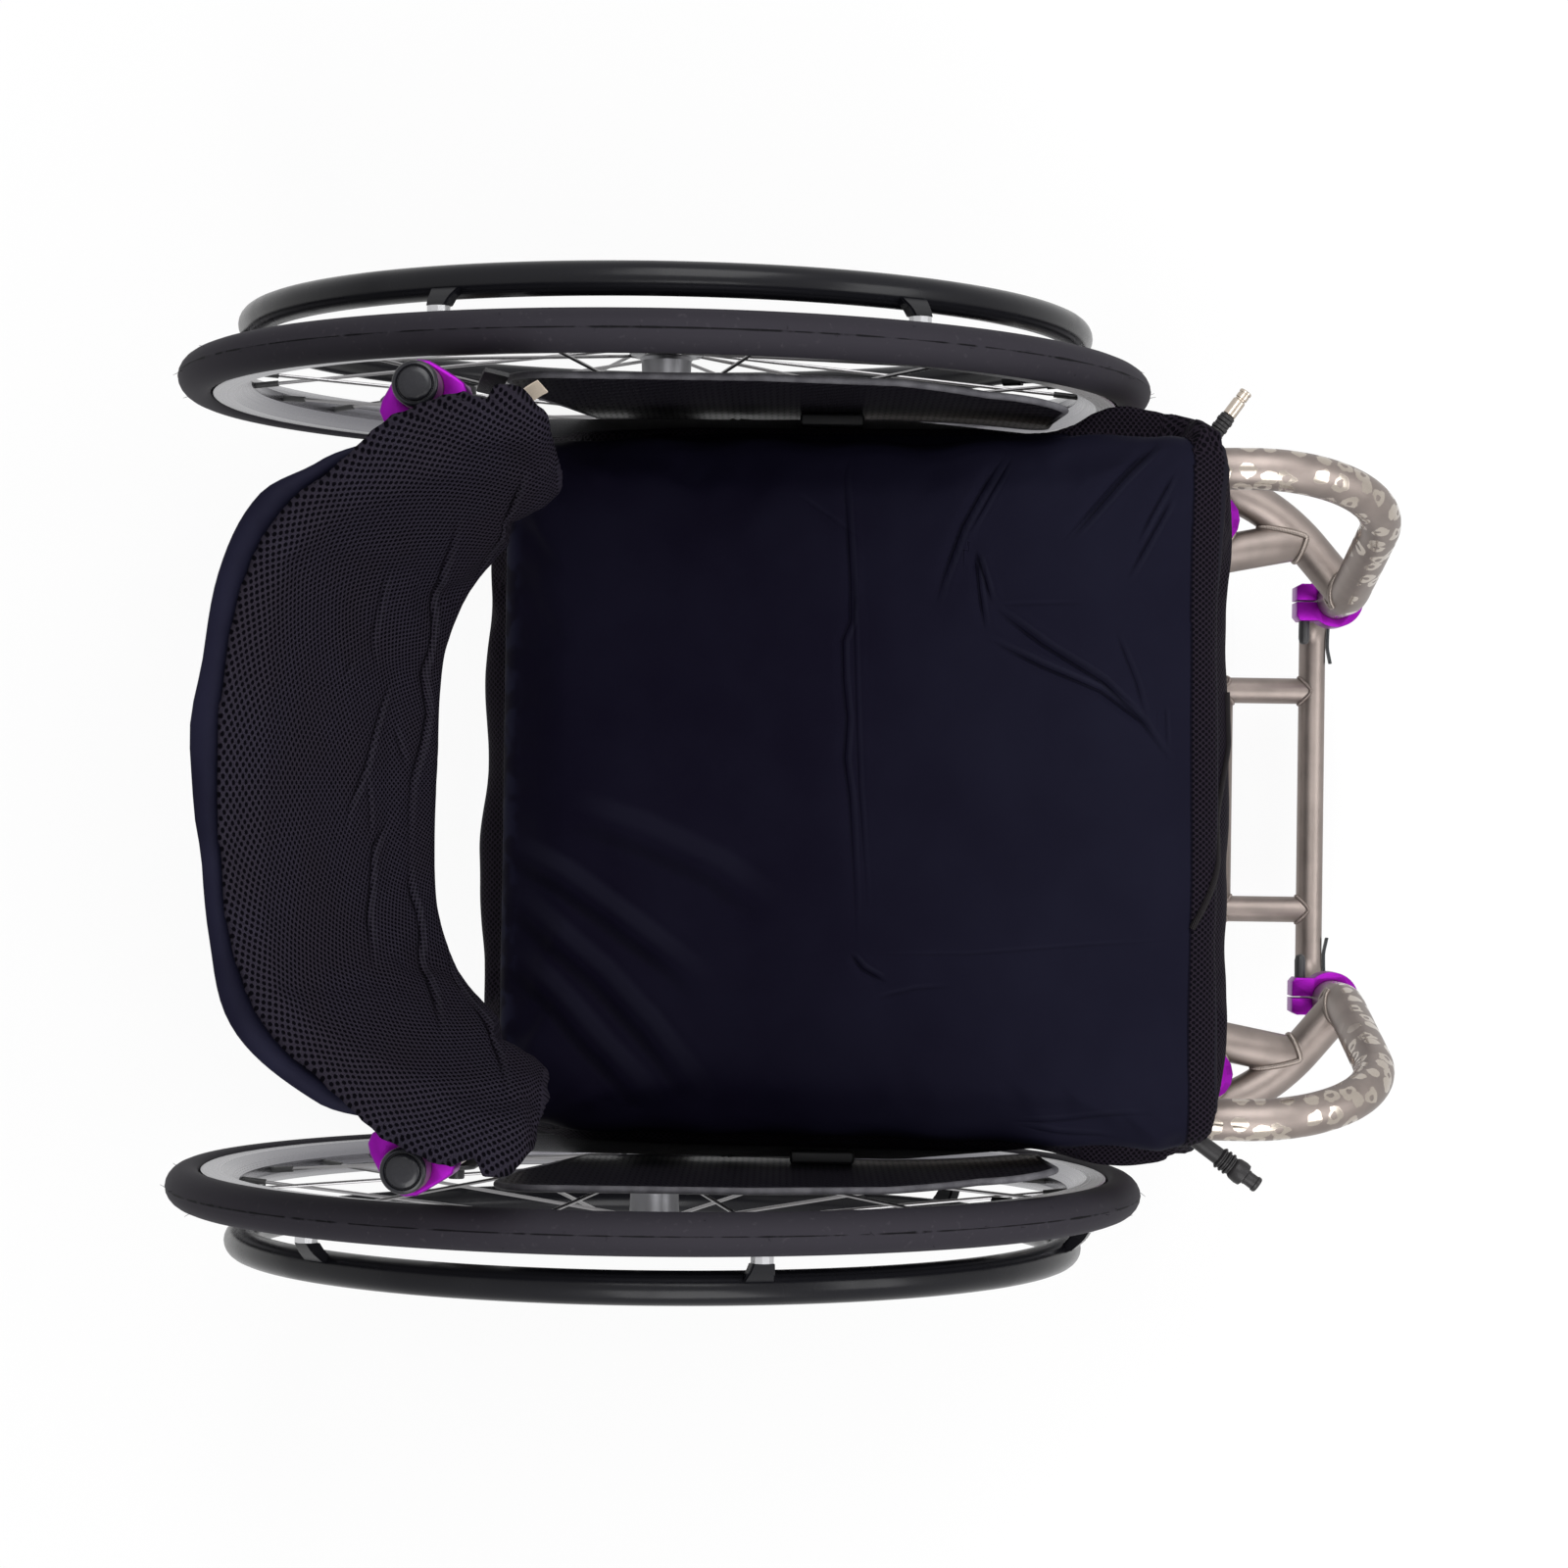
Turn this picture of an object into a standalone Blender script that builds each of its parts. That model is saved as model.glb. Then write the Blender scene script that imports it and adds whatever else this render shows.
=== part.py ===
"""Rigid wheelchair: welded titanium tube frame, two spoked wheels, two casters, folding shell back,
air cushion and a height-adjustable tubular footrest.

Metres, +Z up, the chair faces -Y and the user's left is +X.
Lengthwise positions are first written from the rear axle (rearward positive).
The last step moves everything along Y so that the bounding box is centred.
"""
import math

import bmesh
import bpy
from mathutils import Matrix, Vector

GAP = 0.0003            # clearance between pieces that touch
RUN = 0.00045           # radial clearance of turning and sliding pieces

WHEEL_R = 0.3045        # tyre outside radius
SEAT_X = 0.2110         # seat tube from the middle at the axle; the chair's width goes by this
WHEEL_X = SEAT_X + 0.0390       # wheel centre plane
TYRE_W = 0.025          # tyre width
TYRE_H = 0.0215         # tyre height over the rim
TYRE_SECTION = ((0.349, 1.0), (0.721, 0.832), (0.930, 0.440))   # shares of its height and half width
RIM_R = WHEEL_R - TYRE_H
RIM_DEPTH = 0.0240
RIM_IN_R = RIM_R - RIM_DEPTH
RIM_W = 0.0205          # rim width
RIM_LIP = 0.00145       # the rim is this much wider than the tyre's foot, each side
RIM_CORE_W = 0.0068     # width of the rim's inner edge
AXLE_Z = WHEEL_R        # axle height
HANDRIM_R = RIM_IN_R - 0.0012   # handrim centreline radius
HANDRIM_TUBE_R = 0.0100
HANDRIM_OUT = 0.0337    # handrim centreline outboard of the wheel plane
TAB_R = 0.0062
TAB_CENTRE_R = RIM_R - 0.0088   # where the handrim's tabs stand on the side of the rim
TAB_COUNT = 6
TAB_START = {"left": 3.7, "right": 44.7}        # of the first tab, degrees up from straight back
TAB_SPREAD = 1.45       # a tab is this much wider at the handrim
SPOKE_R = 0.0014
SPOKE_COUNT = 24
SPOKE_SWEEP = math.radians(34.0)
SPOKE_PASS = 0.0018     # crossing spokes pass this far either side of their flange
HUB_R = 0.0160
FLANGE_R = 0.0235
HUB_IN = -0.0225        # hub ends from the wheel plane, inboard negative
HUB_OUT = 0.0290
AXLE_PIN_R = 0.00635
BUTTON_R = 0.0042
BUTTON_TRAVEL = 0.0030

TUBE_R = 0.0127         # main frame tube, 25.4 mm outside
SEAT_FRONT_X = SEAT_X - 0.0145  # seat tube in front of its joggle
SEAT_REAR_Y = 0.1340
SEAT_SLOPE = 0.084      # rise per metre towards the front
SEAT_AXLE_Z = AXLE_Z + 0.0675   # seat tube axis above the axle; the seat and the back go by this
JOGGLE_REAR_Y = -0.1500
JOGGLE_FRONT_Y = -0.2900
FRONT_CORNER = (SEAT_FRONT_X + 0.0007, -0.4520)
FRONT_BEND_R = 0.0848
LEG_KNEE = (0.1330, -0.4435, 0.2280)
LEG_END_Z = 0.1500

CASTER_X = SEAT_X - 0.0325
RAIL_Z = 0.2220
RAIL_CORNER = (SEAT_X - 0.0080, -0.3840, RAIL_Z)
RAIL_END_Y = -0.0450    # where the lower rail runs into the seat tube
STRUT_FRONT = (CASTER_X - 0.0100, -0.4137, RAIL_Z)
STRUT_REAR_X = 0.0844

CASTER_Y = -0.3520
CASTER_R = 0.0500
CASTER_W = 0.0260
CASTER_TRAIL = 0.0320
CASTER_BOLT_R = 0.0038
BARREL_R = 0.0170
FORK_HIGH = 0.0320      # from the top of the caster wheel to the foot of its barrel
BARREL_Z = (2 * CASTER_R + FORK_HIGH, 0.2500)
STEM_R = 0.0060

CAMBER_R = 0.0175
CAMBER_WALL = 0.0025
CAMBER_END = SEAT_X + 0.0105
CLAMP_WALL = 0.0060     # wall of the clamps that hang the camber tube under the seat tubes
RECEIVER_IN = CAMBER_END - 0.0515
RECEIVER_LIP = 0.0030

FOOT_TUBE_R = 0.0090
FOOT_Z = 0.0880
FOOT_REAR_Y = -0.3765
RUNG_X = 0.0750
POST_TOP_Z = 0.1800
FOOT_RAISE = 0.0300

PIVOT_Y = 0.1120
PIVOT_Z = SEAT_AXLE_Z + 0.0830
CANE_X = SEAT_X + 0.0010
CANE_TOP = (0.1240, SEAT_AXLE_Z + 0.2780)
CANE_BELOW = 0.0130     # cane length under its pivot
CANE_CLAMP_Z = SEAT_AXLE_Z + 0.2480
CANE_WALL = 0.0020
CLAMP_RING = 0.0030     # wall of the ring that holds the back on its cane
CLAMP_HALF_H = 0.0130
CLAMP_REAR = (-0.0120, 0.0125, 0.0100)      # its bolted lobes: outboard, rearward, radius
CLAMP_FRONT = (-0.0020, -0.0170, 0.0085)
CLAMP_ARM = (-0.0500, -0.0100, -0.0060, 0.0120)     # its arm to the shell: from, to
PLUG_DEPTH = 0.0120
PLUG_HEAD = 0.0032
EAR_OUT = 0.0160
EAR_IN = 0.0131
PIVOT_BOLT_R = 0.0040
STOP_LOW = 0.0060       # the stop web behind the cane, from this height above the pivot
STOP_HIGH = 0.0200
STOP_T = 0.0036

CUSHION_HALF_W = SEAT_X + 0.0070
GUARD_X = CUSHION_HALF_W + 0.0095
GUARD_T = 0.0030
GUARD_BEND_Y = -0.1300   # in front of this the plate curves inboard
GUARD_BEND = 0.60       # by this much times the square of the distance
GUARD_CLAMP_Y = -0.1040
GUARD_CLAMP_L = 0.0390

CUSHION_FRONT_Y = -0.3360
CUSHION_REAR_Y = 0.0960
CUSHION_T = 0.0720
CUSHION_REAR_EXTRA_R = 0.0150   # rear corners are rounder, to clear the back brackets
SLING_T = 0.0025
SLING_SAG = 0.0140
CUSHION_SAG = SLING_SAG - 0.0015     # the cushion's underside follows the sling, a little flatter
SLING_REAR_Y = 0.0780
SLING_FRONT_Y = -0.3250
SLING_ROWS = 6
SLING_COLUMNS = 12

VALVE_Z = SEAT_AXLE_Z + 0.0780   # air fittings at the front corners of the cushion
VALVE_BASE = (CUSHION_HALF_W - 0.0120, CUSHION_FRONT_Y + 0.0105)
VALVE_WAY = Vector((0.810, -0.586, 0.0))
QUICK_BASE = (-VALVE_BASE[0], VALVE_BASE[1])
QUICK_WAY = Vector((-0.586, -0.810, 0.0))

PAD_TOP_IN = ((0, 0.212), (0.060, 0.209), (0.100, 0.200), (0.130, 0.184), (0.154, 0.160),
              (0.170, 0.135), (0.180, 0.110), (0.187, 0.085), (0.190, 0.060))
PAD_TOP_OUT = ((0, 0.226), (0.066, 0.221), (0.110, 0.212), (0.140, 0.196), (0.163, 0.170),
               (0.179, 0.140), (0.188, 0.112), (0.202, 0.088), (0.208, 0.060))
PAD_LOW_IN = ((0, 0.124), (0.045, 0.124), (0.078, 0.121), (0.100, 0.112), (0.115, 0.099),
              (0.127, 0.086), (0.138, 0.074), (0.148, 0.063), (0.157, 0.052))
PAD_LOW_OUT = ((0, 0.150), (0.055, 0.149), (0.096, 0.143), (0.122, 0.130), (0.140, 0.114),
               (0.153, 0.098), (0.164, 0.082), (0.173, 0.067), (0.180, 0.052))
PAD_WIDE = CANE_X / 0.2120          # the outlines above are for canes 0.212 from the middle
PAD_LOW_Z = SEAT_AXLE_Z + 0.1180    # bottom and top of the back in its middle
PAD_TOP_Z = SEAT_AXLE_Z + 0.3280
PAD_LOW_RISE = 0.0650               # and how much they rise and drop towards its wings
PAD_TOP_DROP = 0.0620
SHELL_T = 0.0060
PAD_COLUMNS = 22
PAD_ROWS = 6
PAD_REACH = CANE_X + 0.0880     # half length of the pad round its curve
PAD_HEIGHT = PAD_TOP_Z - PAD_LOW_Z
PAD_EDGE = ((0.0, 0.018), (0.12, 0.005), (0.5, 0.0), (0.88, 0.003), (1.0, 0.008))   # depth, inset

WHEEL_SEGMENTS = 44     # facets round the rear wheels
TURNED_SEGMENTS = 16    # facets round small turned pieces
CASTER_SEGMENTS = 18    # facets round the caster wheels
FITTING_SEGMENTS = 10   # facets round the air fittings


def remove_everything():
    for item in list(bpy.data.objects):
        bpy.data.objects.remove(item, do_unlink=True)


def make_material(name, colour, roughness, metallic):
    result = bpy.data.materials.new(name)
    result.use_nodes = True
    shader = result.node_tree.nodes["Principled BSDF"]
    shader.inputs["Base Color"].default_value = (*colour, 1.0)
    shader.inputs["Roughness"].default_value = roughness
    shader.inputs["Metallic"].default_value = metallic
    return result


def temporary(shape):
    mesh = bpy.data.meshes.new("shape")
    shape.to_mesh(mesh)
    shape.free()
    item = bpy.data.objects.new("shape", mesh)
    bpy.context.collection.objects.link(item)
    return item


def evaluated(item):
    bpy.context.view_layer.update()
    graph = bpy.context.evaluated_depsgraph_get()
    mesh = bpy.data.meshes.new_from_object(item.evaluated_get(graph))
    result = bmesh.new()
    result.from_mesh(mesh)
    bpy.data.meshes.remove(mesh)
    return result


def combine(body, tool, operation="DIFFERENCE"):
    body_item = temporary(body)
    tool_item = temporary(tool)
    step = body_item.modifiers.new("cut", "BOOLEAN")
    step.operation = operation
    step.solver = "EXACT"
    step.use_self = operation == "UNION"
    step.object = tool_item
    result = evaluated(body_item)
    for item in (body_item, tool_item):
        bpy.data.objects.remove(item, do_unlink=True)
    return result


def largest_piece(shape):
    """Keeps the biggest connected piece of a shape."""
    left = set(shape.verts)
    groups = []
    while left:
        group = set()
        waiting = [left.pop()]
        while waiting:
            vert = waiting.pop()
            group.add(vert)
            for edge in vert.link_edges:
                other = edge.other_vert(vert)
                if other in left:
                    left.remove(other)
                    waiting.append(other)
        groups.append(group)
    groups.sort(key=len)
    for group in groups[:-1]:
        bmesh.ops.delete(shape, geom=list(group), context="VERTS")
    return shape


def bevelled(shape, width, segments=2, angle=30.0):
    item = temporary(shape)
    step = item.modifiers.new("edges", "BEVEL")
    step.width = width
    step.segments = segments
    step.limit_method = "ANGLE"
    step.angle_limit = math.radians(angle)
    result = evaluated(item)
    bpy.data.objects.remove(item, do_unlink=True)
    return result


def joined(shapes):
    result = bmesh.new()
    for shape in shapes:
        mesh = bpy.data.meshes.new("piece")
        shape.to_mesh(mesh)
        shape.free()
        result.from_mesh(mesh)
        bpy.data.meshes.remove(mesh)
    return result


def publish(name, shape, finish, origin=(0.0, 0.0, 0.0), smooth=32.0):
    """Adds a finished node whose own origin is the given point."""
    bmesh.ops.remove_doubles(shape, verts=shape.verts, dist=0.00001)
    bmesh.ops.recalc_face_normals(shape, faces=shape.faces)
    bmesh.ops.translate(shape, verts=shape.verts, vec=-Vector(origin))
    mesh = bpy.data.meshes.new(name)
    shape.to_mesh(mesh)
    shape.free()
    mesh.shade_smooth()
    mesh.set_sharp_from_angle(angle=math.radians(smooth))
    mesh.materials.append(finish)
    item = bpy.data.objects.new(name, mesh)
    item.location = origin
    bpy.context.collection.objects.link(item)
    return item


def rounded_path(corners, radii, step=14.0):
    """A polyline whose inner corners are replaced by arcs of the given radii."""
    corners = [Vector(corner) for corner in corners]
    points = [corners[0]]
    for before, corner, after, radius in zip(corners, corners[1:], corners[2:], radii):
        arriving = (corner - before).normalized()
        leaving = (after - corner).normalized()
        turn = arriving.angle(leaving)
        reach = radius * math.tan(turn / 2)
        inward = (leaving - arriving).normalized()
        centre = corner + inward * radius / math.cos(turn / 2)
        spoke = corner - arriving * reach - centre
        count = max(2, math.ceil(math.degrees(turn) / step))
        axis = arriving.cross(leaving)
        for index in range(count + 1):
            points.append(centre + Matrix.Rotation(turn * index / count, 3, axis) @ spoke)
    points.append(corners[-1])
    return points


def tube(path, radius, sides=16):
    """A closed round bar along a path, made as a curve with a bevel and filled caps."""
    curve = bpy.data.curves.new("path", "CURVE")
    curve.dimensions = "3D"
    spline = curve.splines.new("POLY")
    spline.points.add(len(path) - 1)
    for target, point in zip(spline.points, path):
        target.co = (*point, 1.0)
    curve.bevel_mode = "ROUND"
    curve.bevel_depth = radius
    curve.bevel_resolution = sides // 4 - 1
    curve.use_fill_caps = True
    item = bpy.data.objects.new("path", curve)
    bpy.context.collection.objects.link(item)
    result = evaluated(item)
    bpy.data.objects.remove(item, do_unlink=True)
    bmesh.ops.remove_doubles(result, verts=result.verts, dist=0.00001)
    bmesh.ops.recalc_face_normals(result, faces=result.faces)
    return result


def turned(profile, centre, axis, segments, closed=True):
    """Spins a profile of (radius, distance along the axis) pairs about the axis."""
    axis = Vector(axis).normalized()
    side = axis.cross((0, 0, 1)).normalized() if abs(axis.z) < 0.9999 else Vector((1, 0, 0))
    shape = bmesh.new()
    points = [shape.verts.new(Vector(centre) + side * r + axis * d) for r, d in profile]
    pairs = list(zip(points, points[1:]))
    if closed:
        pairs.append((points[-1], points[0]))
    edges = [shape.edges.new(pair) for pair in pairs]
    bmesh.ops.spin(
        shape, geom=points + edges, cent=centre, axis=axis, dvec=(0, 0, 0),
        angle=math.tau, steps=segments, use_merge=True,
    )
    bmesh.ops.remove_doubles(shape, verts=shape.verts, dist=0.00001)
    bmesh.ops.recalc_face_normals(shape, faces=shape.faces)
    return shape


def bar(start, end, radius, sides=TURNED_SEGMENTS):
    """A straight round bar, faceted like a turned piece on the same axis."""
    run = Vector(end) - Vector(start)
    profile = [(0, 0), (radius, 0), (radius, run.length), (0, run.length)]
    return turned(profile, Vector(start), run, sides, closed=False)


def prism(outline, offset):
    """Extrudes a planar outline of 3-D points by an offset vector."""
    shape = bmesh.new()
    face = shape.faces.new([shape.verts.new(point) for point in outline])
    grown = bmesh.ops.extrude_face_region(shape, geom=[face])
    moved = [part for part in grown["geom"] if isinstance(part, bmesh.types.BMVert)]
    bmesh.ops.translate(shape, verts=moved, vec=Vector(offset))
    bmesh.ops.recalc_face_normals(shape, faces=shape.faces)
    return shape


def box(low, high):
    (x0, y0, z0), (x1, y1, z1) = low, high
    outline = [(x0, y0, z0), (x1, y0, z0), (x1, y1, z0), (x0, y1, z0)]
    return prism(outline, (0, 0, z1 - z0))


def arc(centre, radius, start, end, count):
    """Points of a planar arc, angles in degrees."""
    points = []
    for index in range(count + 1):
        angle = math.radians(start + (end - start) * index / count)
        points.append((centre[0] + radius * math.cos(angle), centre[1] + radius * math.sin(angle)))
    return points


def seat_z(y):
    return SEAT_AXLE_Z - SEAT_SLOPE * y


def seat_x(y):
    share = min(1.0, max(0.0, (JOGGLE_REAR_Y - y) / (JOGGLE_REAR_Y - JOGGLE_FRONT_Y)))
    return SEAT_X + (SEAT_FRONT_X - SEAT_X) * share


def mirrored(point, side):
    return Vector((point[0] * side, point[1], point[2]))


def seat_path(side, rear=SEAT_REAR_Y):
    corners = [
        (SEAT_X, rear, seat_z(rear)),
        (SEAT_X, JOGGLE_REAR_Y, seat_z(JOGGLE_REAR_Y)),
        (SEAT_FRONT_X, JOGGLE_FRONT_Y, seat_z(JOGGLE_FRONT_Y)),
        (*FRONT_CORNER, seat_z(FRONT_CORNER[1])),
        LEG_KNEE,
        (LEG_KNEE[0], LEG_KNEE[1], LEG_END_Z),
    ]
    radii = (0.30, 0.30, FRONT_BEND_R, 0.070)
    return rounded_path([mirrored(corner, side) for corner in corners], radii, 11.0)


def rail_path(side):
    corners = [
        (LEG_KNEE[0], LEG_KNEE[1], RAIL_Z),
        RAIL_CORNER,
        (SEAT_X, RAIL_END_Y, seat_z(RAIL_END_Y)),
    ]
    return rounded_path([mirrored(corner, side) for corner in corners], (0.108,), 9.0)


def strut_ends(side):
    return mirrored(STRUT_FRONT, side), mirrored((STRUT_REAR_X, 0.0, AXLE_Z), side)


def barrel_cutter(side, extra):
    foot = mirrored((CASTER_X, CASTER_Y, BARREL_Z[0] - 0.02), side)
    head = mirrored((CASTER_X, CASTER_Y, BARREL_Z[1] + 0.02), side)
    return bar(foot, head, BARREL_R + extra)


def build_frame(finish):
    titanium, bare, purple, black, carbon = (
        finish["titanium"], finish["receiver"], finish["purple"], finish["black"], finish["carbon"])
    wall = (CAMBER_R - CAMBER_WALL, CAMBER_R)
    camber = turned(
        [(wall[0], -CAMBER_END), (wall[1], -CAMBER_END), (wall[1], CAMBER_END), (wall[0], CAMBER_END)],
        (0, 0, AXLE_Z), (1, 0, 0), TURNED_SEGMENTS)
    publish("camber_tube", camber, titanium)
    for side, word in ((1, "left"), (-1, "right")):
        seat = tube(seat_path(side), TUBE_R)
        post_x = LEG_KNEE[0] * side
        leg_bore = bar((post_x, LEG_KNEE[1], LEG_END_Z - 0.01),
                       (post_x, LEG_KNEE[1], POST_TOP_Z + FOOT_RAISE + 0.003), FOOT_TUBE_R + RUN, 12)
        publish(word + "_seat_tube", combine(seat, leg_bore), titanium)

        rail = tube(rail_path(side), TUBE_R)
        rail = combine(rail, tube(seat_path(side, SEAT_REAR_Y + 0.02), TUBE_R + GAP))
        rail = combine(rail, barrel_cutter(side, GAP))
        publish(word + "_lower_rail", largest_piece(rail), titanium)

        strut = bar(*strut_ends(side), TUBE_R)
        strut = combine(strut, tube(rail_path(side), TUBE_R + GAP))
        strut = combine(strut, barrel_cutter(side, GAP))
        strut = combine(strut, bar((-SEAT_X, 0, AXLE_Z), (SEAT_X, 0, AXLE_Z), CAMBER_R + GAP))
        publish(word + "_inner_strut", largest_piece(strut), titanium)

        centre = mirrored((CASTER_X, CASTER_Y, 0), side)
        barrel = turned(
            [(STEM_R + RUN, BARREL_Z[0]), (BARREL_R, BARREL_Z[0]), (BARREL_R, BARREL_Z[1]),
             (STEM_R + RUN, BARREL_Z[1])], centre, (0, 0, 1), 16)
        publish(word + "_caster_housing", barrel, titanium)
        top = BARREL_Z[1] + GAP
        cap = turned(
            [(0, top), (BARREL_R, top), (BARREL_R, top + 0.0035), (BARREL_R - 0.004, top + 0.006),
             (0, top + 0.007)], centre, (0, 0, 1), 16, closed=False)
        publish(word + "_caster_cap", cap, purple)

        lip = CAMBER_END + GAP
        receiver = turned(
            [(AXLE_PIN_R + RUN, RECEIVER_IN), (CAMBER_R - CAMBER_WALL - GAP, RECEIVER_IN),
             (CAMBER_R - CAMBER_WALL - GAP, lip), (CAMBER_R, lip), (CAMBER_R, lip + RECEIVER_LIP),
             (AXLE_PIN_R + RUN, lip + RECEIVER_LIP)], (0, 0, AXLE_Z), (side, 0, 0), TURNED_SEGMENTS)
        publish(word + "_axle_receiver", receiver, bare)

        grip = CAMBER_R + CLAMP_WALL
        saddle_z = SEAT_AXLE_Z + 0.0040
        outline = arc((0.0, AXLE_Z), grip, 180, 360, 10)
        outline += [(grip, AXLE_Z + 0.0150), (TUBE_R + CLAMP_WALL, SEAT_AXLE_Z - TUBE_R),
                    (TUBE_R + CLAMP_WALL, saddle_z), (-TUBE_R - CLAMP_WALL, saddle_z),
                    (-TUBE_R - CLAMP_WALL, SEAT_AXLE_Z - TUBE_R), (-grip, AXLE_Z + 0.0150)]
        inner, outer = SEAT_X - 0.0130, CAMBER_END
        block = prism([(inner * side, y, z) for y, z in outline], ((outer - inner) * side, 0, 0))
        block = bevelled(block, 0.0012, 1)
        block = combine(block, bar(((inner - CAMBER_R) * side, 0, AXLE_Z),
                                   ((outer + CAMBER_R) * side, 0, AXLE_Z), CAMBER_R + GAP))
        block = combine(block, tube(seat_path(side), TUBE_R + GAP))
        publish(word + "_camber_clamp", block, black)

        build_guard(side, word, carbon, black)
        build_footrest_clamp(side, word, purple)
        build_back_bracket(side, word, black)


def build_guard(side, word, carbon, black):
    """A thin curved plate beside the cushion and the split block that holds it on the seat tube."""
    outline = (
        [(0.0400, -0.0220), (0.0560, 0.0380), (0.0760, 0.0980)]
        + arc((0.0570, 0.1630), 0.0250, 0, 90, 5)
        + [(-0.0600, 0.1880), (-0.1400, 0.1720)]
        + arc((-0.2000, 0.0980), 0.0400, 80, 170, 5)
        + [(-0.2350, 0.0430)]
        + arc((-0.2150, 0.0180), 0.0200, 190, 270, 3)
        + [(-0.1200, -0.0100), (-0.0500, -0.0220)]
    )
    plate = prism([(GUARD_X, y, SEAT_AXLE_Z + z) for y, z in outline], (GUARD_T, 0, 0))
    for cut in range(4):
        bmesh.ops.bisect_plane(
            plate, geom=plate.verts[:] + plate.edges[:] + plate.faces[:],
            plane_co=(0, GUARD_BEND_Y - 0.025 * cut, 0), plane_no=(0, 1, 0))
    for vert in plate.verts:
        forward = max(0.0, GUARD_BEND_Y - vert.co.y)
        vert.co.x -= GUARD_BEND * forward * forward
        vert.co.x *= side
    publish(word + "_side_guard", plate, carbon)
    low = (CUSHION_HALF_W + 0.0008, GUARD_CLAMP_Y - GUARD_CLAMP_L / 2, seat_z(GUARD_CLAMP_Y) - 0.0120)
    high = (GUARD_X - GAP, GUARD_CLAMP_Y + GUARD_CLAMP_L / 2, seat_z(GUARD_CLAMP_Y) + 0.0200)
    block = bevelled(box(low, high), 0.0015, 1)
    for vert in block.verts:
        vert.co.x *= side
    bmesh.ops.recalc_face_normals(block, faces=block.faces)
    for path in (seat_path(side), rail_path(side)):
        block = combine(block, tube(path, TUBE_R + GAP))
    publish(word + "_guard_clamp", block, black)


def build_footrest_clamp(side, word, purple):
    """A split collar with a two-bolt ear behind the foot of each front leg."""
    x, y = LEG_KNEE[0] * side, LEG_KNEE[1]
    outline = arc((x, y), 0.0185, 140, 400, 16)
    outline += [(x + 0.0120, y + 0.0150), (x + 0.0120, y + 0.0260), (x + 0.0014, y + 0.0260),
                (x + 0.0014, y), (x - 0.0014, y), (x - 0.0014, y + 0.0260),
                (x - 0.0120, y + 0.0260), (x - 0.0120, y + 0.0150)]
    low = LEG_END_Z - 0.0030
    collar = prism([(px, py, low) for px, py in outline], (0, 0, 0.0260))
    bore = bar((x, y, low - 0.01), (x, y, low + 0.04), TUBE_R + GAP)
    collar = combine(collar, bore)
    collar = bevelled(collar, 0.0008, 1, 50.0)
    publish(word + "_footrest_clamp", collar, purple)


def build_back_bracket(side, word, black):
    """A saddle on the seat tube with two tall cheeks, a cross bolt and a stop web for the cane."""
    x = SEAT_X * side
    centre = CANE_X * side
    tube_z = seat_z(PIVOT_Y)
    web_y = PIVOT_Y + TUBE_R + 0.0022
    outline = arc((PIVOT_Y, tube_z), TUBE_R + 0.0053, 180, 360, 8)
    outline += [(web_y + STOP_T, PIVOT_Z + STOP_LOW), (web_y + STOP_T, PIVOT_Z + STOP_HIGH - 0.0030),
                (web_y, PIVOT_Z + STOP_HIGH), (PIVOT_Y + 0.0060, PIVOT_Z + STOP_HIGH)]
    outline += arc((PIVOT_Y, PIVOT_Z), 0.0120, 100, 180, 4)
    block = prism([(centre - EAR_OUT, y, z) for y, z in outline], (2 * EAR_OUT, 0, 0))
    block = bevelled(block, 0.0010, 1)
    floor_z = tube_z + TUBE_R + 0.0035
    slot = box((centre - EAR_IN, PIVOT_Y - 0.03, floor_z), (centre + EAR_IN, PIVOT_Y + 0.03, PIVOT_Z + 0.03))
    web = box((centre - EAR_IN - 0.001, web_y, PIVOT_Z + STOP_LOW),
              (centre + EAR_IN + 0.001, PIVOT_Y + 0.04, PIVOT_Z + STOP_HIGH - 0.0030))
    block = combine(block, combine(slot, web))
    bore = bar((x, PIVOT_Y - 0.04, seat_z(PIVOT_Y - 0.04)), (x, PIVOT_Y + 0.04, seat_z(PIVOT_Y + 0.04)),
               TUBE_R + GAP)
    block = combine(block, bore)
    bolt = bar((centre - EAR_OUT + 0.001, PIVOT_Y, PIVOT_Z), (centre + EAR_OUT - 0.001, PIVOT_Y, PIVOT_Z),
               PIVOT_BOLT_R, 12)
    publish(word + "_back_bracket", combine(block, bolt, "UNION"), black)


def sling_height(x, y, sag=SLING_SAG):
    """Top face of the seat sling."""
    share = min(1.0, abs(x) / seat_x(y))
    edge = seat_z(y) + TUBE_R + GAP + SLING_T
    return edge - sag * (1 - share ** 4)


def sling_sheet(low, high):
    """The hammock-shaped slab between two offsets from the sling's top face."""
    lines = []
    for offset in (low, high):
        layer = []
        for row in range(SLING_ROWS + 1):
            y = SLING_REAR_Y + (SLING_FRONT_Y - SLING_REAR_Y) * row / SLING_ROWS
            line = []
            for column in range(SLING_COLUMNS + 1):
                share = math.sin(math.pi / 2 * (2 * column / SLING_COLUMNS - 1))
                x = (seat_x(y) + 0.0020) * share
                line.append(Vector((x, y, sling_height(x, y) + offset)))
            layer.append(line)
        lines.append(layer)
    return slab(*lines)


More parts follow.
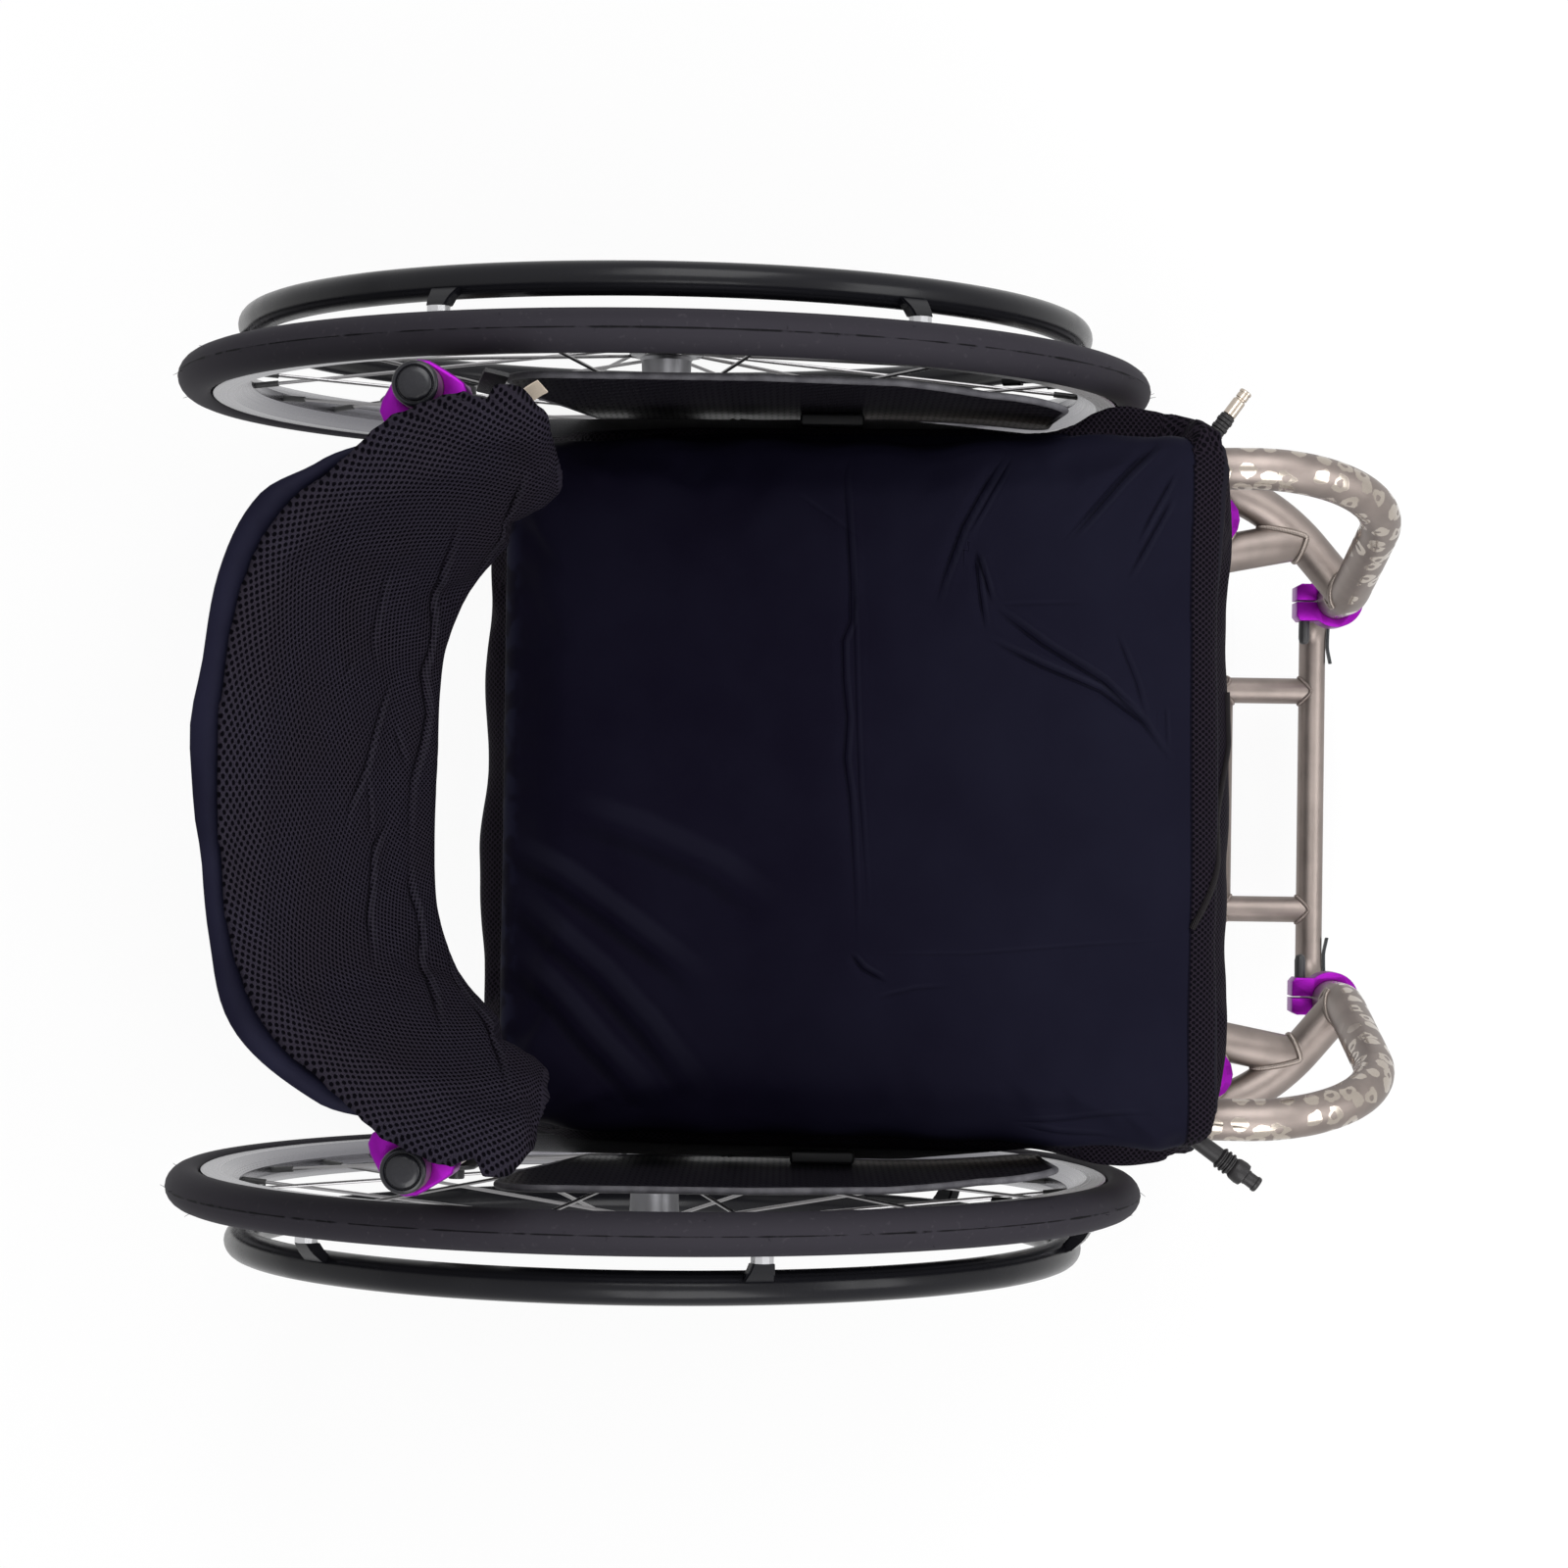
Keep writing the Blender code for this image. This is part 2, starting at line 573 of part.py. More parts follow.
def slab(near, far):
    """A closed solid between two grids of points of the same size."""
    shape = bmesh.new()
    near, far = ([[shape.verts.new(point) for point in line] for line in grid] for grid in (near, far))
    for grid in (near, far):
        for lower, upper in zip(grid, grid[1:]):
            for a, b, c, d in zip(lower, lower[1:], upper[1:], upper):
                shape.faces.new((a, b, c))
                shape.faces.new((a, c, d))
    rows, columns = len(near) - 1, len(near[0]) - 1
    for row in range(rows):
        for column in (0, columns):
            shape.faces.new((near[row][column], near[row + 1][column],
                             far[row + 1][column], far[row][column]))
    for column in range(columns):
        for row in (0, rows):
            shape.faces.new((near[row][column], near[row][column + 1],
                             far[row][column + 1], far[row][column]))
    bmesh.ops.recalc_face_normals(shape, faces=shape.faces)
    return shape


def build_seat(finish):
    sling = sling_sheet(-SLING_T, 0.0)
    for side in (1, -1):
        sling = combine(sling, tube(seat_path(side), TUBE_R + GAP))
    publish("seat_sling", sling, finish["sling"])
    build_cushion(finish["cushion"])
    build_valves(finish)


def cushion_loop(inset, corner, count=8):
    """Plan outline of the cushion, inset from its edge, with even corner arcs."""
    half_w = CUSHION_HALF_W - inset
    front = CUSHION_FRONT_Y + inset
    rear = CUSHION_REAR_Y - inset
    corner = min(corner, half_w - 0.001)
    points = []
    wide = corner + CUSHION_REAR_EXTRA_R
    corners = (
        (half_w - wide, rear - wide, wide, 0), (-half_w + wide, rear - wide, wide, 90),
        (-half_w + corner, front + corner, corner, 180), (half_w - corner, front + corner, corner, 270))
    for cx, cy, radius, start in corners:
        points += arc((cx, cy), radius, start, start + 90, 3)
    detailed = []
    for index, point in enumerate(points):
        after = points[(index + 1) % len(points)]
        span = math.dist(point, after)
        pieces = count if span > 0.5 * (rear - front) * 0.5 else 1
        for piece in range(pieces):
            share = piece / pieces
            detailed.append(tuple(a + (b - a) * share for a, b in zip(point, after)))
    return detailed


def build_cushion(finish):
    """A box cushion with a crowned top, rounded edges and slightly drawn-in sides."""
    levels = (
        (0.0700, 0.0000, 0.0200), (0.0225, 0.0000, 0.0220), (0.0030, 0.0030, 0.0280),
        (0.0010, 0.0110, 0.0300), (0.0025, 0.0340, 0.0300), (0.0000, 0.0560, 0.0300),
        (0.0030, 0.0650, 0.0300), (0.0110, 0.0700, 0.0260), (0.0350, 0.0740, 0.0220),
        (0.0800, 0.0790, 0.0200), (0.1400, 0.0815, 0.0180))
    scale = CUSHION_T / 0.0720
    shape = bmesh.new()
    loops = []
    for inset, height, corner in levels:
        loop = []
        for x, y in cushion_loop(inset, corner):
            bottom = sling_height(x, y, CUSHION_SAG) + 2 * GAP
            flat = seat_z(y) + TUBE_R + SLING_T + 2 * GAP
            share = min(1.0, height / 0.0400)
            loop.append(shape.verts.new((x, y, bottom + (flat - bottom) * share + height * scale)))
        loops.append(loop)
    for lower, upper in zip(loops, loops[1:]):
        for index in range(len(lower)):
            after = (index + 1) % len(lower)
            shape.faces.new((lower[index], lower[after], upper[after], upper[index]))
    for loop, height in ((loops[0], None), (loops[-1], 0.0825)):
        middle_y = sum(vert.co.y for vert in loop) / len(loop)
        if height is None:
            z = sling_height(0, middle_y, CUSHION_SAG) + 2 * GAP
        else:
            z = seat_z(middle_y) + TUBE_R + SLING_T + 2 * GAP + height * scale
        middle = shape.verts.new((0, middle_y, z))
        for index in range(len(loop)):
            shape.faces.new((loop[index], loop[(index + 1) % len(loop)], middle))
    publish("seat_cushion", shape, finish, smooth=60.0)


def ribbed(start, radius, length, ribs):
    profile = [(0.0, start)]
    pitch = length / (2 * ribs)
    for index in range(2 * ribs):
        r = radius if index % 2 == 0 else radius * 0.78
        profile += [(r, start + pitch * index), (r, start + pitch * (index + 1))]
    profile.append((0.0, start + length))
    return profile


def build_valves(finish):
    """The two air fittings at the front corners of the cushion."""
    base = Vector((*VALVE_BASE, VALVE_Z))
    neck = turned(ribbed(0.0012, 0.0062, 0.0200, 3), base, VALVE_WAY, FITTING_SEGMENTS, closed=False)
    publish("valve_neck", neck, finish["black"])
    tip = 0.0212 + GAP
    metal = turned(
        [(0, tip), (0.0048, tip), (0.0048, tip + 0.003), (0.0036, tip + 0.004), (0.0036, tip + 0.008),
         (0.0052, tip + 0.009), (0.0052, tip + 0.016), (0.0040, tip + 0.0175), (0, tip + 0.0175)],
        base, VALVE_WAY, FITTING_SEGMENTS, closed=False)
    flat = box((-0.0026, -0.0062, -0.003), (0.0026, 0.0062, 0.003))
    turn = VALVE_WAY.to_track_quat("Z", "Y").to_matrix().to_4x4()
    flat.transform(Matrix.Translation(base + VALVE_WAY * (tip + 0.0130)) @ turn)
    pivot = base + VALVE_WAY * tip
    publish("cushion_valve", combine(metal, flat, "UNION"), finish["nickel"], origin=pivot)
    base = Vector((*QUICK_BASE, VALVE_Z))
    profile = ribbed(0.0012, 0.0070, 0.0240, 3)[:-1]
    profile += [(0.0050, 0.0252), (0.0050, 0.0300), (0.0080, 0.0300), (0.0080, 0.0380),
                (0.0055, 0.0400), (0.0055, 0.0440), (0, 0.0440)]
    coupling = turned(profile, base, QUICK_WAY, FITTING_SEGMENTS, closed=False)
    publish("quick_disconnect", coupling, finish["black"])


def along(polyline, share):
    """Point of a polyline at a share of its vertices, blended smoothly."""
    place = share * (len(polyline) - 1)
    index = min(int(place), len(polyline) - 2)
    part = place - index
    a = polyline[max(index - 1, 0)]
    b = polyline[index]
    c = polyline[index + 1]
    d = polyline[min(index + 2, len(polyline) - 1)]
    if index == 0:
        a = (-c[0], c[1])
    point = []
    for p, q, r, s in zip(a, b, c, d):
        point.append(0.5 * (2 * q + (r - p) * part + (2 * p - 5 * q + 4 * r - s) * part ** 2
                            + (3 * q - p - 3 * r + s) * part ** 3))
    return point


def back_point(share, height, depth):
    """Surface of the back: share -1..1 across, height 0..1, depth 0 at the face and 1 behind the pad."""
    across = abs(share)
    low_in, low_out = along(PAD_LOW_IN, across), along(PAD_LOW_OUT, across)
    top_in, top_out = along(PAD_TOP_IN, across), along(PAD_TOP_OUT, across)
    rise = height ** 1.15
    inner = [a + (b - a) * rise for a, b in zip(low_in, top_in)]
    outer = [a + (b - a) * rise for a, b in zip(low_out, top_out)]
    x, y = (a + (b - a) * depth for a, b in zip(inner, outer))
    low_z = PAD_LOW_Z + PAD_LOW_RISE * across ** 2.4
    top_z = PAD_TOP_Z - PAD_TOP_DROP * across ** 2.2
    z = low_z + (top_z - low_z) * height
    return Vector((math.copysign(x * PAD_WIDE, share) if share else 0.0, y, z))


def shell_normal(share, height):
    step = 0.02
    side = back_point(min(1, share + step), height, 1) - back_point(max(-1, share - step), height, 1)
    up = back_point(share, min(1, height + step), 1) - back_point(share, max(0, height - step), 1)
    return -(side.cross(up)).normalized()


def back_sheet(margin, near, far):
    """A closed skin between two offsets behind the pad, on the grid of the pad's own rear face."""
    grids = []
    for offset in (near, far):
        grid = []
        for row in range(PAD_ROWS + 1):
            places = [rear_place(column, row) for column in range(margin, PAD_COLUMNS - margin + 1)]
            grid.append([back_point(*place, 1) + shell_normal(*place) * offset for place in places])
        grids.append(grid)
    return slab(*grids)


def rear_place(column, row):
    """Share and height of a grid point of the pad's rear face."""
    return edge_place(2 * column / PAD_COLUMNS - 1, row / PAD_ROWS, PAD_EDGE[-1][1])


def edge_place(share, height, inset):
    """Draws the border of the pad in by an inset, so that its edge becomes round."""
    shrink = inset / PAD_HEIGHT
    return share * (1 - inset / PAD_REACH), shrink + (1 - 2 * shrink) * height


def build_back_pad(finish, pivot):
    """A soft pad with a full rounded edge, thicker over the lumbar area."""
    shape = bmesh.new()
    columns, rows = range(PAD_COLUMNS + 1), range(PAD_ROWS + 1)
    border = [(0, c) for c in columns[:-1]] + [(r, PAD_COLUMNS) for r in rows[:-1]]
    border += [(PAD_ROWS, c) for c in columns[:0:-1]] + [(r, 0) for r in rows[:0:-1]]

    def vertex(column, row, depth, inset):
        share, height = edge_place(2 * column / PAD_COLUMNS - 1, row / PAD_ROWS, inset)
        return shape.verts.new(back_point(share, height, depth))

    rings = []
    for step in PAD_EDGE:
        if step in (PAD_EDGE[0], PAD_EDGE[-1]):
            grid = [[vertex(column, row, *step) for column in columns] for row in rows]
            for lower, upper in zip(grid, grid[1:]):
                for a, b, c, d in zip(lower, lower[1:], upper[1:], upper):
                    shape.faces.new((a, b, c))
                    shape.faces.new((a, c, d))
            rings.append([grid[row][column] for row, column in border])
        else:
            rings.append([vertex(column, row, *step) for row, column in border])
    for near, far in zip(rings, rings[1:]):
        for index in range(len(border)):
            after = (index + 1) % len(border)
            shape.faces.new((near[index], near[after], far[after], far[index]))
    publish("back_pad", shape, finish, origin=pivot, smooth=60.0)


def cane_axis():
    return (Vector((0, *CANE_TOP)) - Vector((0, PIVOT_Y, PIVOT_Z))).normalized()


def build_back(finish):
    pivot = (0.0, PIVOT_Y, PIVOT_Z)
    way = cane_axis()
    lean = math.atan2(way.y, way.z)
    top = Vector((0, *CANE_TOP))
    foot = Vector(pivot) - way * CANE_BELOW
    for side, word in ((1, "left"), (-1, "right")):
        shift = Vector((CANE_X * side, 0, 0))
        cane = bar(foot + shift, top + shift, TUBE_R)
        cane = combine(cane, bar(foot + shift - way * 0.01, top + shift + way * 0.01, TUBE_R - CANE_WALL))
        bolt = bar((CANE_X * side - 0.02, PIVOT_Y, PIVOT_Z), (CANE_X * side + 0.02, PIVOT_Y, PIVOT_Z),
                   PIVOT_BOLT_R + GAP, 12)
        publish(word + "_back_cane", combine(cane, bolt), finish["cane"], origin=pivot)
        plug = turned(
            [(0, -PLUG_DEPTH), (TUBE_R - CANE_WALL - GAP, -PLUG_DEPTH), (TUBE_R - CANE_WALL - GAP, GAP),
             (TUBE_R, GAP), (TUBE_R, PLUG_HEAD - 0.0010), (TUBE_R - 0.0022, PLUG_HEAD), (0, PLUG_HEAD)],
            top + shift, way, TURNED_SEGMENTS, closed=False)
        publish(word + "_cane_plug", plug, finish["black"], origin=pivot)

        centre = Vector(pivot) + way * (CANE_CLAMP_Z - PIVOT_Z) / way.z + shift
        outline = arc(CLAMP_FRONT[:2], CLAMP_FRONT[2], 200, 340, 4)
        outline += arc((0.0, 0.0), TUBE_R + CLAMP_RING, -40, 75, 5)
        outline += arc(CLAMP_REAR[:2], CLAMP_REAR[2], 60, 200, 4)
        body = prism([(x * side, y, -CLAMP_HALF_H) for x, y in outline], (0, 0, 2 * CLAMP_HALF_H))
        arm = box((*CLAMP_ARM[:2], 0.0020 - CLAMP_HALF_H), (*CLAMP_ARM[2:], CLAMP_HALF_H - 0.0020))
        for vert in arm.verts:
            vert.co.x *= side
        bmesh.ops.recalc_face_normals(arm, faces=arm.faces)
        body = combine(body, arm, "UNION")
        body = bevelled(body, 0.0010, 1, 40.0)
        body.transform(Matrix.Translation(centre) @ Matrix.Rotation(-lean, 4, "X"))
        body = combine(body, bar(foot + shift, top + shift + way * 0.02, TUBE_R + GAP))
        body = combine(body, back_sheet(0, -0.03, SHELL_T + 3 * GAP))
        publish(word + "_back_clamp", largest_piece(body), finish["purple"], origin=pivot)
    shell = back_sheet(1, 2 * GAP, 2 * GAP + SHELL_T)
    publish("back_shell", shell, finish["navy"], origin=pivot)
    build_back_pad(finish["mesh"], pivot)


def build_wheel(side, word, finish):
    """Tyre, rim, laced hub and handrim, all with their origin on the axle."""
    centre = (WHEEL_X * side, 0.0, AXLE_Z)
    axis = (side, 0, 0)
    side_w = RIM_W / 2
    foot = side_w - RIM_LIP
    flank = [(RIM_R + GAP, foot)]
    flank += [(RIM_R + TYRE_H * up, TYRE_W / 2 * out) for up, out in TYRE_SECTION]
    tyre = turned(
        [(r, -d) for r, d in flank] + [(WHEEL_R, 0.0)] + flank[::-1], centre, axis, WHEEL_SEGMENTS)
    publish(word + "_tyre", tyre, finish["rubber"], origin=centre)
    flank = [(RIM_R, foot), (RIM_R - 0.0010, side_w), (RIM_R - 0.54 * RIM_DEPTH, side_w),
             (RIM_IN_R, RIM_CORE_W / 2)]
    rim = turned(flank + [(r, -d) for r, d in flank[::-1]], centre, axis, WHEEL_SEGMENTS)
    publish(word + "_rim", rim, finish["rim"], origin=centre)
    publish(word + "_hub_and_spokes", laced_hub(side, centre), finish["spoke"], origin=centre)

    ring_centre = Vector(centre) + Vector((HANDRIM_OUT * side, 0, 0))
    section = [(HANDRIM_R + r, d) for r, d in arc((0, 0), HANDRIM_TUBE_R, 0, 315, 7)]
    ring = turned(section, ring_centre, axis, WHEEL_SEGMENTS)
    foot_centre = Vector(centre) + Vector(((side_w + GAP) * side, 0, 0))
    tabs = []
    for index in range(TAB_COUNT):
        angle = math.radians(TAB_START[word] + index * 360 / TAB_COUNT)
        tabs.append(handrim_tab(foot_centre, ring_centre, Vector((0, math.cos(angle), math.sin(angle)))))
    publish(word + "_handrim", combine(ring, joined(tabs), "UNION"), finish["handrim"], origin=centre)

    pin = turned(
        [(0, -0.0760), (AXLE_PIN_R - 0.0015, -0.0760), (AXLE_PIN_R, -0.0735), (AXLE_PIN_R, HUB_OUT + GAP),
         (0.0105, HUB_OUT + GAP), (0.0105, HUB_OUT + 0.0055), (BUTTON_R + RUN, HUB_OUT + 0.0055),
         (BUTTON_R + RUN, HUB_OUT - 0.0060), (0, HUB_OUT - 0.0060)], centre, axis, 16, closed=False)
    publish(word + "_axle_pin", pin, finish["steel"], origin=centre)
    head = HUB_OUT - 0.0060 + BUTTON_TRAVEL + GAP
    button = turned(
        [(0, head), (BUTTON_R, head), (BUTTON_R, HUB_OUT + 0.0080), (BUTTON_R - 0.001, HUB_OUT + 0.0088),
         (0, HUB_OUT + 0.0090)], centre, axis, 12, closed=False)
    publish(word + "_axle_button", button, finish["black"], origin=centre)


def handrim_tab(foot_centre, ring_centre, outward):
    """A tab that stands flat on the rim's side, leans in to the handrim and spreads along it."""
    foot = foot_centre + outward * TAB_CENTRE_R
    run = ring_centre - foot_centre
    along = run.cross(outward).normalized()
    tab = bar(foot, foot + run, TAB_R, 8)
    for vert in tab.verts:
        if (vert.co - foot).dot(run) > run.length_squared / 2:
            vert.co += outward * (HANDRIM_R - TAB_CENTRE_R)
            vert.co += along * (vert.co - ring_centre).dot(along) * (TAB_SPREAD - 1)
    return tab


def laced_hub(side, centre):
    """A flanged hub with tangent spokes fused to it, laced alternately to both flanges."""
    axis = (side, 0, 0)
    bore = AXLE_PIN_R + RUN
    hub = turned(
        [(bore, HUB_IN), (0.0110, HUB_IN), (0.0110, HUB_IN + 0.0020), (FLANGE_R, HUB_IN + 0.0035),
         (FLANGE_R, HUB_IN + 0.0075), (HUB_R, HUB_IN + 0.0100), (HUB_R, HUB_OUT - 0.0090),
         (FLANGE_R, HUB_OUT - 0.0070), (FLANGE_R, HUB_OUT - 0.0030), (0.0130, HUB_OUT - 0.0015),
         (0.0130, HUB_OUT), (bore, HUB_OUT)], centre, axis, TURNED_SEGMENTS)
    spokes = []
    for index in range(SPOKE_COUNT):
        rim_angle = math.tau * index / SPOKE_COUNT
        leading = index % 4 < 2
        turn = SPOKE_SWEEP if leading else -SPOKE_SWEEP
        flange = HUB_IN + 0.0055 if index % 2 else HUB_OUT - 0.0050
        flange += SPOKE_PASS if leading else -SPOKE_PASS
        start_angle = rim_angle + turn
        start_r = FLANGE_R - 0.0035
        start = Vector((flange * side, start_r * math.cos(start_angle), start_r * math.sin(start_angle)))
        end_r = RIM_IN_R * math.cos(math.pi / WHEEL_SEGMENTS) - GAP
        end = Vector((0.0, end_r * math.cos(rim_angle), end_r * math.sin(rim_angle)))
        spokes.append(bar(Vector(centre) + start, Vector(centre) + end, SPOKE_R, 4))
    return combine(hub, joined(spokes), "UNION")


def build_caster(side, word, finish):
    """A swivelling fork and the small wheel that trails behind its stem."""
    stem = mirrored((CASTER_X, CASTER_Y, 0.0), side)
    wheel_y = CASTER_Y + CASTER_TRAIL
    wheel = Vector((stem.x, wheel_y, CASTER_R))
    crown_top = BARREL_Z[0] - 0.0008
    crown_low = 2 * CASTER_R + 0.0060
    blade_out = CASTER_W / 2 + 0.0075
    blade_in = CASTER_W / 2 + 0.0020
    crown = turned(
        [(0, crown_low), (0.0190, crown_low), (0.0200, crown_top - 0.003), (0.0170, crown_top),
         (STEM_R, crown_top), (STEM_R, BARREL_Z[1] - 0.004), (0, BARREL_Z[1] - 0.004)],
        stem, (0, 0, 1), 16, closed=False)
    outline = (
        [(CASTER_Y - 0.0150, crown_low + 0.0160), (CASTER_Y - 0.0150, crown_low - 0.0030)]
        + arc((wheel_y, CASTER_R), 0.0095, 205, 385, 5)
        + [(CASTER_Y + 0.0230, crown_low + 0.0020), (CASTER_Y + 0.0150, crown_low + 0.0160)])
    bridge = box((stem.x - blade_out + 0.0003, CASTER_Y - 0.0148, crown_low),
                 (stem.x + blade_out - 0.0003, CASTER_Y + 0.0148, crown_low + 0.0158))
    fork = combine(crown, bridge, "UNION")
    for face, thickness in ((blade_in, blade_out - blade_in), (-blade_out, blade_out - blade_in)):
        blade = prism([(stem.x + face, y, z) for y, z in outline], (thickness, 0, 0))
        fork = combine(fork, blade, "UNION")
    fork = combine(fork, bar((wheel.x - 0.05, wheel_y, CASTER_R), (wheel.x + 0.05, wheel_y, CASTER_R),
                             CASTER_BOLT_R + RUN, TURNED_SEGMENTS))
    publish(word + "_caster_fork", fork, finish["fork"], origin=stem)

    half = CASTER_W / 2
    core_r = 0.0360
    tyre = turned(
        [(core_r + GAP, -half + 0.002), (0.0440, -half), (0.0480, -half + 0.0025), (CASTER_R, -0.0055),
         (CASTER_R, 0.0055), (0.0480, half - 0.0025), (0.0440, half), (core_r + GAP, half - 0.002)],
        wheel, (side, 0, 0), CASTER_SEGMENTS)
    publish(word + "_caster_tyre", tyre, finish["caster_tyre"], origin=wheel)
    hub = turned(
        [(0, -0.0225), (CASTER_BOLT_R, -0.0225), (CASTER_BOLT_R, -0.0145), (0.0090, -0.0145),
         (0.0100, -0.0060), (0.0290, -0.0060), (core_r, -0.0100), (core_r, 0.0100),
         (0.0290, 0.0060), (0.0100, 0.0060), (0.0090, 0.0145), (CASTER_BOLT_R, 0.0145),
         (CASTER_BOLT_R, 0.0225), (0, 0.0225)], wheel, (side, 0, 0), CASTER_SEGMENTS, closed=False)
    publish(word + "_caster_hub", hub, finish["caster_hub"], origin=wheel)


def build_footrest(finish):
    """One welded tubular footrest that slides in the feet of the front legs."""
    x, y = LEG_KNEE[0], LEG_KNEE[1]
    corners = [(x, y, POST_TOP_Z), (x, y, FOOT_Z), (-x, y, FOOT_Z), (-x, y, POST_TOP_Z)]
    frame = tube(rounded_path(corners, (0.026, 0.026), 18.0), FOOT_TUBE_R, 12)
    reach = RUNG_X + FOOT_TUBE_R
    frame = combine(frame, bar((-reach, FOOT_REAR_Y, FOOT_Z), (reach, FOOT_REAR_Y, FOOT_Z),
                               FOOT_TUBE_R, 12), "UNION")
    for side in (1, -1):
        rung = bar((RUNG_X * side, y, FOOT_Z), (RUNG_X * side, FOOT_REAR_Y, FOOT_Z),
                   FOOT_TUBE_R - 0.0002, 12)
        frame = combine(frame, rung, "UNION")
    publish("footrest", frame, finish["titanium"], origin=(0.0, y, FOOT_Z))


def centre_lengthwise():
    bpy.context.view_layer.update()
    ys = [(item.matrix_world @ vert.co).y for item in bpy.data.objects for vert in item.data.vertices]
    middle = (min(ys) + max(ys)) / 2
    for item in bpy.data.objects:
        item.location.y -= middle


def main():
    remove_everything()
    looks = (
        ("titanium", (0.36, 0.32, 0.29), 0.42, 1.0), ("cane", (0.34, 0.30, 0.27), 0.42, 1.0),
        ("receiver", (0.60, 0.60, 0.62), 0.30, 1.0), ("purple", (0.24, 0.01, 0.42), 0.32, 0.9),
        ("black", (0.02, 0.02, 0.022), 0.50, 0.1), ("carbon", (0.02, 0.02, 0.024), 0.30, 0.2),
        ("sling", (0.015, 0.015, 0.018), 0.90, 0.0), ("cushion", (0.010, 0.010, 0.022), 0.75, 0.0),
        ("nickel", (0.66, 0.64, 0.60), 0.25, 1.0), ("navy", (0.012, 0.016, 0.040), 0.80, 0.0),
        ("mesh", (0.020, 0.018, 0.024), 0.90, 0.0), ("rubber", (0.035, 0.035, 0.040), 0.75, 0.0),
        ("rim", (0.55, 0.55, 0.57), 0.30, 1.0), ("spoke", (0.30, 0.30, 0.32), 0.35, 1.0),
        ("handrim", (0.012, 0.012, 0.014), 0.35, 0.3), ("steel", (0.60, 0.60, 0.62), 0.25, 1.0),
        ("fork", (0.24, 0.01, 0.42), 0.32, 0.9), ("caster_tyre", (0.02, 0.02, 0.022), 0.70, 0.0),
        ("caster_hub", (0.55, 0.55, 0.57), 0.30, 1.0))
    finish = {name: make_material(name, colour, rough, metal) for name, colour, rough, metal in looks}
    build_frame(finish)
    build_seat(finish)
    build_back(finish)
    build_footrest(finish)
    for side, word in ((1, "left"), (-1, "right")):
        build_wheel(side, word, finish)
        build_caster(side, word, finish)
    centre_lengthwise()


main()
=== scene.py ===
"""Rigid wheelchair, dressed for its picture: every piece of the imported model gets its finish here.

Metres, +Z up, the sitter faces -Y and has +X on the left. The sections follow the order in which
the chair is put together. Lengths along the chair are written from the rear axle.
"""

import math
import random

import bmesh
import bpy
from mathutils import Matrix, Vector, noise
from mathutils.bvhtree import BVHTree
from mathutils.kdtree import KDTree


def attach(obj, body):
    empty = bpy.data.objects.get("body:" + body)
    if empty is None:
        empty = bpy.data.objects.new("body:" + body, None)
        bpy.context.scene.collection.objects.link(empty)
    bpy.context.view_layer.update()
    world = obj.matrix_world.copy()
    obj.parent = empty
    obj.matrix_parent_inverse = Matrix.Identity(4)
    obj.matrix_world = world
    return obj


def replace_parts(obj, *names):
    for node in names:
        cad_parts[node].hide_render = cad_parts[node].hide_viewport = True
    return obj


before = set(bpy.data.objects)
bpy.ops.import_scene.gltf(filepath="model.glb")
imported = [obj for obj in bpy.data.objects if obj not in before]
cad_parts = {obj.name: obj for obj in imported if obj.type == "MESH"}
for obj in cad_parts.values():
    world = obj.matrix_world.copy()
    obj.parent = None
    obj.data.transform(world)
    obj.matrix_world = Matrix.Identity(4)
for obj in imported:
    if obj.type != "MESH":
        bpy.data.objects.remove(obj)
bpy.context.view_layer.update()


# The room: a pale floor, a white surround, two soft boxes overhead with a weaker one behind, and a
# long lens that looks straight down on the chair from 2.7 m, a hair off the plumb line.
LENS_MM = 86.83
EYE = Vector((-0.0273, 0.0005, 2.687))
ROLL, TILT = math.radians(0.81), math.radians(0.739)
FLOOR_Z, FLOOR_HALF, FLOOR_WHITE = -0.0004, 9.0, 0.86     # the share of plain white that the camera sees

scene = bpy.context.scene
scene.view_settings.view_transform = "Standard"


def linked(name, data):
    """A new object in the scene."""
    thing = bpy.data.objects.new(name, data)
    scene.collection.objects.link(thing)
    return thing


def mesh_of(shape, name):
    """A bmesh as a mesh; the bmesh is freed."""
    mesh = bpy.data.meshes.new(name)
    shape.to_mesh(mesh)
    shape.free()
    return mesh


def white_when_seen(tree, other, white, surface, share=None):
    """Shows white to the camera, also in a mirror and through clear things, and the other to all else."""
    path = tree.nodes.new("ShaderNodeLightPath")
    seen = path.outputs["Is Camera Ray"]
    for ray in ("Is Glossy Ray", "Is Transmission Ray"):
        either = tree.nodes.new("ShaderNodeMath")
        either.operation = "MAXIMUM"
        tree.links.new(either.inputs[0], seen)
        tree.links.new(either.inputs[1], path.outputs[ray])
        seen = either.outputs[0]
    if share is not None:
        part = tree.nodes.new("ShaderNodeMath")
        part.operation = "MULTIPLY"
        part.inputs[1].default_value = share
        tree.links.new(part.inputs[0], seen)
        seen = part.outputs[0]
    choice = tree.nodes.new("ShaderNodeMixShader")
    for index, link in enumerate((seen, other, white)):
        tree.links.new(choice.inputs[index], link)
    tree.links.new(surface, choice.outputs[0])


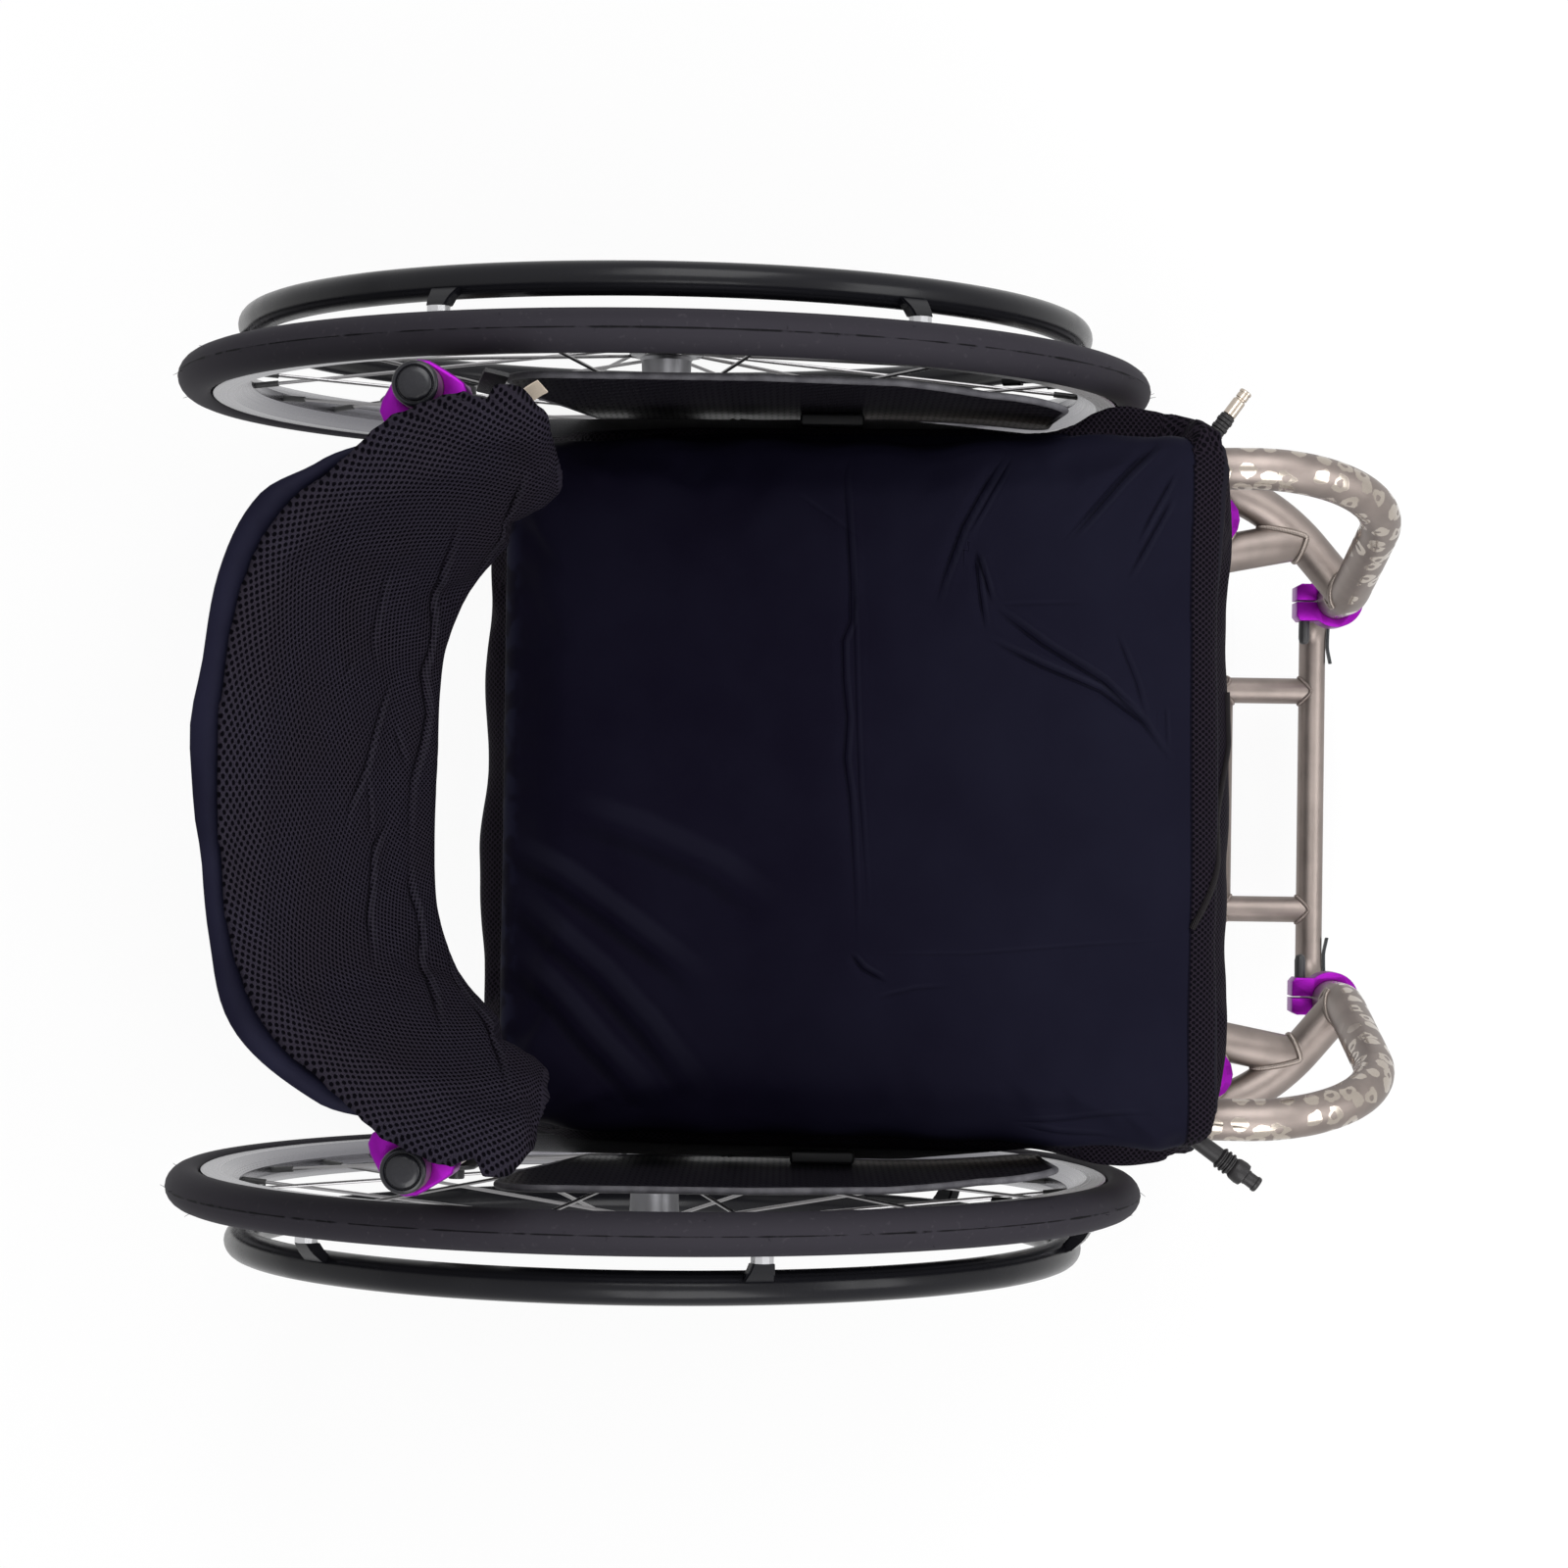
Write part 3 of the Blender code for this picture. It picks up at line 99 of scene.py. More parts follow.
across = Vector((math.sin(ROLL), -math.cos(ROLL), 0))
level = Vector((math.cos(ROLL), math.sin(ROLL), 0))
above = level * math.cos(TILT) + Vector((0, 0, math.sin(TILT)))
away = -level * math.sin(TILT) + Vector((0, 0, math.cos(TILT)))
camera = linked("camera", bpy.data.cameras.new("camera"))
camera.data.lens = LENS_MM
camera.data.sensor_width = 36.0
camera.matrix_world = Matrix.Translation(EYE) @ Matrix((across, above, away)).transposed().to_4x4()
scene.camera = camera

for name, place, aim, size, power in (
        ("soft_box_left", (1.7, -0.3, 2.5), (0, 0, 0.3), (1.5, 2.2), 50.0),
        ("soft_box_right", (-1.7, -0.3, 2.5), (0, 0, 0.3), (1.5, 2.2), 50.0),
        ("soft_box_front", (0.0, -2.4, 1.9), (0, 0, 0.3), (2.4, 1.0), 30.0)):
    lamp = linked(name, bpy.data.lights.new(name, "AREA"))
    lamp.data.shape = "RECTANGLE"
    lamp.data.size, lamp.data.size_y = size
    lamp.data.energy = power
    lamp.location = place
    lamp.rotation_euler = (Vector(aim) - Vector(place)).to_track_quat("-Z", "Y").to_euler()

world = bpy.data.worlds.new("surround")
world.use_nodes = True
scene.world = world
tree = world.node_tree
surround = tree.nodes["Background"]
seen = tree.nodes.new("ShaderNodeBackground")
seen.inputs["Color"].default_value = (1, 1, 1, 1)
surround.inputs["Color"].default_value = (1, 1, 1, 1)
surround.inputs["Strength"].default_value = 0.50
white_when_seen(tree, surround.outputs[0], seen.outputs[0], tree.nodes["World Output"].inputs["Surface"])

floor_shape = bmesh.new()
bmesh.ops.create_grid(floor_shape, x_segments=1, y_segments=1, size=FLOOR_HALF)
floor = linked("floor", mesh_of(floor_shape, "floor"))
floor.location.z = FLOOR_Z
paper = bpy.data.materials.new("paper")
paper.use_nodes = True
tree = paper.node_tree
tree.nodes["Principled BSDF"].inputs["Base Color"].default_value = (0.82, 0.82, 0.82, 1)
tree.nodes["Principled BSDF"].inputs["Roughness"].default_value = 0.9
white = tree.nodes.new("ShaderNodeEmission")
white_when_seen(tree, tree.nodes["Principled BSDF"].outputs[0], white.outputs[0],
                tree.nodes["Material Output"].inputs["Surface"], FLOOR_WHITE)
floor.data.materials.append(paper)


# The frame: bent titanium tubes, coped, welded to each other and blasted with fine grit. The seat
# tubes run on as the front legs, and their front is masked and polished in a leopard pattern.
AXLE_Y, AXLE_Z = 0.07875, 0.3045
TUBE_R, TUBE_WALL = 0.0127, 0.0016
SEAT_X, SEAT_Z = 0.2110, 0.3720                # the axes of the seat tubes, at the rear axle
SEAT_RISE = 0.084                              # towards the front, per metre
LEG_X, LEG_Y, LEG_END_Z = 0.1330, -0.4435, 0.1500
RAIL_Z = 0.2220
CASTER_X, CASTER_Y = 0.1785, -0.3520
BARREL_LOW, BARREL_HIGH, BARREL_R = 0.1320, 0.2500, 0.0170
CAMBER_R, CAMBER_END = 0.0175, 0.2215
ROSETTES_FROM, ROSETTES_TO = 0.385, 0.800      # along the tube, from its rear end
BLASTED, POLISHED = (0.245, 0.208, 0.190), (0.430, 0.380, 0.330)
SIDES = ((1, "left"), (-1, "right"))


class Wire:
    """The output of a shader node, on which sums are written as on a number."""

    def __init__(self, finish, socket):
        self.finish, self.socket = finish, socket

    def sum(self, operation, first, second=0.0):
        return self.finish.add("ShaderNodeMath", {"operation": operation}, {0: first, 1: second})

    def __add__(self, other):
        return self.sum("ADD", self, other)

    def __radd__(self, other):
        return self.sum("ADD", other, self)

    def __sub__(self, other):
        return self.sum("SUBTRACT", self, other)

    def __rsub__(self, other):
        return self.sum("SUBTRACT", other, self)

    def __mul__(self, other):
        return self.sum("MULTIPLY", self, other)

    def __rmul__(self, other):
        return self.sum("MULTIPLY", other, self)

    def __truediv__(self, other):
        return self.sum("DIVIDE", self, other)

    def __pow__(self, other):
        return self.sum("POWER", self, other)

    def __mod__(self, other):
        return self.sum("FLOORED_MODULO", self, other)

    def __abs__(self):
        return self.sum("ABSOLUTE", self)

    def floor(self):
        return self.sum("FLOOR", self)

    def least(self, other):
        return self.sum("MINIMUM", self, other)

    def most(self, other):
        return self.sum("MAXIMUM", self, other)

    def rise(self, low, high):
        """0 below low, 1 above high and smooth between; it falls where low is the larger."""
        return self.finish.add(
            "ShaderNodeMapRange", {"interpolation_type": "SMOOTHSTEP"},
            {"Value": self, "From Min": low, "From Max": high})


class Finish:
    """A material of the chair, built node by node round one shader."""

    def __init__(self, name, colour, roughness, metallic=0.0, **constants):
        self.material = bpy.data.materials.new(name)
        self.material.use_nodes = True
        self.tree = self.material.node_tree
        self.shader = self.tree.nodes["Principled BSDF"]
        self.shader.inputs["Base Color"].default_value = (*colour, 1)
        self.shader.inputs["Roughness"].default_value = roughness
        self.shader.inputs["Metallic"].default_value = metallic
        for socket, value in constants.items():
            self.shader.inputs[socket.replace("_", " ")].default_value = value

    def add(self, kind, settings=None, sockets=None, output=0):
        node = self.tree.nodes.new(kind)
        settings = dict(settings or {})
        stops = settings.pop("stops", ())
        for name, value in settings.items():
            setattr(node, name, value)
        for index, (place, colour) in enumerate(stops):
            if index > 1:
                node.color_ramp.elements.new(place)
            node.color_ramp.elements[index].position = place
            node.color_ramp.elements[index].color = (*colour, 1)
        for key, value in (sockets or {}).items():
            self.plug(node.inputs[key], value)
        return Wire(self, node.outputs[output])

    def plug(self, socket, value):
        if isinstance(value, Wire):
            self.tree.links.new(socket, value.socket)
        else:
            socket.default_value = value

    def put(self, socket, value):
        self.plug(self.shader.inputs[socket], value)

    def place(self):
        """Object coordinates, in metres."""
        return self.add("ShaderNodeTexCoord", output="Object")

    def cloth(self):
        """The piece's own map, in metres along and across it."""
        return self.add("ShaderNodeUVMap", {"uv_map": "map"})

    def parts(self, vector):
        node = self.tree.nodes.new("ShaderNodeSeparateXYZ")
        self.plug(node.inputs[0], vector)
        return [Wire(self, output) for output in node.outputs]

    def vector(self, x, y, z=0.0):
        return self.add("ShaderNodeCombineXYZ", sockets={0: x, 1: y, 2: z})

    def noise(self, size, detail=2.0, vector=None, roughness=0.5, output="Fac"):
        """Noise whose grains are about that size in metres."""
        return self.add(
            "ShaderNodeTexNoise", {}, {"Vector": vector or self.place(), "Scale": 1.0 / size,
                                       "Detail": detail, "Roughness": roughness}, output)

    def mix(self, share, first, second):
        first, second = ((*tone, 1) if isinstance(tone, tuple) and len(tone) == 3 else tone
                         for tone in (first, second))
        return self.add("ShaderNodeMix", {"data_type": "RGBA"}, {0: share, 6: first, 7: second}, 2)

    def bump(self, height, distance, strength=1.0, after=None):
        sockets = {"Height": height, "Distance": distance, "Strength": strength}
        if after:
            sockets["Normal"] = after
        normal = self.add("ShaderNodeBump", {}, sockets)
        self.put("Normal", normal)
        return normal


def blasted(name, rosettes=False):
    finish = Finish(name, BLASTED, 0.44, 1.0)
    cloudy = finish.noise(0.020, 3.0)
    grit = finish.noise(0.0006, 2.0)
    colour = finish.mix(cloudy.rise(0.3, 0.7), tuple(0.90 * tone for tone in BLASTED),
                        tuple(1.10 * tone for tone in BLASTED))
    roughness = 0.40 + 0.10 * cloudy
    if rosettes:
        u, v, _ = finish.parts(finish.cloth())
        ragged = finish.noise(0.007, 2.0, finish.cloth(), output="Color")
        shift = finish.add("ShaderNodeVectorMath", {"operation": "MULTIPLY_ADD"},
                           {0: ragged, 1: (0.0060, 0.0060, 0), 2: finish.cloth()})
        cell = finish.tree.nodes.new("ShaderNodeTexVoronoi")
        cell.voronoi_dimensions = "2D"
        cell.inputs["Scale"].default_value = 68.0
        cell.inputs["Randomness"].default_value = 0.72
        finish.plug(cell.inputs["Vector"], shift)
        reach = Wire(finish, cell.outputs["Distance"])
        kind, bite, _ = finish.parts(Wire(finish, cell.outputs["Color"]))
        off = finish.add("ShaderNodeVectorMath", {"operation": "SUBTRACT"},
                         {0: finish.add("ShaderNodeVectorMath", {"operation": "SCALE"},
                                        {0: shift, "Scale": 68.0}),
                          1: finish.add("ShaderNodeVectorMath", {"operation": "SCALE"},
                                        {0: Wire(finish, cell.outputs["Position"]), "Scale": 68.0})})
        dx, dy, _ = finish.parts(off)
        turn = bite * math.tau
        facing = dx * turn.sum("COSINE", turn) + dy * turn.sum("SINE", turn)
        gap = facing.rise(0.20, 0.26)
        ring = reach.rise(0.13, 0.17) * reach.rise(0.43, 0.39) * (1 - gap)
        spot = reach.rise(0.34, 0.30)
        solid = kind.rise(0.62, 0.64)
        mark = ring * (1 - solid) + spot * solid
        round_tube = abs(v / TUBE_R)
        where = u.rise(ROSETTES_FROM, ROSETTES_FROM + 0.004) * u.rise(ROSETTES_TO, ROSETTES_TO - 0.004)
        where = where * (u.rise(0.690, 0.640)).most(round_tube.rise(1.55, 1.35))
        mark = mark * where
        colour = finish.mix(mark, colour, POLISHED)
        roughness = roughness - mark * 0.26
        grit = grit * (1 - mark * 0.85)
    finish.put("Base Color", colour)
    finish.put("Roughness", roughness)
    finish.bump(grit, 0.00006)
    return finish


def rounded(corners, radii, step):
    """The points of a bent tube's axis: straight runs joined by arcs of the given radii."""
    corners = [Vector(corner) for corner in corners]
    points = [corners[0]]
    for before, corner, after, radius in zip(corners, corners[1:], corners[2:], radii):
        arriving, leaving = (corner - before).normalized(), (after - corner).normalized()
        turn = arriving.angle(leaving)
        centre = corner + (leaving - arriving).normalized() * radius / math.cos(turn / 2)
        spoke = corner - arriving * radius * math.tan(turn / 2) - centre
        count = max(2, math.ceil(math.degrees(turn) / step))
        for index in range(count + 1):
            swing = Matrix.Rotation(turn * index / count, 3, arriving.cross(leaving))
            points.append(centre + swing @ spoke)
    return points + [corners[-1]]


def bands(shape, rings):
    """Joins each ring of vertices to the next one by a band of faces."""
    for near, far in zip(rings, rings[1:]):
        for k in range(len(near)):
            after = (k + 1) % len(near)
            shape.faces.new((near[k], near[after], far[after], far[k]))


def closed_bar(shape, rings):
    """Bands between the rings, and a face over each end."""
    bands(shape, rings)
    shape.faces.new(rings[0])
    shape.faces.new(rings[-1][::-1])
    bmesh.ops.recalc_face_normals(shape, faces=shape.faces)


def around(count):
    """That many angles, evenly round a circle."""
    return [math.tau * k / count for k in range(count)]


def mirrored(half, middle=()):
    """A profile of (radius, distance) with its other half, and what stands between the two."""
    return half + list(middle) + [(r, -d) for r, d in half[::-1]]


def pipe(path, radius, sides=40, mouth=0.0):
    """A round tube with its map along and round it; its far end is open where a mouth depth is given."""
    shape = bmesh.new()
    chart = shape.loops.layers.uv.new("map")
    path = [Vector(point) for point in path]
    rings, runs, run = [], [], 0.0
    side = None
    for index, point in enumerate(path):
        way = (path[min(index + 1, len(path) - 1)] - path[max(index - 1, 0)]).normalized()
        if side is None:
            side = (Vector((0, 0, 1)) - way * way.z).normalized() if abs(way.z) < 0.9 else Vector((0, -1, 0))
        side = (side - way * side.dot(way)).normalized()
        over = way.cross(side)
        if index:
            run += (point - path[index - 1]).length
        runs.append(run)
        rings.append([shape.verts.new(point + (side * math.cos(a) + over * math.sin(a)) * radius)
                      for a in (math.tau * k / sides - math.pi for k in range(sides))])
    for index in range(len(rings) - 1):
        for k in range(sides):
            after = (k + 1) % sides
            face = shape.faces.new((rings[index][k], rings[index][after],
                                    rings[index + 1][after], rings[index + 1][k]))
            angles = [math.tau * step / sides - math.pi for step in (k, k + 1, k + 1, k)]
            lengths = (runs[index], runs[index], runs[index + 1], runs[index + 1])
            for loop, angle, length in zip(face.loops, angles, lengths):
                loop[chart].uv = (length, angle * radius)
    shape.faces.new(rings[0][::-1])
    last = path[-1]
    way = (last - path[-2]).normalized()
    if mouth:
        inner = radius - TUBE_WALL
        share = inner / radius
        lip = [shape.verts.new(last + (vert.co - last) * share) for vert in rings[-1]]
        deep = [shape.verts.new(vert.co - way * mouth) for vert in lip]
        bands(shape, (rings[-1], lip, deep))
        shape.faces.new(deep)
    else:
        shape.faces.new(rings[-1])
    bmesh.ops.recalc_face_normals(shape, faces=shape.faces)
    return shape


def spun(profile, centre, axis, segments=64, closed=True):
    """Turns a profile of (radius, distance along the axis) about an axis."""
    axis = Vector(axis).normalized()
    side = Vector((0, 0, 1)) if abs(axis.z) < 0.9 else Vector((0, -1, 0))
    side = (side - axis * side.dot(axis)).normalized()
    shape = bmesh.new()
    points = [shape.verts.new(Vector(centre) + side * r + axis * d) for r, d in profile]
    pairs = list(zip(points, points[1:])) + ([(points[-1], points[0])] if closed else [])
    edges = [shape.edges.new(pair) for pair in pairs]
    bmesh.ops.spin(shape, geom=points + edges, cent=centre, axis=axis, dvec=(0, 0, 0),
                   angle=math.tau, steps=segments, use_merge=True)
    bmesh.ops.remove_doubles(shape, verts=shape.verts, dist=0.000005)
    bmesh.ops.recalc_face_normals(shape, faces=shape.faces)
    return shape


def fitted(name, shape, finish, body, smooth=40.0):
    """Makes a shape that is written from the axle a piece of the chair, riding on its body."""
    bmesh.ops.translate(shape, verts=shape.verts, vec=(0, AXLE_Y, 0))
    mesh = mesh_of(shape, name)
    mesh.shade_smooth()
    mesh.set_sharp_from_angle(angle=math.radians(smooth))
    mesh.materials.append(finish.material)
    piece = linked(name, mesh)
    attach(piece, body)
    return piece


def solid_of(node):
    """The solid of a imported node, written from the axle."""
    shape = bmesh.new()
    shape.from_mesh(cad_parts[node].data)
    bmesh.ops.translate(shape, verts=shape.verts, vec=(0, -AXLE_Y, 0))
    return shape


def painted(finish, *nodes):
    """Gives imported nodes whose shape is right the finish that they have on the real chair."""
    for node in nodes:
        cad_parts[node].material_slots[0].material = finish.material


def growth(name, sockets):
    """An empty Geometry Nodes tree with its named inputs: (tree, the nodes' maker, in, out)."""
    tree = bpy.data.node_groups.new(name, "GeometryNodeTree")
    tree.interface.new_socket("Geometry", in_out="INPUT", socket_type="NodeSocketGeometry")
    for word, kind, value in sockets:
        socket = tree.interface.new_socket(word, in_out="INPUT", socket_type="NodeSocket" + kind)
        if value is not None:
            socket.default_value = value
    tree.interface.new_socket("Geometry", in_out="OUTPUT", socket_type="NodeSocketGeometry")

    def add(kind, links=None, **settings):
        node = tree.nodes.new(kind)
        for key, value in settings.items():
            setattr(node, key, value)
        for key, value in (links or {}).items():
            if isinstance(value, bpy.types.NodeSocket):
                tree.links.new(node.inputs[key], value)
            else:
                node.inputs[key].default_value = value
        return node

    return tree, add, add("NodeGroupInput"), add("NodeGroupOutput")


def grown(name, seed_mesh, tree, values, body):
    """Runs a Geometry Nodes tree on a mesh and keeps the result as a plain piece."""
    seed = linked(name + "_seed", seed_mesh)
    step = seed.modifiers.new("grow", "NODES")
    step.node_group = tree
    for item in tree.interface.items_tree:
        if item.in_out == "INPUT" and item.name in values:
            step[item.identifier] = values[item.name]
    graph = bpy.context.evaluated_depsgraph_get()
    graph.update()
    mesh = bpy.data.meshes.new_from_object(seed.evaluated_get(graph))
    mesh.name = name
    for item in (seed, values.get("Copied")):
        if item:
            bpy.data.objects.remove(item)
    piece = linked(name, mesh)
    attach(piece, body)
    return piece


bead_row, add, given, made = growth("row of weld beads", (
    ("Pitch", "Float", 0.001), ("Bead", "Float", 0.0016), ("Flatness", "Float", 0.55),
    ("Finish", "Material", None)))
line = add("GeometryNodeMeshToCurve", {"Mesh": given.outputs["Geometry"]})
line = add("GeometryNodeResampleCurve", {"Curve": line.outputs["Curve"], "Length": given.outputs["Pitch"]},
           mode="LENGTH")
tangent = add("GeometryNodeInputTangent")
turned_to = add("FunctionNodeAlignRotationToVector", {"Vector": tangent.outputs[0]}, axis="Z")
flat = add("ShaderNodeCombineXYZ", {0: 1.0, 1: 1.0, 2: given.outputs["Flatness"]})
ball = add("GeometryNodeMeshIcoSphere", {"Radius": given.outputs["Bead"], "Subdivisions": 2})
row = add("GeometryNodeInstanceOnPoints", {
    "Points": line.outputs["Curve"], "Instance": ball.outputs["Mesh"],
    "Rotation": turned_to.outputs["Rotation"], "Scale": flat.outputs[0]})
row = add("GeometryNodeRealizeInstances", {"Geometry": row.outputs["Instances"]})
row = add("GeometryNodeSetShadeSmooth", {"Geometry": row.outputs["Geometry"]})
row = add("GeometryNodeSetMaterial", {"Geometry": row.outputs["Geometry"],
                                      "Material": given.outputs["Finish"]})
bead_row.links.new(made.inputs["Geometry"], row.outputs["Geometry"])


def weld_beads(name, lines, pitch, bead, metal, body):
    """Lays beads along lines that are written from the axle."""
    bmesh.ops.translate(lines, verts=lines.verts, vec=(0, AXLE_Y, 0))
    grown(name, mesh_of(lines, name + " lines"), bead_row,
          {"Pitch": pitch, "Bead": bead, "Finish": metal.material}, body)


def seat_height(y):
    return SEAT_Z - SEAT_RISE * y


def seat_axis(side, step=2.5):
    corners = [(SEAT_X, 0.1340), (SEAT_X, -0.1500), (0.1965, -0.2900), (0.1972, -0.4520)]
    corners = [(x * side, y, seat_height(y)) for x, y in corners]
    corners += [(LEG_X * side, LEG_Y, 0.2280), (LEG_X * side, LEG_Y, LEG_END_Z)]
    return rounded(corners, (0.30, 0.30, 0.0848, 0.070), step)


def rail_axis(side, step=2.5):
    corners = [(LEG_X * side, LEG_Y, RAIL_Z), (0.2030 * side, -0.3840, RAIL_Z),
               (SEAT_X * side, -0.0450, seat_height(-0.0450))]
    return rounded(corners, (0.108,), step)


def weld_lines(line_mesh, start, end, radius, target, count=80):
    """Adds the line round a straight tube where it meets another one."""
    start, end = Vector(start), Vector(end)
    way = (end - start).normalized()
    side = way.orthogonal().normalized()
    over = way.cross(side)
    before = None
    for k in range(count + 1):
        angle = math.tau * k / count
        out = side * math.cos(angle) + over * math.sin(angle)
        hit, normal, _, _ = target.ray_cast(start + out * radius, way)
        vert = line_mesh.verts.new(hit + out * 0.0003) if hit else None
        if vert and before and (vert.co - before.co).length < 0.012:
            line_mesh.edges.new((before, vert))
        before = vert


def barrel_lines(line_mesh, side, target, count=96):
    """Adds the lines above and below a tube that passes through the side of the caster barrel."""
    for start_z, way in ((BARREL_LOW, 1), (BARREL_HIGH, -1)):
        before = None
        for k in range(count + 1):
            angle = math.tau * k / count
            spot = Vector((CASTER_X * side + BARREL_R * math.cos(angle),
                           CASTER_Y + BARREL_R * math.sin(angle), start_z))
            hit, _, _, _ = target.ray_cast(spot, Vector((0, 0, way)), BARREL_HIGH - BARREL_LOW)
            vert = line_mesh.verts.new(hit) if hit else None
            if vert and before and (vert.co - before.co).length < 0.010:
                line_mesh.edges.new((before, vert))
            before = vert


titanium = blasted("blasted titanium")
leopard = blasted("titanium with polished rosettes", rosettes=True)
bead_metal = Finish("weld bead", (0.290, 0.250, 0.225), 0.36, 1.0)
bead_metal.put("Roughness", 0.30 + 0.2 * bead_metal.noise(0.002))

welds = bmesh.new()
for side, word in SIDES:
    seat = pipe(seat_axis(side), TUBE_R, mouth=0.030)
    rail = pipe(rail_axis(side), TUBE_R)
    front, rear = Vector((0.1685 * side, -0.4137, RAIL_Z)), Vector((0.0844 * side, 0, AXLE_Z))
    strut = pipe([front, rear], TUBE_R)
    seat_tree, rail_tree, strut_tree = (BVHTree.FromBMesh(shape) for shape in (seat, rail, strut))
    camber_tree = BVHTree.FromBMesh(pipe([(-CAMBER_END, 0, AXLE_Z), (CAMBER_END, 0, AXLE_Z)], CAMBER_R))
    rail_points = rail_axis(side)
    weld_lines(welds, rail_points[1], rail_points[0], TUBE_R, seat_tree)
    weld_lines(welds, rail_points[-2], rail_points[-1], TUBE_R, seat_tree)
    weld_lines(welds, rear, front, TUBE_R, rail_tree)
    weld_lines(welds, front, rear, TUBE_R, camber_tree)
    barrel_lines(welds, side, rail_tree)
    barrel_lines(welds, side, strut_tree)
    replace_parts(fitted(word + "_front_frame_tube", seat, leopard, "frame"), word + "_seat_tube")
    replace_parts(fitted(word + "_rail_tube", rail, titanium, "frame"), word + "_lower_rail")
    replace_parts(fitted(word + "_strut_tube", strut, titanium, "frame"), word + "_inner_strut")
    painted(titanium, word + "_caster_housing")
painted(titanium, "camber_tube")
weld_beads("frame_weld_beads", welds, 0.0010, 0.0020, bead_metal, "frame")


# The bolted fittings' finishes: black anodised for the clamps that hang the camber tube and for the cheeks of
# the folding back, purple for the footrest's collars; all are milled from bar and screwed. Here the caster caps
# and axle receivers are painted and socket bolts are set in the back's hinge; the fittings themselves are made
# in later sections.
def anodised(name, colour, roughness, metallic):
    finish = Finish(name, colour, roughness, metallic)
    cloud = finish.noise(0.012, 2.0)
    finish.put("Roughness", (roughness - 0.05) + 0.12 * cloud)
    finish.put("Base Color", finish.mix(cloud.rise(0.2, 0.8), tuple(0.86 * tone for tone in colour), colour))
    finish.bump(finish.noise(0.0005, 1.0), 0.00003)
    return finish


purple = anodised("purple anodised alloy", (0.215, 0.005, 0.275), 0.38, 0.92)
black_alloy = anodised("black anodised alloy", (0.015, 0.015, 0.017), 0.44, 0.3)
turned_alloy = anodised("turned alloy", (0.560, 0.560, 0.575), 0.28, 1.0)
black_plastic = anodised("black moulded plastic", (0.020, 0.020, 0.022), 0.46, 0.0)
bolt_black = anodised("blackened bolt steel", (0.030, 0.030, 0.032), 0.34, 0.7)
for side, word in SIDES:
    painted(purple, word + "_caster_cap")
    painted(turned_alloy, word + "_axle_receiver")


def socket_bolt():
    """A socket-head bolt of 1 m head radius, standing on its seat along +Z."""
    hexagon = [(0.52 * math.cos(a), 0.52 * math.sin(a)) for a in around(6)]
    shape = bmesh.new()
    rings = []
    for radius, height in ((1.0, 0.0), (1.0, 1.05), (0.93, 1.18), (0.74, 1.20)):
        rings.append([shape.verts.new((radius * math.cos(a), radius * math.sin(a), height))
                      for a in around(24)])
    for height in (1.20, 0.55):
        ring = []
        for k in range(24):
            spot = 6 * k / 24
            a, b = hexagon[int(spot) % 6], hexagon[(int(spot) + 1) % 6]
            part = spot - int(spot)
            ring.append(shape.verts.new((a[0] + (b[0] - a[0]) * part, a[1] + (b[1] - a[1]) * part, height)))
        rings.append(ring)
    bands(shape, rings)
    shape.faces.new(rings[-1])
    shape.faces.new(rings[0][::-1])
    return mesh_of(shape, "socket bolt")


copies, add, given, made = growth("copies of one piece", (
    ("Copied", "Object", None), ("Finish", "Material", None)))
turn = add("GeometryNodeInputNamedAttribute", {"Name": "turn"}, data_type="FLOAT_VECTOR")
size = add("GeometryNodeInputNamedAttribute", {"Name": "size"}, data_type="FLOAT_VECTOR")
piece = add("GeometryNodeObjectInfo", {"Object": given.outputs["Copied"]})
angle = add("FunctionNodeEulerToRotation", {0: turn.outputs[0]})
row = add("GeometryNodeInstanceOnPoints", {
    "Points": given.outputs["Geometry"], "Instance": piece.outputs["Geometry"],
    "Rotation": angle.outputs[0], "Scale": size.outputs[0]})
row = add("GeometryNodeRealizeInstances", {"Geometry": row.outputs["Instances"]})
row = add("GeometryNodeSetMaterial", {"Geometry": row.outputs["Geometry"],
                                      "Material": given.outputs["Finish"]})
copies.links.new(made.inputs["Geometry"], row.outputs["Geometry"])


def repeated(name, template, places, finish, body, smooth=35.0):
    """Copies of a mesh at each (point from the axle, way of its +Z, size), through Geometry Nodes."""
    mesh = bpy.data.meshes.new(name + " places")
    mesh.from_pydata([Vector(spot) + Vector((0, AXLE_Y, 0)) for spot, _, _ in places], [], [])
    turns = mesh.attributes.new("turn", "FLOAT_VECTOR", "POINT")
    sizes = mesh.attributes.new("size", "FLOAT_VECTOR", "POINT")
    for index, (_, way, size) in enumerate(places):
        turns.data[index].vector = Vector(way).to_track_quat("Z", "Y").to_euler()
        sizes.data[index].vector = size if isinstance(size, tuple) else (size, size, size)
    copied = linked("copied", template)
    piece = grown(name, mesh, copies, {"Copied": copied, "Finish": finish.material}, body)
    piece.data.shade_smooth()
    piece.data.set_sharp_from_angle(angle=math.radians(smooth))
    return piece


PIVOT_Y, PIVOT_Z = 0.1120, 0.4550              # the hinge of the back
bolt = socket_bolt()
places = []
for side, word in SIDES:
    for x, way in ((0.2281, side), (0.1959, -side)):
        places.append(((side * x, PIVOT_Y, PIVOT_Z), (way, 0, 0), 0.0048))
repeated("frame_bolts", bolt, places, bolt_black, "frame")


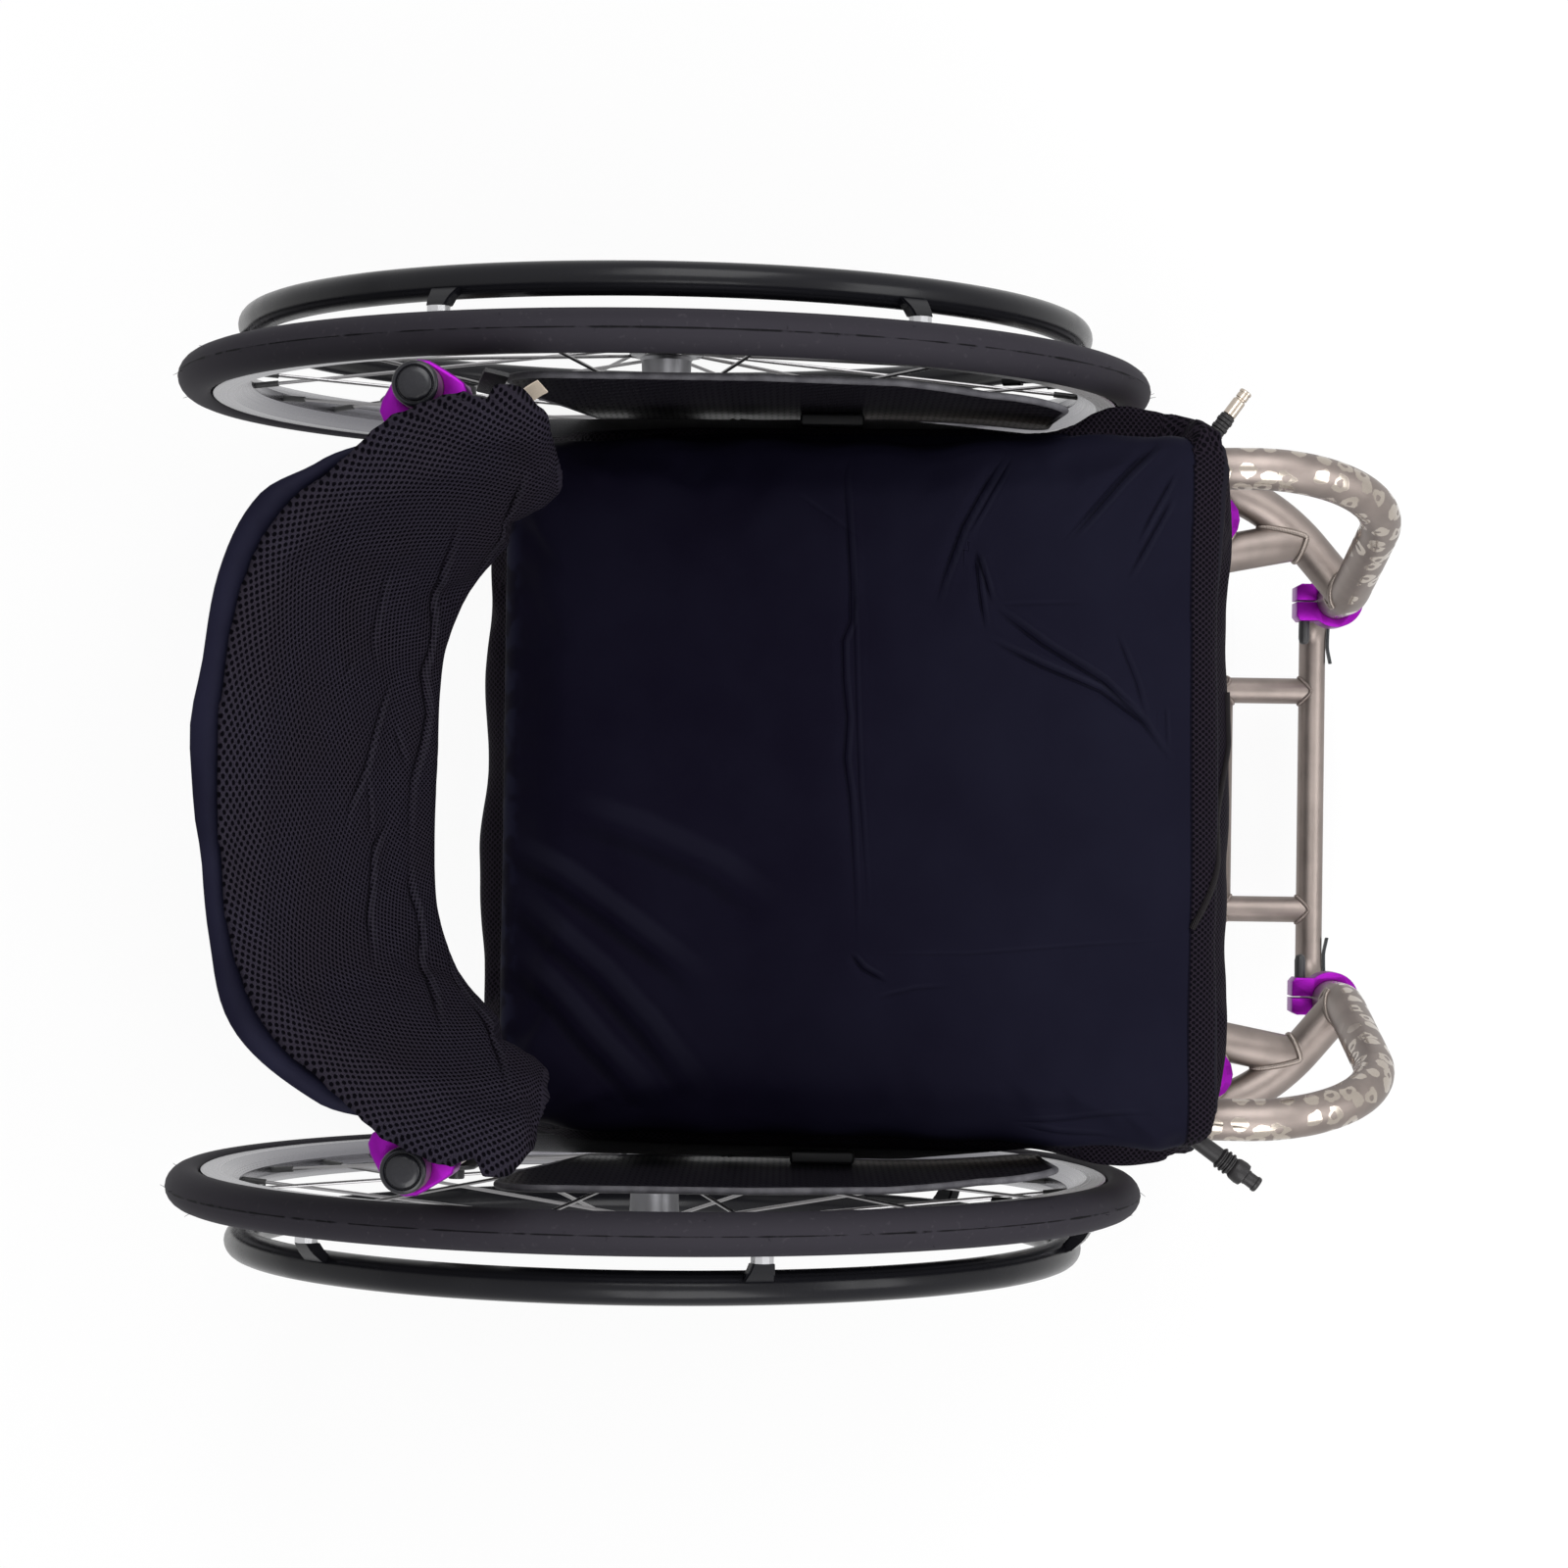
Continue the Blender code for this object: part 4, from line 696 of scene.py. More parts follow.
# The footrest: one bent tube whose posts slide in the front legs, with a short rear bar and two rungs
# welded to it. Split collars hold the posts; a capped screw and the tail of a rubber strip show there.
FOOT_R, FOOT_Z, FOOT_Y, FOOT_REAR_Y, POST_TOP_Z = 0.0090, 0.0880, -0.4395, -0.3765, 0.1800
RUNG_X, RUNG_R = 0.0750, 0.0088


def together(shapes):
    """Several closed forms as one mesh."""
    whole = bmesh.new()
    for shape in shapes:
        mesh = mesh_of(shape, "part of a piece")
        whole.from_mesh(mesh)
        bpy.data.meshes.remove(mesh)
    return whole


reach = RUNG_X + FOOT_R
bow = pipe(rounded([(LEG_X, LEG_Y, POST_TOP_Z), (LEG_X, LEG_Y, 0.1420), (LEG_X, FOOT_Y, FOOT_Z),
                    (-LEG_X, FOOT_Y, FOOT_Z), (-LEG_X, LEG_Y, 0.1420), (-LEG_X, LEG_Y, POST_TOP_Z)],
                   (0.060, 0.026, 0.026, 0.060), 3.0), FOOT_R)
end = [(0, reach), (FOOT_R * 0.55, reach - 0.0004), (FOOT_R * 0.87, reach - 0.0016), (FOOT_R, reach - 0.0036)]
rear_bar = spun([(r, -d) for r, d in end] + end[::-1], (0, FOOT_REAR_Y, FOOT_Z), (1, 0, 0), 40, closed=False)
bow_tree, rear_tree = BVHTree.FromBMesh(bow), BVHTree.FromBMesh(rear_bar)
rungs, foot_welds = [], bmesh.new()
for side, word in SIDES:
    front, rear = (RUNG_X * side, FOOT_Y, FOOT_Z), (RUNG_X * side, FOOT_REAR_Y, FOOT_Z)
    half_way = (RUNG_X * side, (FOOT_Y + FOOT_REAR_Y) / 2, FOOT_Z)
    rungs.append(pipe([front, rear], RUNG_R))
    weld_lines(foot_welds, half_way, front, RUNG_R, bow_tree)
    weld_lines(foot_welds, half_way, rear, RUNG_R, rear_tree)
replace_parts(fitted("footrest_tubes", together([bow, rear_bar] + rungs), titanium, "footrest"),
            "footrest")
weld_beads("footrest_weld_beads", foot_welds, 0.0009, 0.0013, titanium, "footrest")

rubber_strip = Finish("moulded rubber strip", (0.020, 0.024, 0.028), 0.50, Specular_IOR_Level=0.35)
rubber_strip.bump(rubber_strip.noise(0.0007, 2.0), 0.00008)


def cut(shape, tool, operation="DIFFERENCE"):
    """One closed form less another, or both together."""
    things = []
    for form in (shape, tool):
        things.append(linked("form", mesh_of(form, "form")))
    step = things[0].modifiers.new("cut", "BOOLEAN")
    step.object, step.operation, step.solver = things[1], operation, "EXACT"
    graph = bpy.context.evaluated_depsgraph_get()
    graph.update()
    shape = bmesh.new()
    shape.from_mesh(things[0].evaluated_get(graph).to_mesh())
    for thing in things:
        bpy.data.objects.remove(thing)
    return shape


def block(low, high):
    shape = bmesh.new()
    middle = (Vector(low) + Vector(high)) / 2
    size = Vector(high) - Vector(low)
    bmesh.ops.create_cube(shape, size=1.0, matrix=Matrix.Translation(middle) @ Matrix.Diagonal((*size, 1)))
    return shape


def broken(shape, width, sharp=40.0):
    """Takes the sharp edges off a milled form."""
    bmesh.ops.remove_doubles(shape, verts=shape.verts, dist=0.00002)
    bmesh.ops.dissolve_limit(shape, angle_limit=math.radians(0.8), verts=shape.verts, edges=shape.edges)
    edges = [edge for edge in shape.edges
             if len(edge.link_faces) == 2 and edge.calc_face_angle() > math.radians(sharp)]
    bmesh.ops.bevel(shape, geom=edges, offset=width, segments=2, profile=0.5, affect="EDGES",
                    clamp_overlap=True)
    bmesh.ops.recalc_face_normals(shape, faces=shape.faces)
    return shape


COLLAR_LOW, COLLAR_HIGH, COLLAR_R, COLLAR_BORE_R, COLLAR_SLIT = 0.1480, 0.1725, 0.0182, 0.0128, 0.0013
TAIL_BEND, TAIL_STEPS = 0.0260, 12             # radius of the rubber tail's bend, and its pieces
screws = []
for side, word in SIDES:
    ring = spun([(COLLAR_BORE_R, COLLAR_LOW), (COLLAR_R, COLLAR_LOW), (COLLAR_R, COLLAR_HIGH),
                 (COLLAR_BORE_R, COLLAR_HIGH)], (LEG_X * side, LEG_Y, 0), (0, 0, 1), 72)
    ears = bmesh.new()
    outline = [(0.0100, -0.0060), (0.0104, 0.0228), (0.0084, 0.0262), (-0.0112, 0.0262), (-0.0142, 0.0236),
               (-0.0138, 0.0000), (-0.0100, -0.0060)]
    base = ears.faces.new([ears.verts.new((side * (LEG_X + x), LEG_Y + y, COLLAR_LOW)) for x, y in outline])
    top = bmesh.ops.extrude_face_region(ears, geom=[base])
    for part in top["geom"]:
        if isinstance(part, bmesh.types.BMVert):
            part.co.z = COLLAR_HIGH
    bmesh.ops.recalc_face_normals(ears, faces=ears.faces)
    bore = spun([(0, COLLAR_LOW - 0.01), (COLLAR_BORE_R, COLLAR_LOW - 0.01),
                 (COLLAR_BORE_R, COLLAR_HIGH + 0.01), (0, COLLAR_HIGH + 0.01)],
                (LEG_X * side, LEG_Y, 0), (0, 0, 1), 72, closed=False)
    slit_x = side * (LEG_X - 0.0012)
    slit = block((slit_x - COLLAR_SLIT / 2, LEG_Y, COLLAR_LOW - 0.01),
                 (slit_x + COLLAR_SLIT / 2, LEG_Y + 0.04, COLLAR_HIGH + 0.01))
    collar = cut(cut(cut(ring, ears, "UNION"), bore), slit)
    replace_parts(fitted(word + "_split_collar", broken(collar, 0.0007), purple, "frame",
                       50), word + "_footrest_clamp")
    cap = [(0.0, 0.0), (0.0036, 0.0), (0.0037, 0.0130), (0.0030, 0.0158), (0.0016, 0.0168), (0, 0.0170)]
    screws.append(spun(cap, (side * (LEG_X - 0.0125), -0.4240, 0.1600), (-side, 0, 0), 24, closed=False))
    tail = bmesh.new()
    rows = []
    for step in range(TAIL_STEPS + 1):
        share = step / TAIL_STEPS
        angle = math.radians(90 * (1 - min(1.0, share * 1.6)))
        x = LEG_X - TAIL_BEND
        x += TAIL_BEND * math.sin(angle) if share < 0.62 else -(share - 0.62) * 0.034
        low = FOOT_Z + TAIL_BEND * (1 - math.cos(angle)) - 0.0042
        y = FOOT_Y - FOOT_R - 0.0006 - 0.0022 * max(0.0, share - 0.7) / 0.3
        rows.append([tail.verts.new((x * side, y - depth, low + height))
                     for depth, height in ((0, 0), (0, 0.0080), (0.0016, 0.0074), (0.0016, 0.0006))])
    closed_bar(tail, rows)
    bmesh.ops.bevel(tail, geom=tail.edges[:], offset=0.0003, segments=1, affect="EDGES")
    fitted(word + "_rubber_tail", tail, rubber_strip, "footrest")
fitted("collar_screws", together(screws), black_plastic, "frame")


# The casters: purple forks milled from one block, which swivel in the welded barrels, and small soft
# rubber tyres on turned hubs. A screw through the fork's two blades is the wheel's axle.
CASTER_TRAIL, CASTER_R = 0.0320, 0.0500
BLADE_OUT = 0.0205


def softened(node, width=0.0006, sharp=40.0):
    """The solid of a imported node, with its sharp edges broken."""
    return broken(solid_of(node), width, sharp)


caster_rubber = Finish("soft caster rubber", (0.030, 0.030, 0.032), 0.62, Specular_IOR_Level=0.3)
scuffed = caster_rubber.noise(0.006, 4.0).rise(0.50, 0.72)
caster_rubber.put("Base Color", caster_rubber.mix(scuffed, (0.028, 0.028, 0.030), (0.060, 0.058, 0.055)))
caster_rubber.bump(caster_rubber.noise(0.0012, 3.0), 0.00012)
for side, word in SIDES:
    centre = Vector((CASTER_X * side, CASTER_Y + CASTER_TRAIL, CASTER_R))
    flank = [(0.0362, 0.0108), (0.0400, 0.0122), (0.0440, 0.0130), (0.0465, 0.0124), (0.0485, 0.0104),
             (0.0496, 0.0070), (0.0500, 0.0030)]
    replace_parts(fitted(word + "_caster_rubber", spun(mirrored(flank), centre, (1, 0, 0), 96),
                       caster_rubber, word + "_caster_wheel", 50), word + "_caster_tyre")
    half = [(0.0, 0.0200), (0.0036, 0.0200), (0.0036, 0.0146), (0.0086, 0.0146), (0.0092, 0.0140),
            (0.0098, 0.0068), (0.0112, 0.0060), (0.0282, 0.0056), (0.0302, 0.0064), (0.0335, 0.0092),
            (0.0344, 0.0100), (0.0360, 0.0100)]
    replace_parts(fitted(word + "_turned_caster_hub", spun(mirrored(half), centre, (1, 0, 0), 72, closed=False),
                       turned_alloy, word + "_caster_wheel", 28), word + "_caster_hub")
    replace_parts(fitted(word + "_milled_fork", softened(word + "_caster_fork"), purple,
                       word + "_caster_fork"), word + "_caster_fork")
    heads = [(centre + Vector((BLADE_OUT * way, 0, 0)), (way, 0, 0), 0.0046) for way in (1, -1)]
    repeated(word + "_caster_screws", bolt, heads, bolt_black, word + "_caster_fork")


# The side guards: thin plates of woven carbon beside the cushion, curved inboard in front, with a grey
# rubber edge pressed on all round. A split block under each one holds it on the seat tube.
GUARD_X, GUARD_T, GUARD_BEND_Y, GUARD_BEND = 0.2275, 0.0030, -0.1300, 0.60
GUARD_CUTS, GUARD_CUT = 22, 0.005              # the plate is cut that fine where it bends
GUARD_EDGE_R = 0.0021
TOW = 0.0038                                   # width of one tow of the carbon weave


def arc(centre, radius, start, end, count):
    """Points of a plane arc, angles in degrees."""
    angles = [math.radians(start + (end - start) * k / count) for k in range(count + 1)]
    return [(centre[0] + radius * math.cos(a), centre[1] + radius * math.sin(a)) for a in angles]


GUARD_OUTLINE = (
    [(0.0400, -0.0220), (0.0560, 0.0380), (0.0760, 0.0980)] + arc((0.0570, 0.1630), 0.0250, 0, 90, 12)
    + [(-0.0600, 0.1880), (-0.1400, 0.1720)] + arc((-0.2000, 0.0980), 0.0400, 80, 170, 12)
    + [(-0.2350, 0.0430)] + arc((-0.2150, 0.0180), 0.0200, 190, 270, 8)
    + [(-0.1200, -0.0100), (-0.0500, -0.0220)])


def guard_spot(side, x, y, z):
    forward = max(0.0, GUARD_BEND_Y - y)
    return Vector(((x - GUARD_BEND * forward * forward) * side, y, SEAT_Z + z))


carbon = Finish("woven carbon", (0.010, 0.010, 0.012), 0.46, Specular_IOR_Level=0.03)
x, y, z = carbon.parts(carbon.place())
column, row = (y / TOW).floor(), (z / TOW).floor()
over = ((column + row) % 4.0).rise(1.49, 1.51)          # two over, two under
round_y = abs((y / TOW) % 1.0 - 0.5) * 2.0
round_z = abs((z / TOW) % 1.0 - 0.5) * 2.0
swell = over * (1 - round_z * round_z) + (1 - over) * (1 - round_y * round_y)
carbon.put("Base Color", carbon.mix(over, (0.0035, 0.0030, 0.0045), (0.0120, 0.0110, 0.0150)))
carbon.put("Roughness", 0.40 + 0.16 * (1 - swell))
carbon.bump(swell, 0.00012)
edging = Finish("grey edge rubber", (0.080, 0.078, 0.086), 0.60, Specular_IOR_Level=0.10)
edging.put("Base Color", edging.mix(edging.noise(0.010, 3.0).rise(0.3, 0.7), (0.060, 0.058, 0.066),
                                    (0.100, 0.098, 0.108)))
edging.bump(edging.noise(0.0008, 2.0), 0.00006)
for side, word in SIDES:
    plate = bmesh.new()
    low = plate.faces.new([plate.verts.new((GUARD_X, y, z)) for y, z in GUARD_OUTLINE])
    high = bmesh.ops.extrude_face_region(plate, geom=[low])
    for part in high["geom"]:
        if isinstance(part, bmesh.types.BMVert):
            part.co.x += GUARD_T
    for step in range(GUARD_CUTS):
        bmesh.ops.bisect_plane(plate, geom=plate.verts[:] + plate.edges[:] + plate.faces[:],
                               plane_co=(0, GUARD_BEND_Y - GUARD_CUT * step, 0), plane_no=(0, 1, 0))
    for vert in plate.verts:
        vert.co = guard_spot(side, *vert.co)
    bmesh.ops.triangulate(plate, faces=plate.faces[:])
    bmesh.ops.recalc_face_normals(plate, faces=plate.faces)
    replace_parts(fitted(word + "_carbon_guard", plate, carbon, "frame"), word + "_side_guard")
    corners = [guard_spot(side, GUARD_X + GUARD_T / 2, y, z) for y, z in GUARD_OUTLINE]
    route = []
    for near, far in zip(corners, corners[1:] + corners[:1]):
        count = max(1, round((far - near).length / 0.004))
        for k in range(count):
            spot = near.lerp(far, k / count)
            route.append(guard_spot(side, GUARD_X + GUARD_T / 2, spot.y, spot.z - SEAT_Z))
    fitted(word + "_guard_edge", pipe(route + route[:1], GUARD_EDGE_R, 12), edging, "frame",
           60)
    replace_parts(fitted(word + "_guard_block", softened(word + "_guard_clamp", 0.0004), black_alloy, "frame"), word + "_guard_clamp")


# The rear wheels: a smooth narrow tyre with the seam and hairs of its mould, a deep silver rim, spokes
# laced to a two-flange hub, a satin black handrim on six tabs, and a quick-release axle.
WHEEL_X = 0.2500
TAB_ANGLE = {"left": 3.7, "right": 44.7}       # of the first tab, degrees up from straight back
TAB_R, TAB_FOOT = 0.2738, 0.0172               # where the tabs stand on the rim, and their spacers' height
RIM_R, RIM_IN_R, RIM_HALF = 0.2830, 0.2590, 0.01025
HANDRIM_R, HANDRIM_TUBE, HANDRIM_OUT = 0.2578, 0.0100, 0.0337
SPOKES, SPOKE_R, SWEEP = 24, 0.0011, math.radians(34)
HUB_IN, HUB_OUT, FLANGE_R = -0.0225, 0.0290, 0.0235
TABS, HAIRS = 6, 46
STEM_ANGLE = math.radians(157.5)               # of the inner tube's valve


def lathed(name, colour, roughness, metallic, pitch):
    """A finish turned on a lathe or drawn round a wheel: fine rings about the axle."""
    finish = Finish(name, colour, roughness, metallic)
    x, y, z = finish.parts(finish.place())
    y, z = y - AXLE_Y, z - AXLE_Z
    radius = (y * y + z * z) ** 0.5
    rings = finish.noise(pitch, 2.0, finish.vector(radius, x * 0.5))
    finish.put("Roughness", (roughness - 0.06) + 0.12 * rings)
    finish.bump(rings, 0.00004)
    return finish


rubber = Finish("tyre rubber", (0.030, 0.028, 0.034), 0.62, Specular_IOR_Level=0.02)
x, y, z = rubber.parts(rubber.place())
off = abs(abs(x) - WHEEL_X)
wander = rubber.noise(0.030, 3.0) - 0.5
seam = (off + wander * 0.0016).rise(0.0007, 0.0001) * rubber.noise(0.012, 2.0).rise(0.32, 0.50)
dust = rubber.noise(0.004, 4.0).rise(0.60, 0.78)
grain = rubber.noise(0.0011, 2.0)
rubber.put("Base Color", rubber.mix(seam, rubber.mix(dust, (0.027, 0.025, 0.031), (0.042, 0.039, 0.046)),
                                    (0.006, 0.006, 0.007)))
rubber.put("Roughness", 0.56 + 0.14 * dust)
rubber.bump(grain * 0.25 - seam, 0.00022)
rim_alloy = lathed("silver rim", (0.200, 0.197, 0.215), 0.28, 1.0, 0.0010)
spoke_steel = Finish("drawn spoke steel", (0.230, 0.225, 0.230), 0.32, 1.0)
spoke_steel.put("Roughness", 0.26 + 0.14 * spoke_steel.noise(0.004))
hub_alloy = lathed("grey hub shell", (0.180, 0.180, 0.190), 0.36, 1.0, 0.0008)
bright = lathed("bright turned band", (0.680, 0.680, 0.690), 0.18, 1.0, 0.0006)
satin = Finish("satin black handrim", (0.006, 0.006, 0.008), 0.30, Coat_Roughness=0.18,
               Specular_IOR_Level=0.12)
rub = satin.noise(0.060, 4.0).rise(0.45, 0.75)
satin.put("Roughness", 0.26 + 0.10 * rub)
satin.put("Coat Weight", 0.12 - 0.08 * rub)
satin.bump(satin.noise(0.0009, 1.0), 0.00003)
axle_steel = lathed("turned axle steel", (0.600, 0.600, 0.610), 0.24, 1.0, 0.0005)
black_sleeve = anodised("black spoke sleeve", (0.016, 0.016, 0.017), 0.40, 0.1)


def upright(name, segments, top_radius):
    """A rod or cone, 1 m high on a foot of 1 m radius, to be copied at any size."""
    shape = bmesh.new()
    bmesh.ops.create_cone(shape, cap_ends=True, segments=segments, radius1=1, radius2=top_radius, depth=1,
                          matrix=Matrix.Translation((0, 0, 0.5)))
    return mesh_of(shape, name)


rod_mesh, hair_mesh = upright("rod", 10, 1), upright("hair", 5, 0.4)


def tab_foot(out, outward):
    """A black foot that leans in from its spacer to the handrim and spreads along it."""
    along = out.cross(outward)
    shape = bmesh.new()
    rings = []
    for depth, radius, wide, deep in ((TAB_FOOT, TAB_R, 0.0064, 0.0050), (0.0232, 0.2700, 0.0076, 0.0050),
                                      (0.0300, 0.2622, 0.0098, 0.0052)):
        middle = out * depth + outward * radius
        rings.append([shape.verts.new(middle + along * wide * a + outward * deep * b)
                      for a, b in ((-1, -1), (1, -1), (1, 1), (-1, 1))])
    closed_bar(shape, rings)
    bmesh.ops.bevel(shape, geom=shape.edges[:], offset=0.0012, segments=2, affect="EDGES")
    return shape


for side, word in SIDES:
    centre = Vector((WHEEL_X * side, 0, AXLE_Z))
    out = Vector((side, 0, 0))

    def at(angle, radius, depth):
        """A point of this wheel at an angle up from straight back."""
        return centre + out * depth + Vector((0, math.cos(angle), math.sin(angle))) * radius

    crown = [(0.2836, 0.0086), (0.2852, 0.0108), (0.2880, 0.0121), (0.2912, 0.0125), (0.2945, 0.0121),
             (0.2975, 0.0109), (0.3002, 0.0090), (0.3024, 0.0064), (0.3039, 0.0033), (0.30425, 0.0008)]
    profile = mirrored(crown, [(AXLE_Z, 0.0)])
    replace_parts(fitted(word + "_smooth_tyre", spun(profile, centre, out, 160), rubber, word + "_wheel",
                       50), word + "_tyre")
    flank = [(RIM_R, 0.0084), (RIM_R - 0.0004, 0.0098), (RIM_R - 0.0012, RIM_HALF), (0.2706, RIM_HALF),
             (0.2694, 0.0096), (0.2650, 0.0078), (0.2612, 0.0052), (RIM_IN_R, 0.0030)]
    profile = mirrored(flank, [(RIM_IN_R - 0.0002, 0)])
    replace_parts(fitted(word + "_deep_rim", spun(profile, centre, out, 144), rim_alloy, word + "_wheel",
                       28), word + "_rim")
    shell = [(0.0068, HUB_IN), (0.0110, HUB_IN), (0.0116, HUB_IN + 0.0020),
             (FLANGE_R - 0.001, HUB_IN + 0.0034), (FLANGE_R, HUB_IN + 0.0042), (FLANGE_R, HUB_IN + 0.0068),
             (FLANGE_R - 0.001, HUB_IN + 0.0076), (0.0172, HUB_IN + 0.0090), (0.0158, HUB_IN + 0.0110),
             (0.0150, 0.0030), (0.0158, HUB_OUT - 0.0100), (0.0172, HUB_OUT - 0.0082),
             (FLANGE_R - 0.001, HUB_OUT - 0.0072), (FLANGE_R, HUB_OUT - 0.0064),
             (FLANGE_R, HUB_OUT - 0.0036), (FLANGE_R - 0.001, HUB_OUT - 0.0030),
             (0.0134, HUB_OUT - 0.0014), (0.0128, HUB_OUT), (0.0068, HUB_OUT)]
    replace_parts(fitted(word + "_hub_shell", spun(shell, centre, out, 64), hub_alloy, word + "_wheel",
                       28), word + "_hub_and_spokes")
    band = [(0.0152, -0.0062), (0.0163, -0.0058), (0.0163, -0.0010), (0.0152, -0.0006)]
    fitted(word + "_hub_band", spun(band, centre, out, 64), bright, word + "_wheel", 28)

    spokes, sleeves, nipples = [], [], []
    for index in range(SPOKES):
        rim_angle = math.tau * index / SPOKES
        leading = index % 4 < 2
        flange = HUB_IN + 0.0055 if index % 2 else HUB_OUT - 0.0050
        flange += 0.0018 if leading else -0.0018
        near = at(rim_angle + (SWEEP if leading else -SWEEP), FLANGE_R - 0.0035, flange)
        far = at(rim_angle, RIM_IN_R + 0.0004, 0)
        way = (far - near).normalized()
        spokes.append((near, way, (SPOKE_R, SPOKE_R, (far - near).length)))
        sleeves.append((far - way * 0.0150, way, (0.0019, 0.0019, 0.0152)))
        nipples.append((near + out * (0.0012 if leading else -0.0012),
                        -out if leading else out, (0.0020, 0.0020, 0.0018)))
    repeated(word + "_spokes", rod_mesh, spokes, spoke_steel, word + "_wheel")
    repeated(word + "_spoke_sleeves", rod_mesh, sleeves, black_sleeve, word + "_wheel")
    repeated(word + "_spoke_heads", rod_mesh, nipples, spoke_steel, word + "_wheel")

    ring = [(HANDRIM_R + HANDRIM_TUBE * math.cos(a), HANDRIM_OUT + HANDRIM_TUBE * math.sin(a))
            for a in around(24)]
    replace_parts(fitted(word + "_push_rim", spun(ring, centre, out, 160), satin, word + "_wheel",
                       60), word + "_handrim")
    spacers, feet = [], []
    for index in range(TABS):
        angle = math.radians(TAB_ANGLE[word]) + math.tau * index / TABS
        spacers.append((at(angle, TAB_R, RIM_HALF + 0.0001), out,
                        (0.0068, 0.0068, TAB_FOOT - RIM_HALF + 0.0006)))
        feet.append(tab_foot(out, at(angle, 1, 0) - centre))
    repeated(word + "_tab_spacers", rod_mesh, spacers, turned_alloy, word + "_wheel")
    feet = together(feet)
    bmesh.ops.translate(feet, verts=feet.verts, vec=centre)
    fitted(word + "_tab_feet", feet, satin, word + "_wheel")

    chance = random.Random(7 if side > 0 else 8)
    hairs = []
    for index in range(HAIRS):
        angle = math.tau * (index + 0.8 * chance.random()) / HAIRS
        lean = Vector([chance.uniform(-0.45, 0.45) for _ in range(3)])
        outward = at(angle, 1, 0) - centre
        depth = 0.0012 if index % 3 else 0.0085
        radius = 0.3038 if index % 3 else 0.2995
        hairs.append((at(angle, radius, depth * (1 if index % 2 else -1)), outward + lean,
                      (0.00022, 0.00022, 0.0030 + 0.0022 * chance.random())))
    repeated(word + "_tyre_hairs", hair_mesh, hairs, rubber, word + "_wheel")

    stem = [(at(STEM_ANGLE, RIM_IN_R - 0.030, 0), at(STEM_ANGLE, 1, 0) - centre, (0.0030, 0.0030, 0.032)),
            (at(STEM_ANGLE, RIM_IN_R - 0.034, 0), at(STEM_ANGLE, 1, 0) - centre, (0.0040, 0.0040, 0.012))]
    repeated(word + "_inner_tube_valve", rod_mesh, stem[:1], bright, word + "_wheel")
    repeated(word + "_valve_cap", rod_mesh, stem[1:], black_sleeve, word + "_wheel")

    painted(axle_steel, word + "_axle_pin")
    painted(black_plastic, word + "_axle_button")


# The seat: a hammock of woven cloth laced tight over the seat tubes, and on it an air cushion in a zipped
# cover. The cover has a smooth navy top, and spacer mesh from its seam down over the edge.
SLING_T, SLING_SAG, SLING_FRONT_Y, SLING_REAR_Y = 0.0016, 0.0140, -0.3250, 0.0780
SEAT_NARROWS = 0.0145                          # how far the seat tubes come in towards the front
CUSHION_HALF, VOXEL, AIR_SWELL, PAD_SWELL = 0.2180, 0.0050, 0.0060, 0.0040
VALVE_Z = 0.4500
NAVY = (0.0060, 0.0060, 0.0130)


def limited(value):
    """The value, kept between 0 and 1."""
    return min(1.0, max(0.0, value))


def sling_point(across, y, below=0.0):
    share = limited((-0.1500 - y) / 0.1400)
    half = SEAT_X - SEAT_NARROWS * share
    edge = seat_height(y) + TUBE_R + 0.0028
    return Vector(((half + 0.0018) * across, y, edge - SLING_SAG * (1 - abs(across) ** 4) - below))


def sling_under(x, y):
    """How high the sling lies there."""
    return sling_point(max(-1.0, min(1.0, x / SEAT_X)), y).z


sling_cloth = Finish("woven sling cloth", (0.020, 0.020, 0.023), 0.80, Specular_IOR_Level=0.25,
                     Sheen_Weight=0.12)
u, v, _ = sling_cloth.parts(sling_cloth.cloth())
warp, weft = abs((u / 0.0011) % 1.0 - 0.5), abs((v / 0.0011) % 1.0 - 0.5)
checker = ((u / 0.0011).floor() + (v / 0.0011).floor()) % 2.0
threads = checker * (0.5 - warp) + (1 - checker) * (0.5 - weft)
worn = sling_cloth.noise(0.030, 4.0).rise(0.35, 0.75)
sling_cloth.put("Base Color", sling_cloth.mix(threads.rise(0.0, 0.4), (0.006, 0.006, 0.007),
                                              sling_cloth.mix(worn, (0.020, 0.020, 0.023),
                                                              (0.030, 0.030, 0.034))))
sling_cloth.bump(threads, 0.00035)
sheet = bmesh.new()
chart = sheet.loops.layers.uv.new("map")
columns, rows = 56, 44
net = [[sheet.verts.new(sling_point(math.sin(math.pi / 2 * (2 * c / columns - 1)),
                                    SLING_REAR_Y + (SLING_FRONT_Y - SLING_REAR_Y) * r / rows,
                                    0.0012)) for c in range(columns + 1)] for r in range(rows + 1)]
lengths = [0.0]
for near, far in zip(net[20], net[20][1:]):
    lengths.append(lengths[-1] + (far.co - near.co).length)
sling_long = (SLING_REAR_Y - SLING_FRONT_Y) * math.hypot(1, SEAT_RISE)
for r in range(rows):
    for c in range(columns):
        face = sheet.faces.new((net[r][c], net[r + 1][c], net[r + 1][c + 1], net[r][c + 1]))
        corners = ((r, c), (r + 1, c), (r + 1, c + 1), (r, c + 1))
        for loop, (row, column) in zip(face.loops, corners):
            loop[chart].uv = (lengths[column], sling_long * row / rows)
bmesh.ops.recalc_face_normals(sheet, faces=sheet.faces)
sling_area = sum(face.calc_area() for face in sheet.faces)
sling = fitted("sling_cloth", sheet, sling_cloth, "frame", 60)
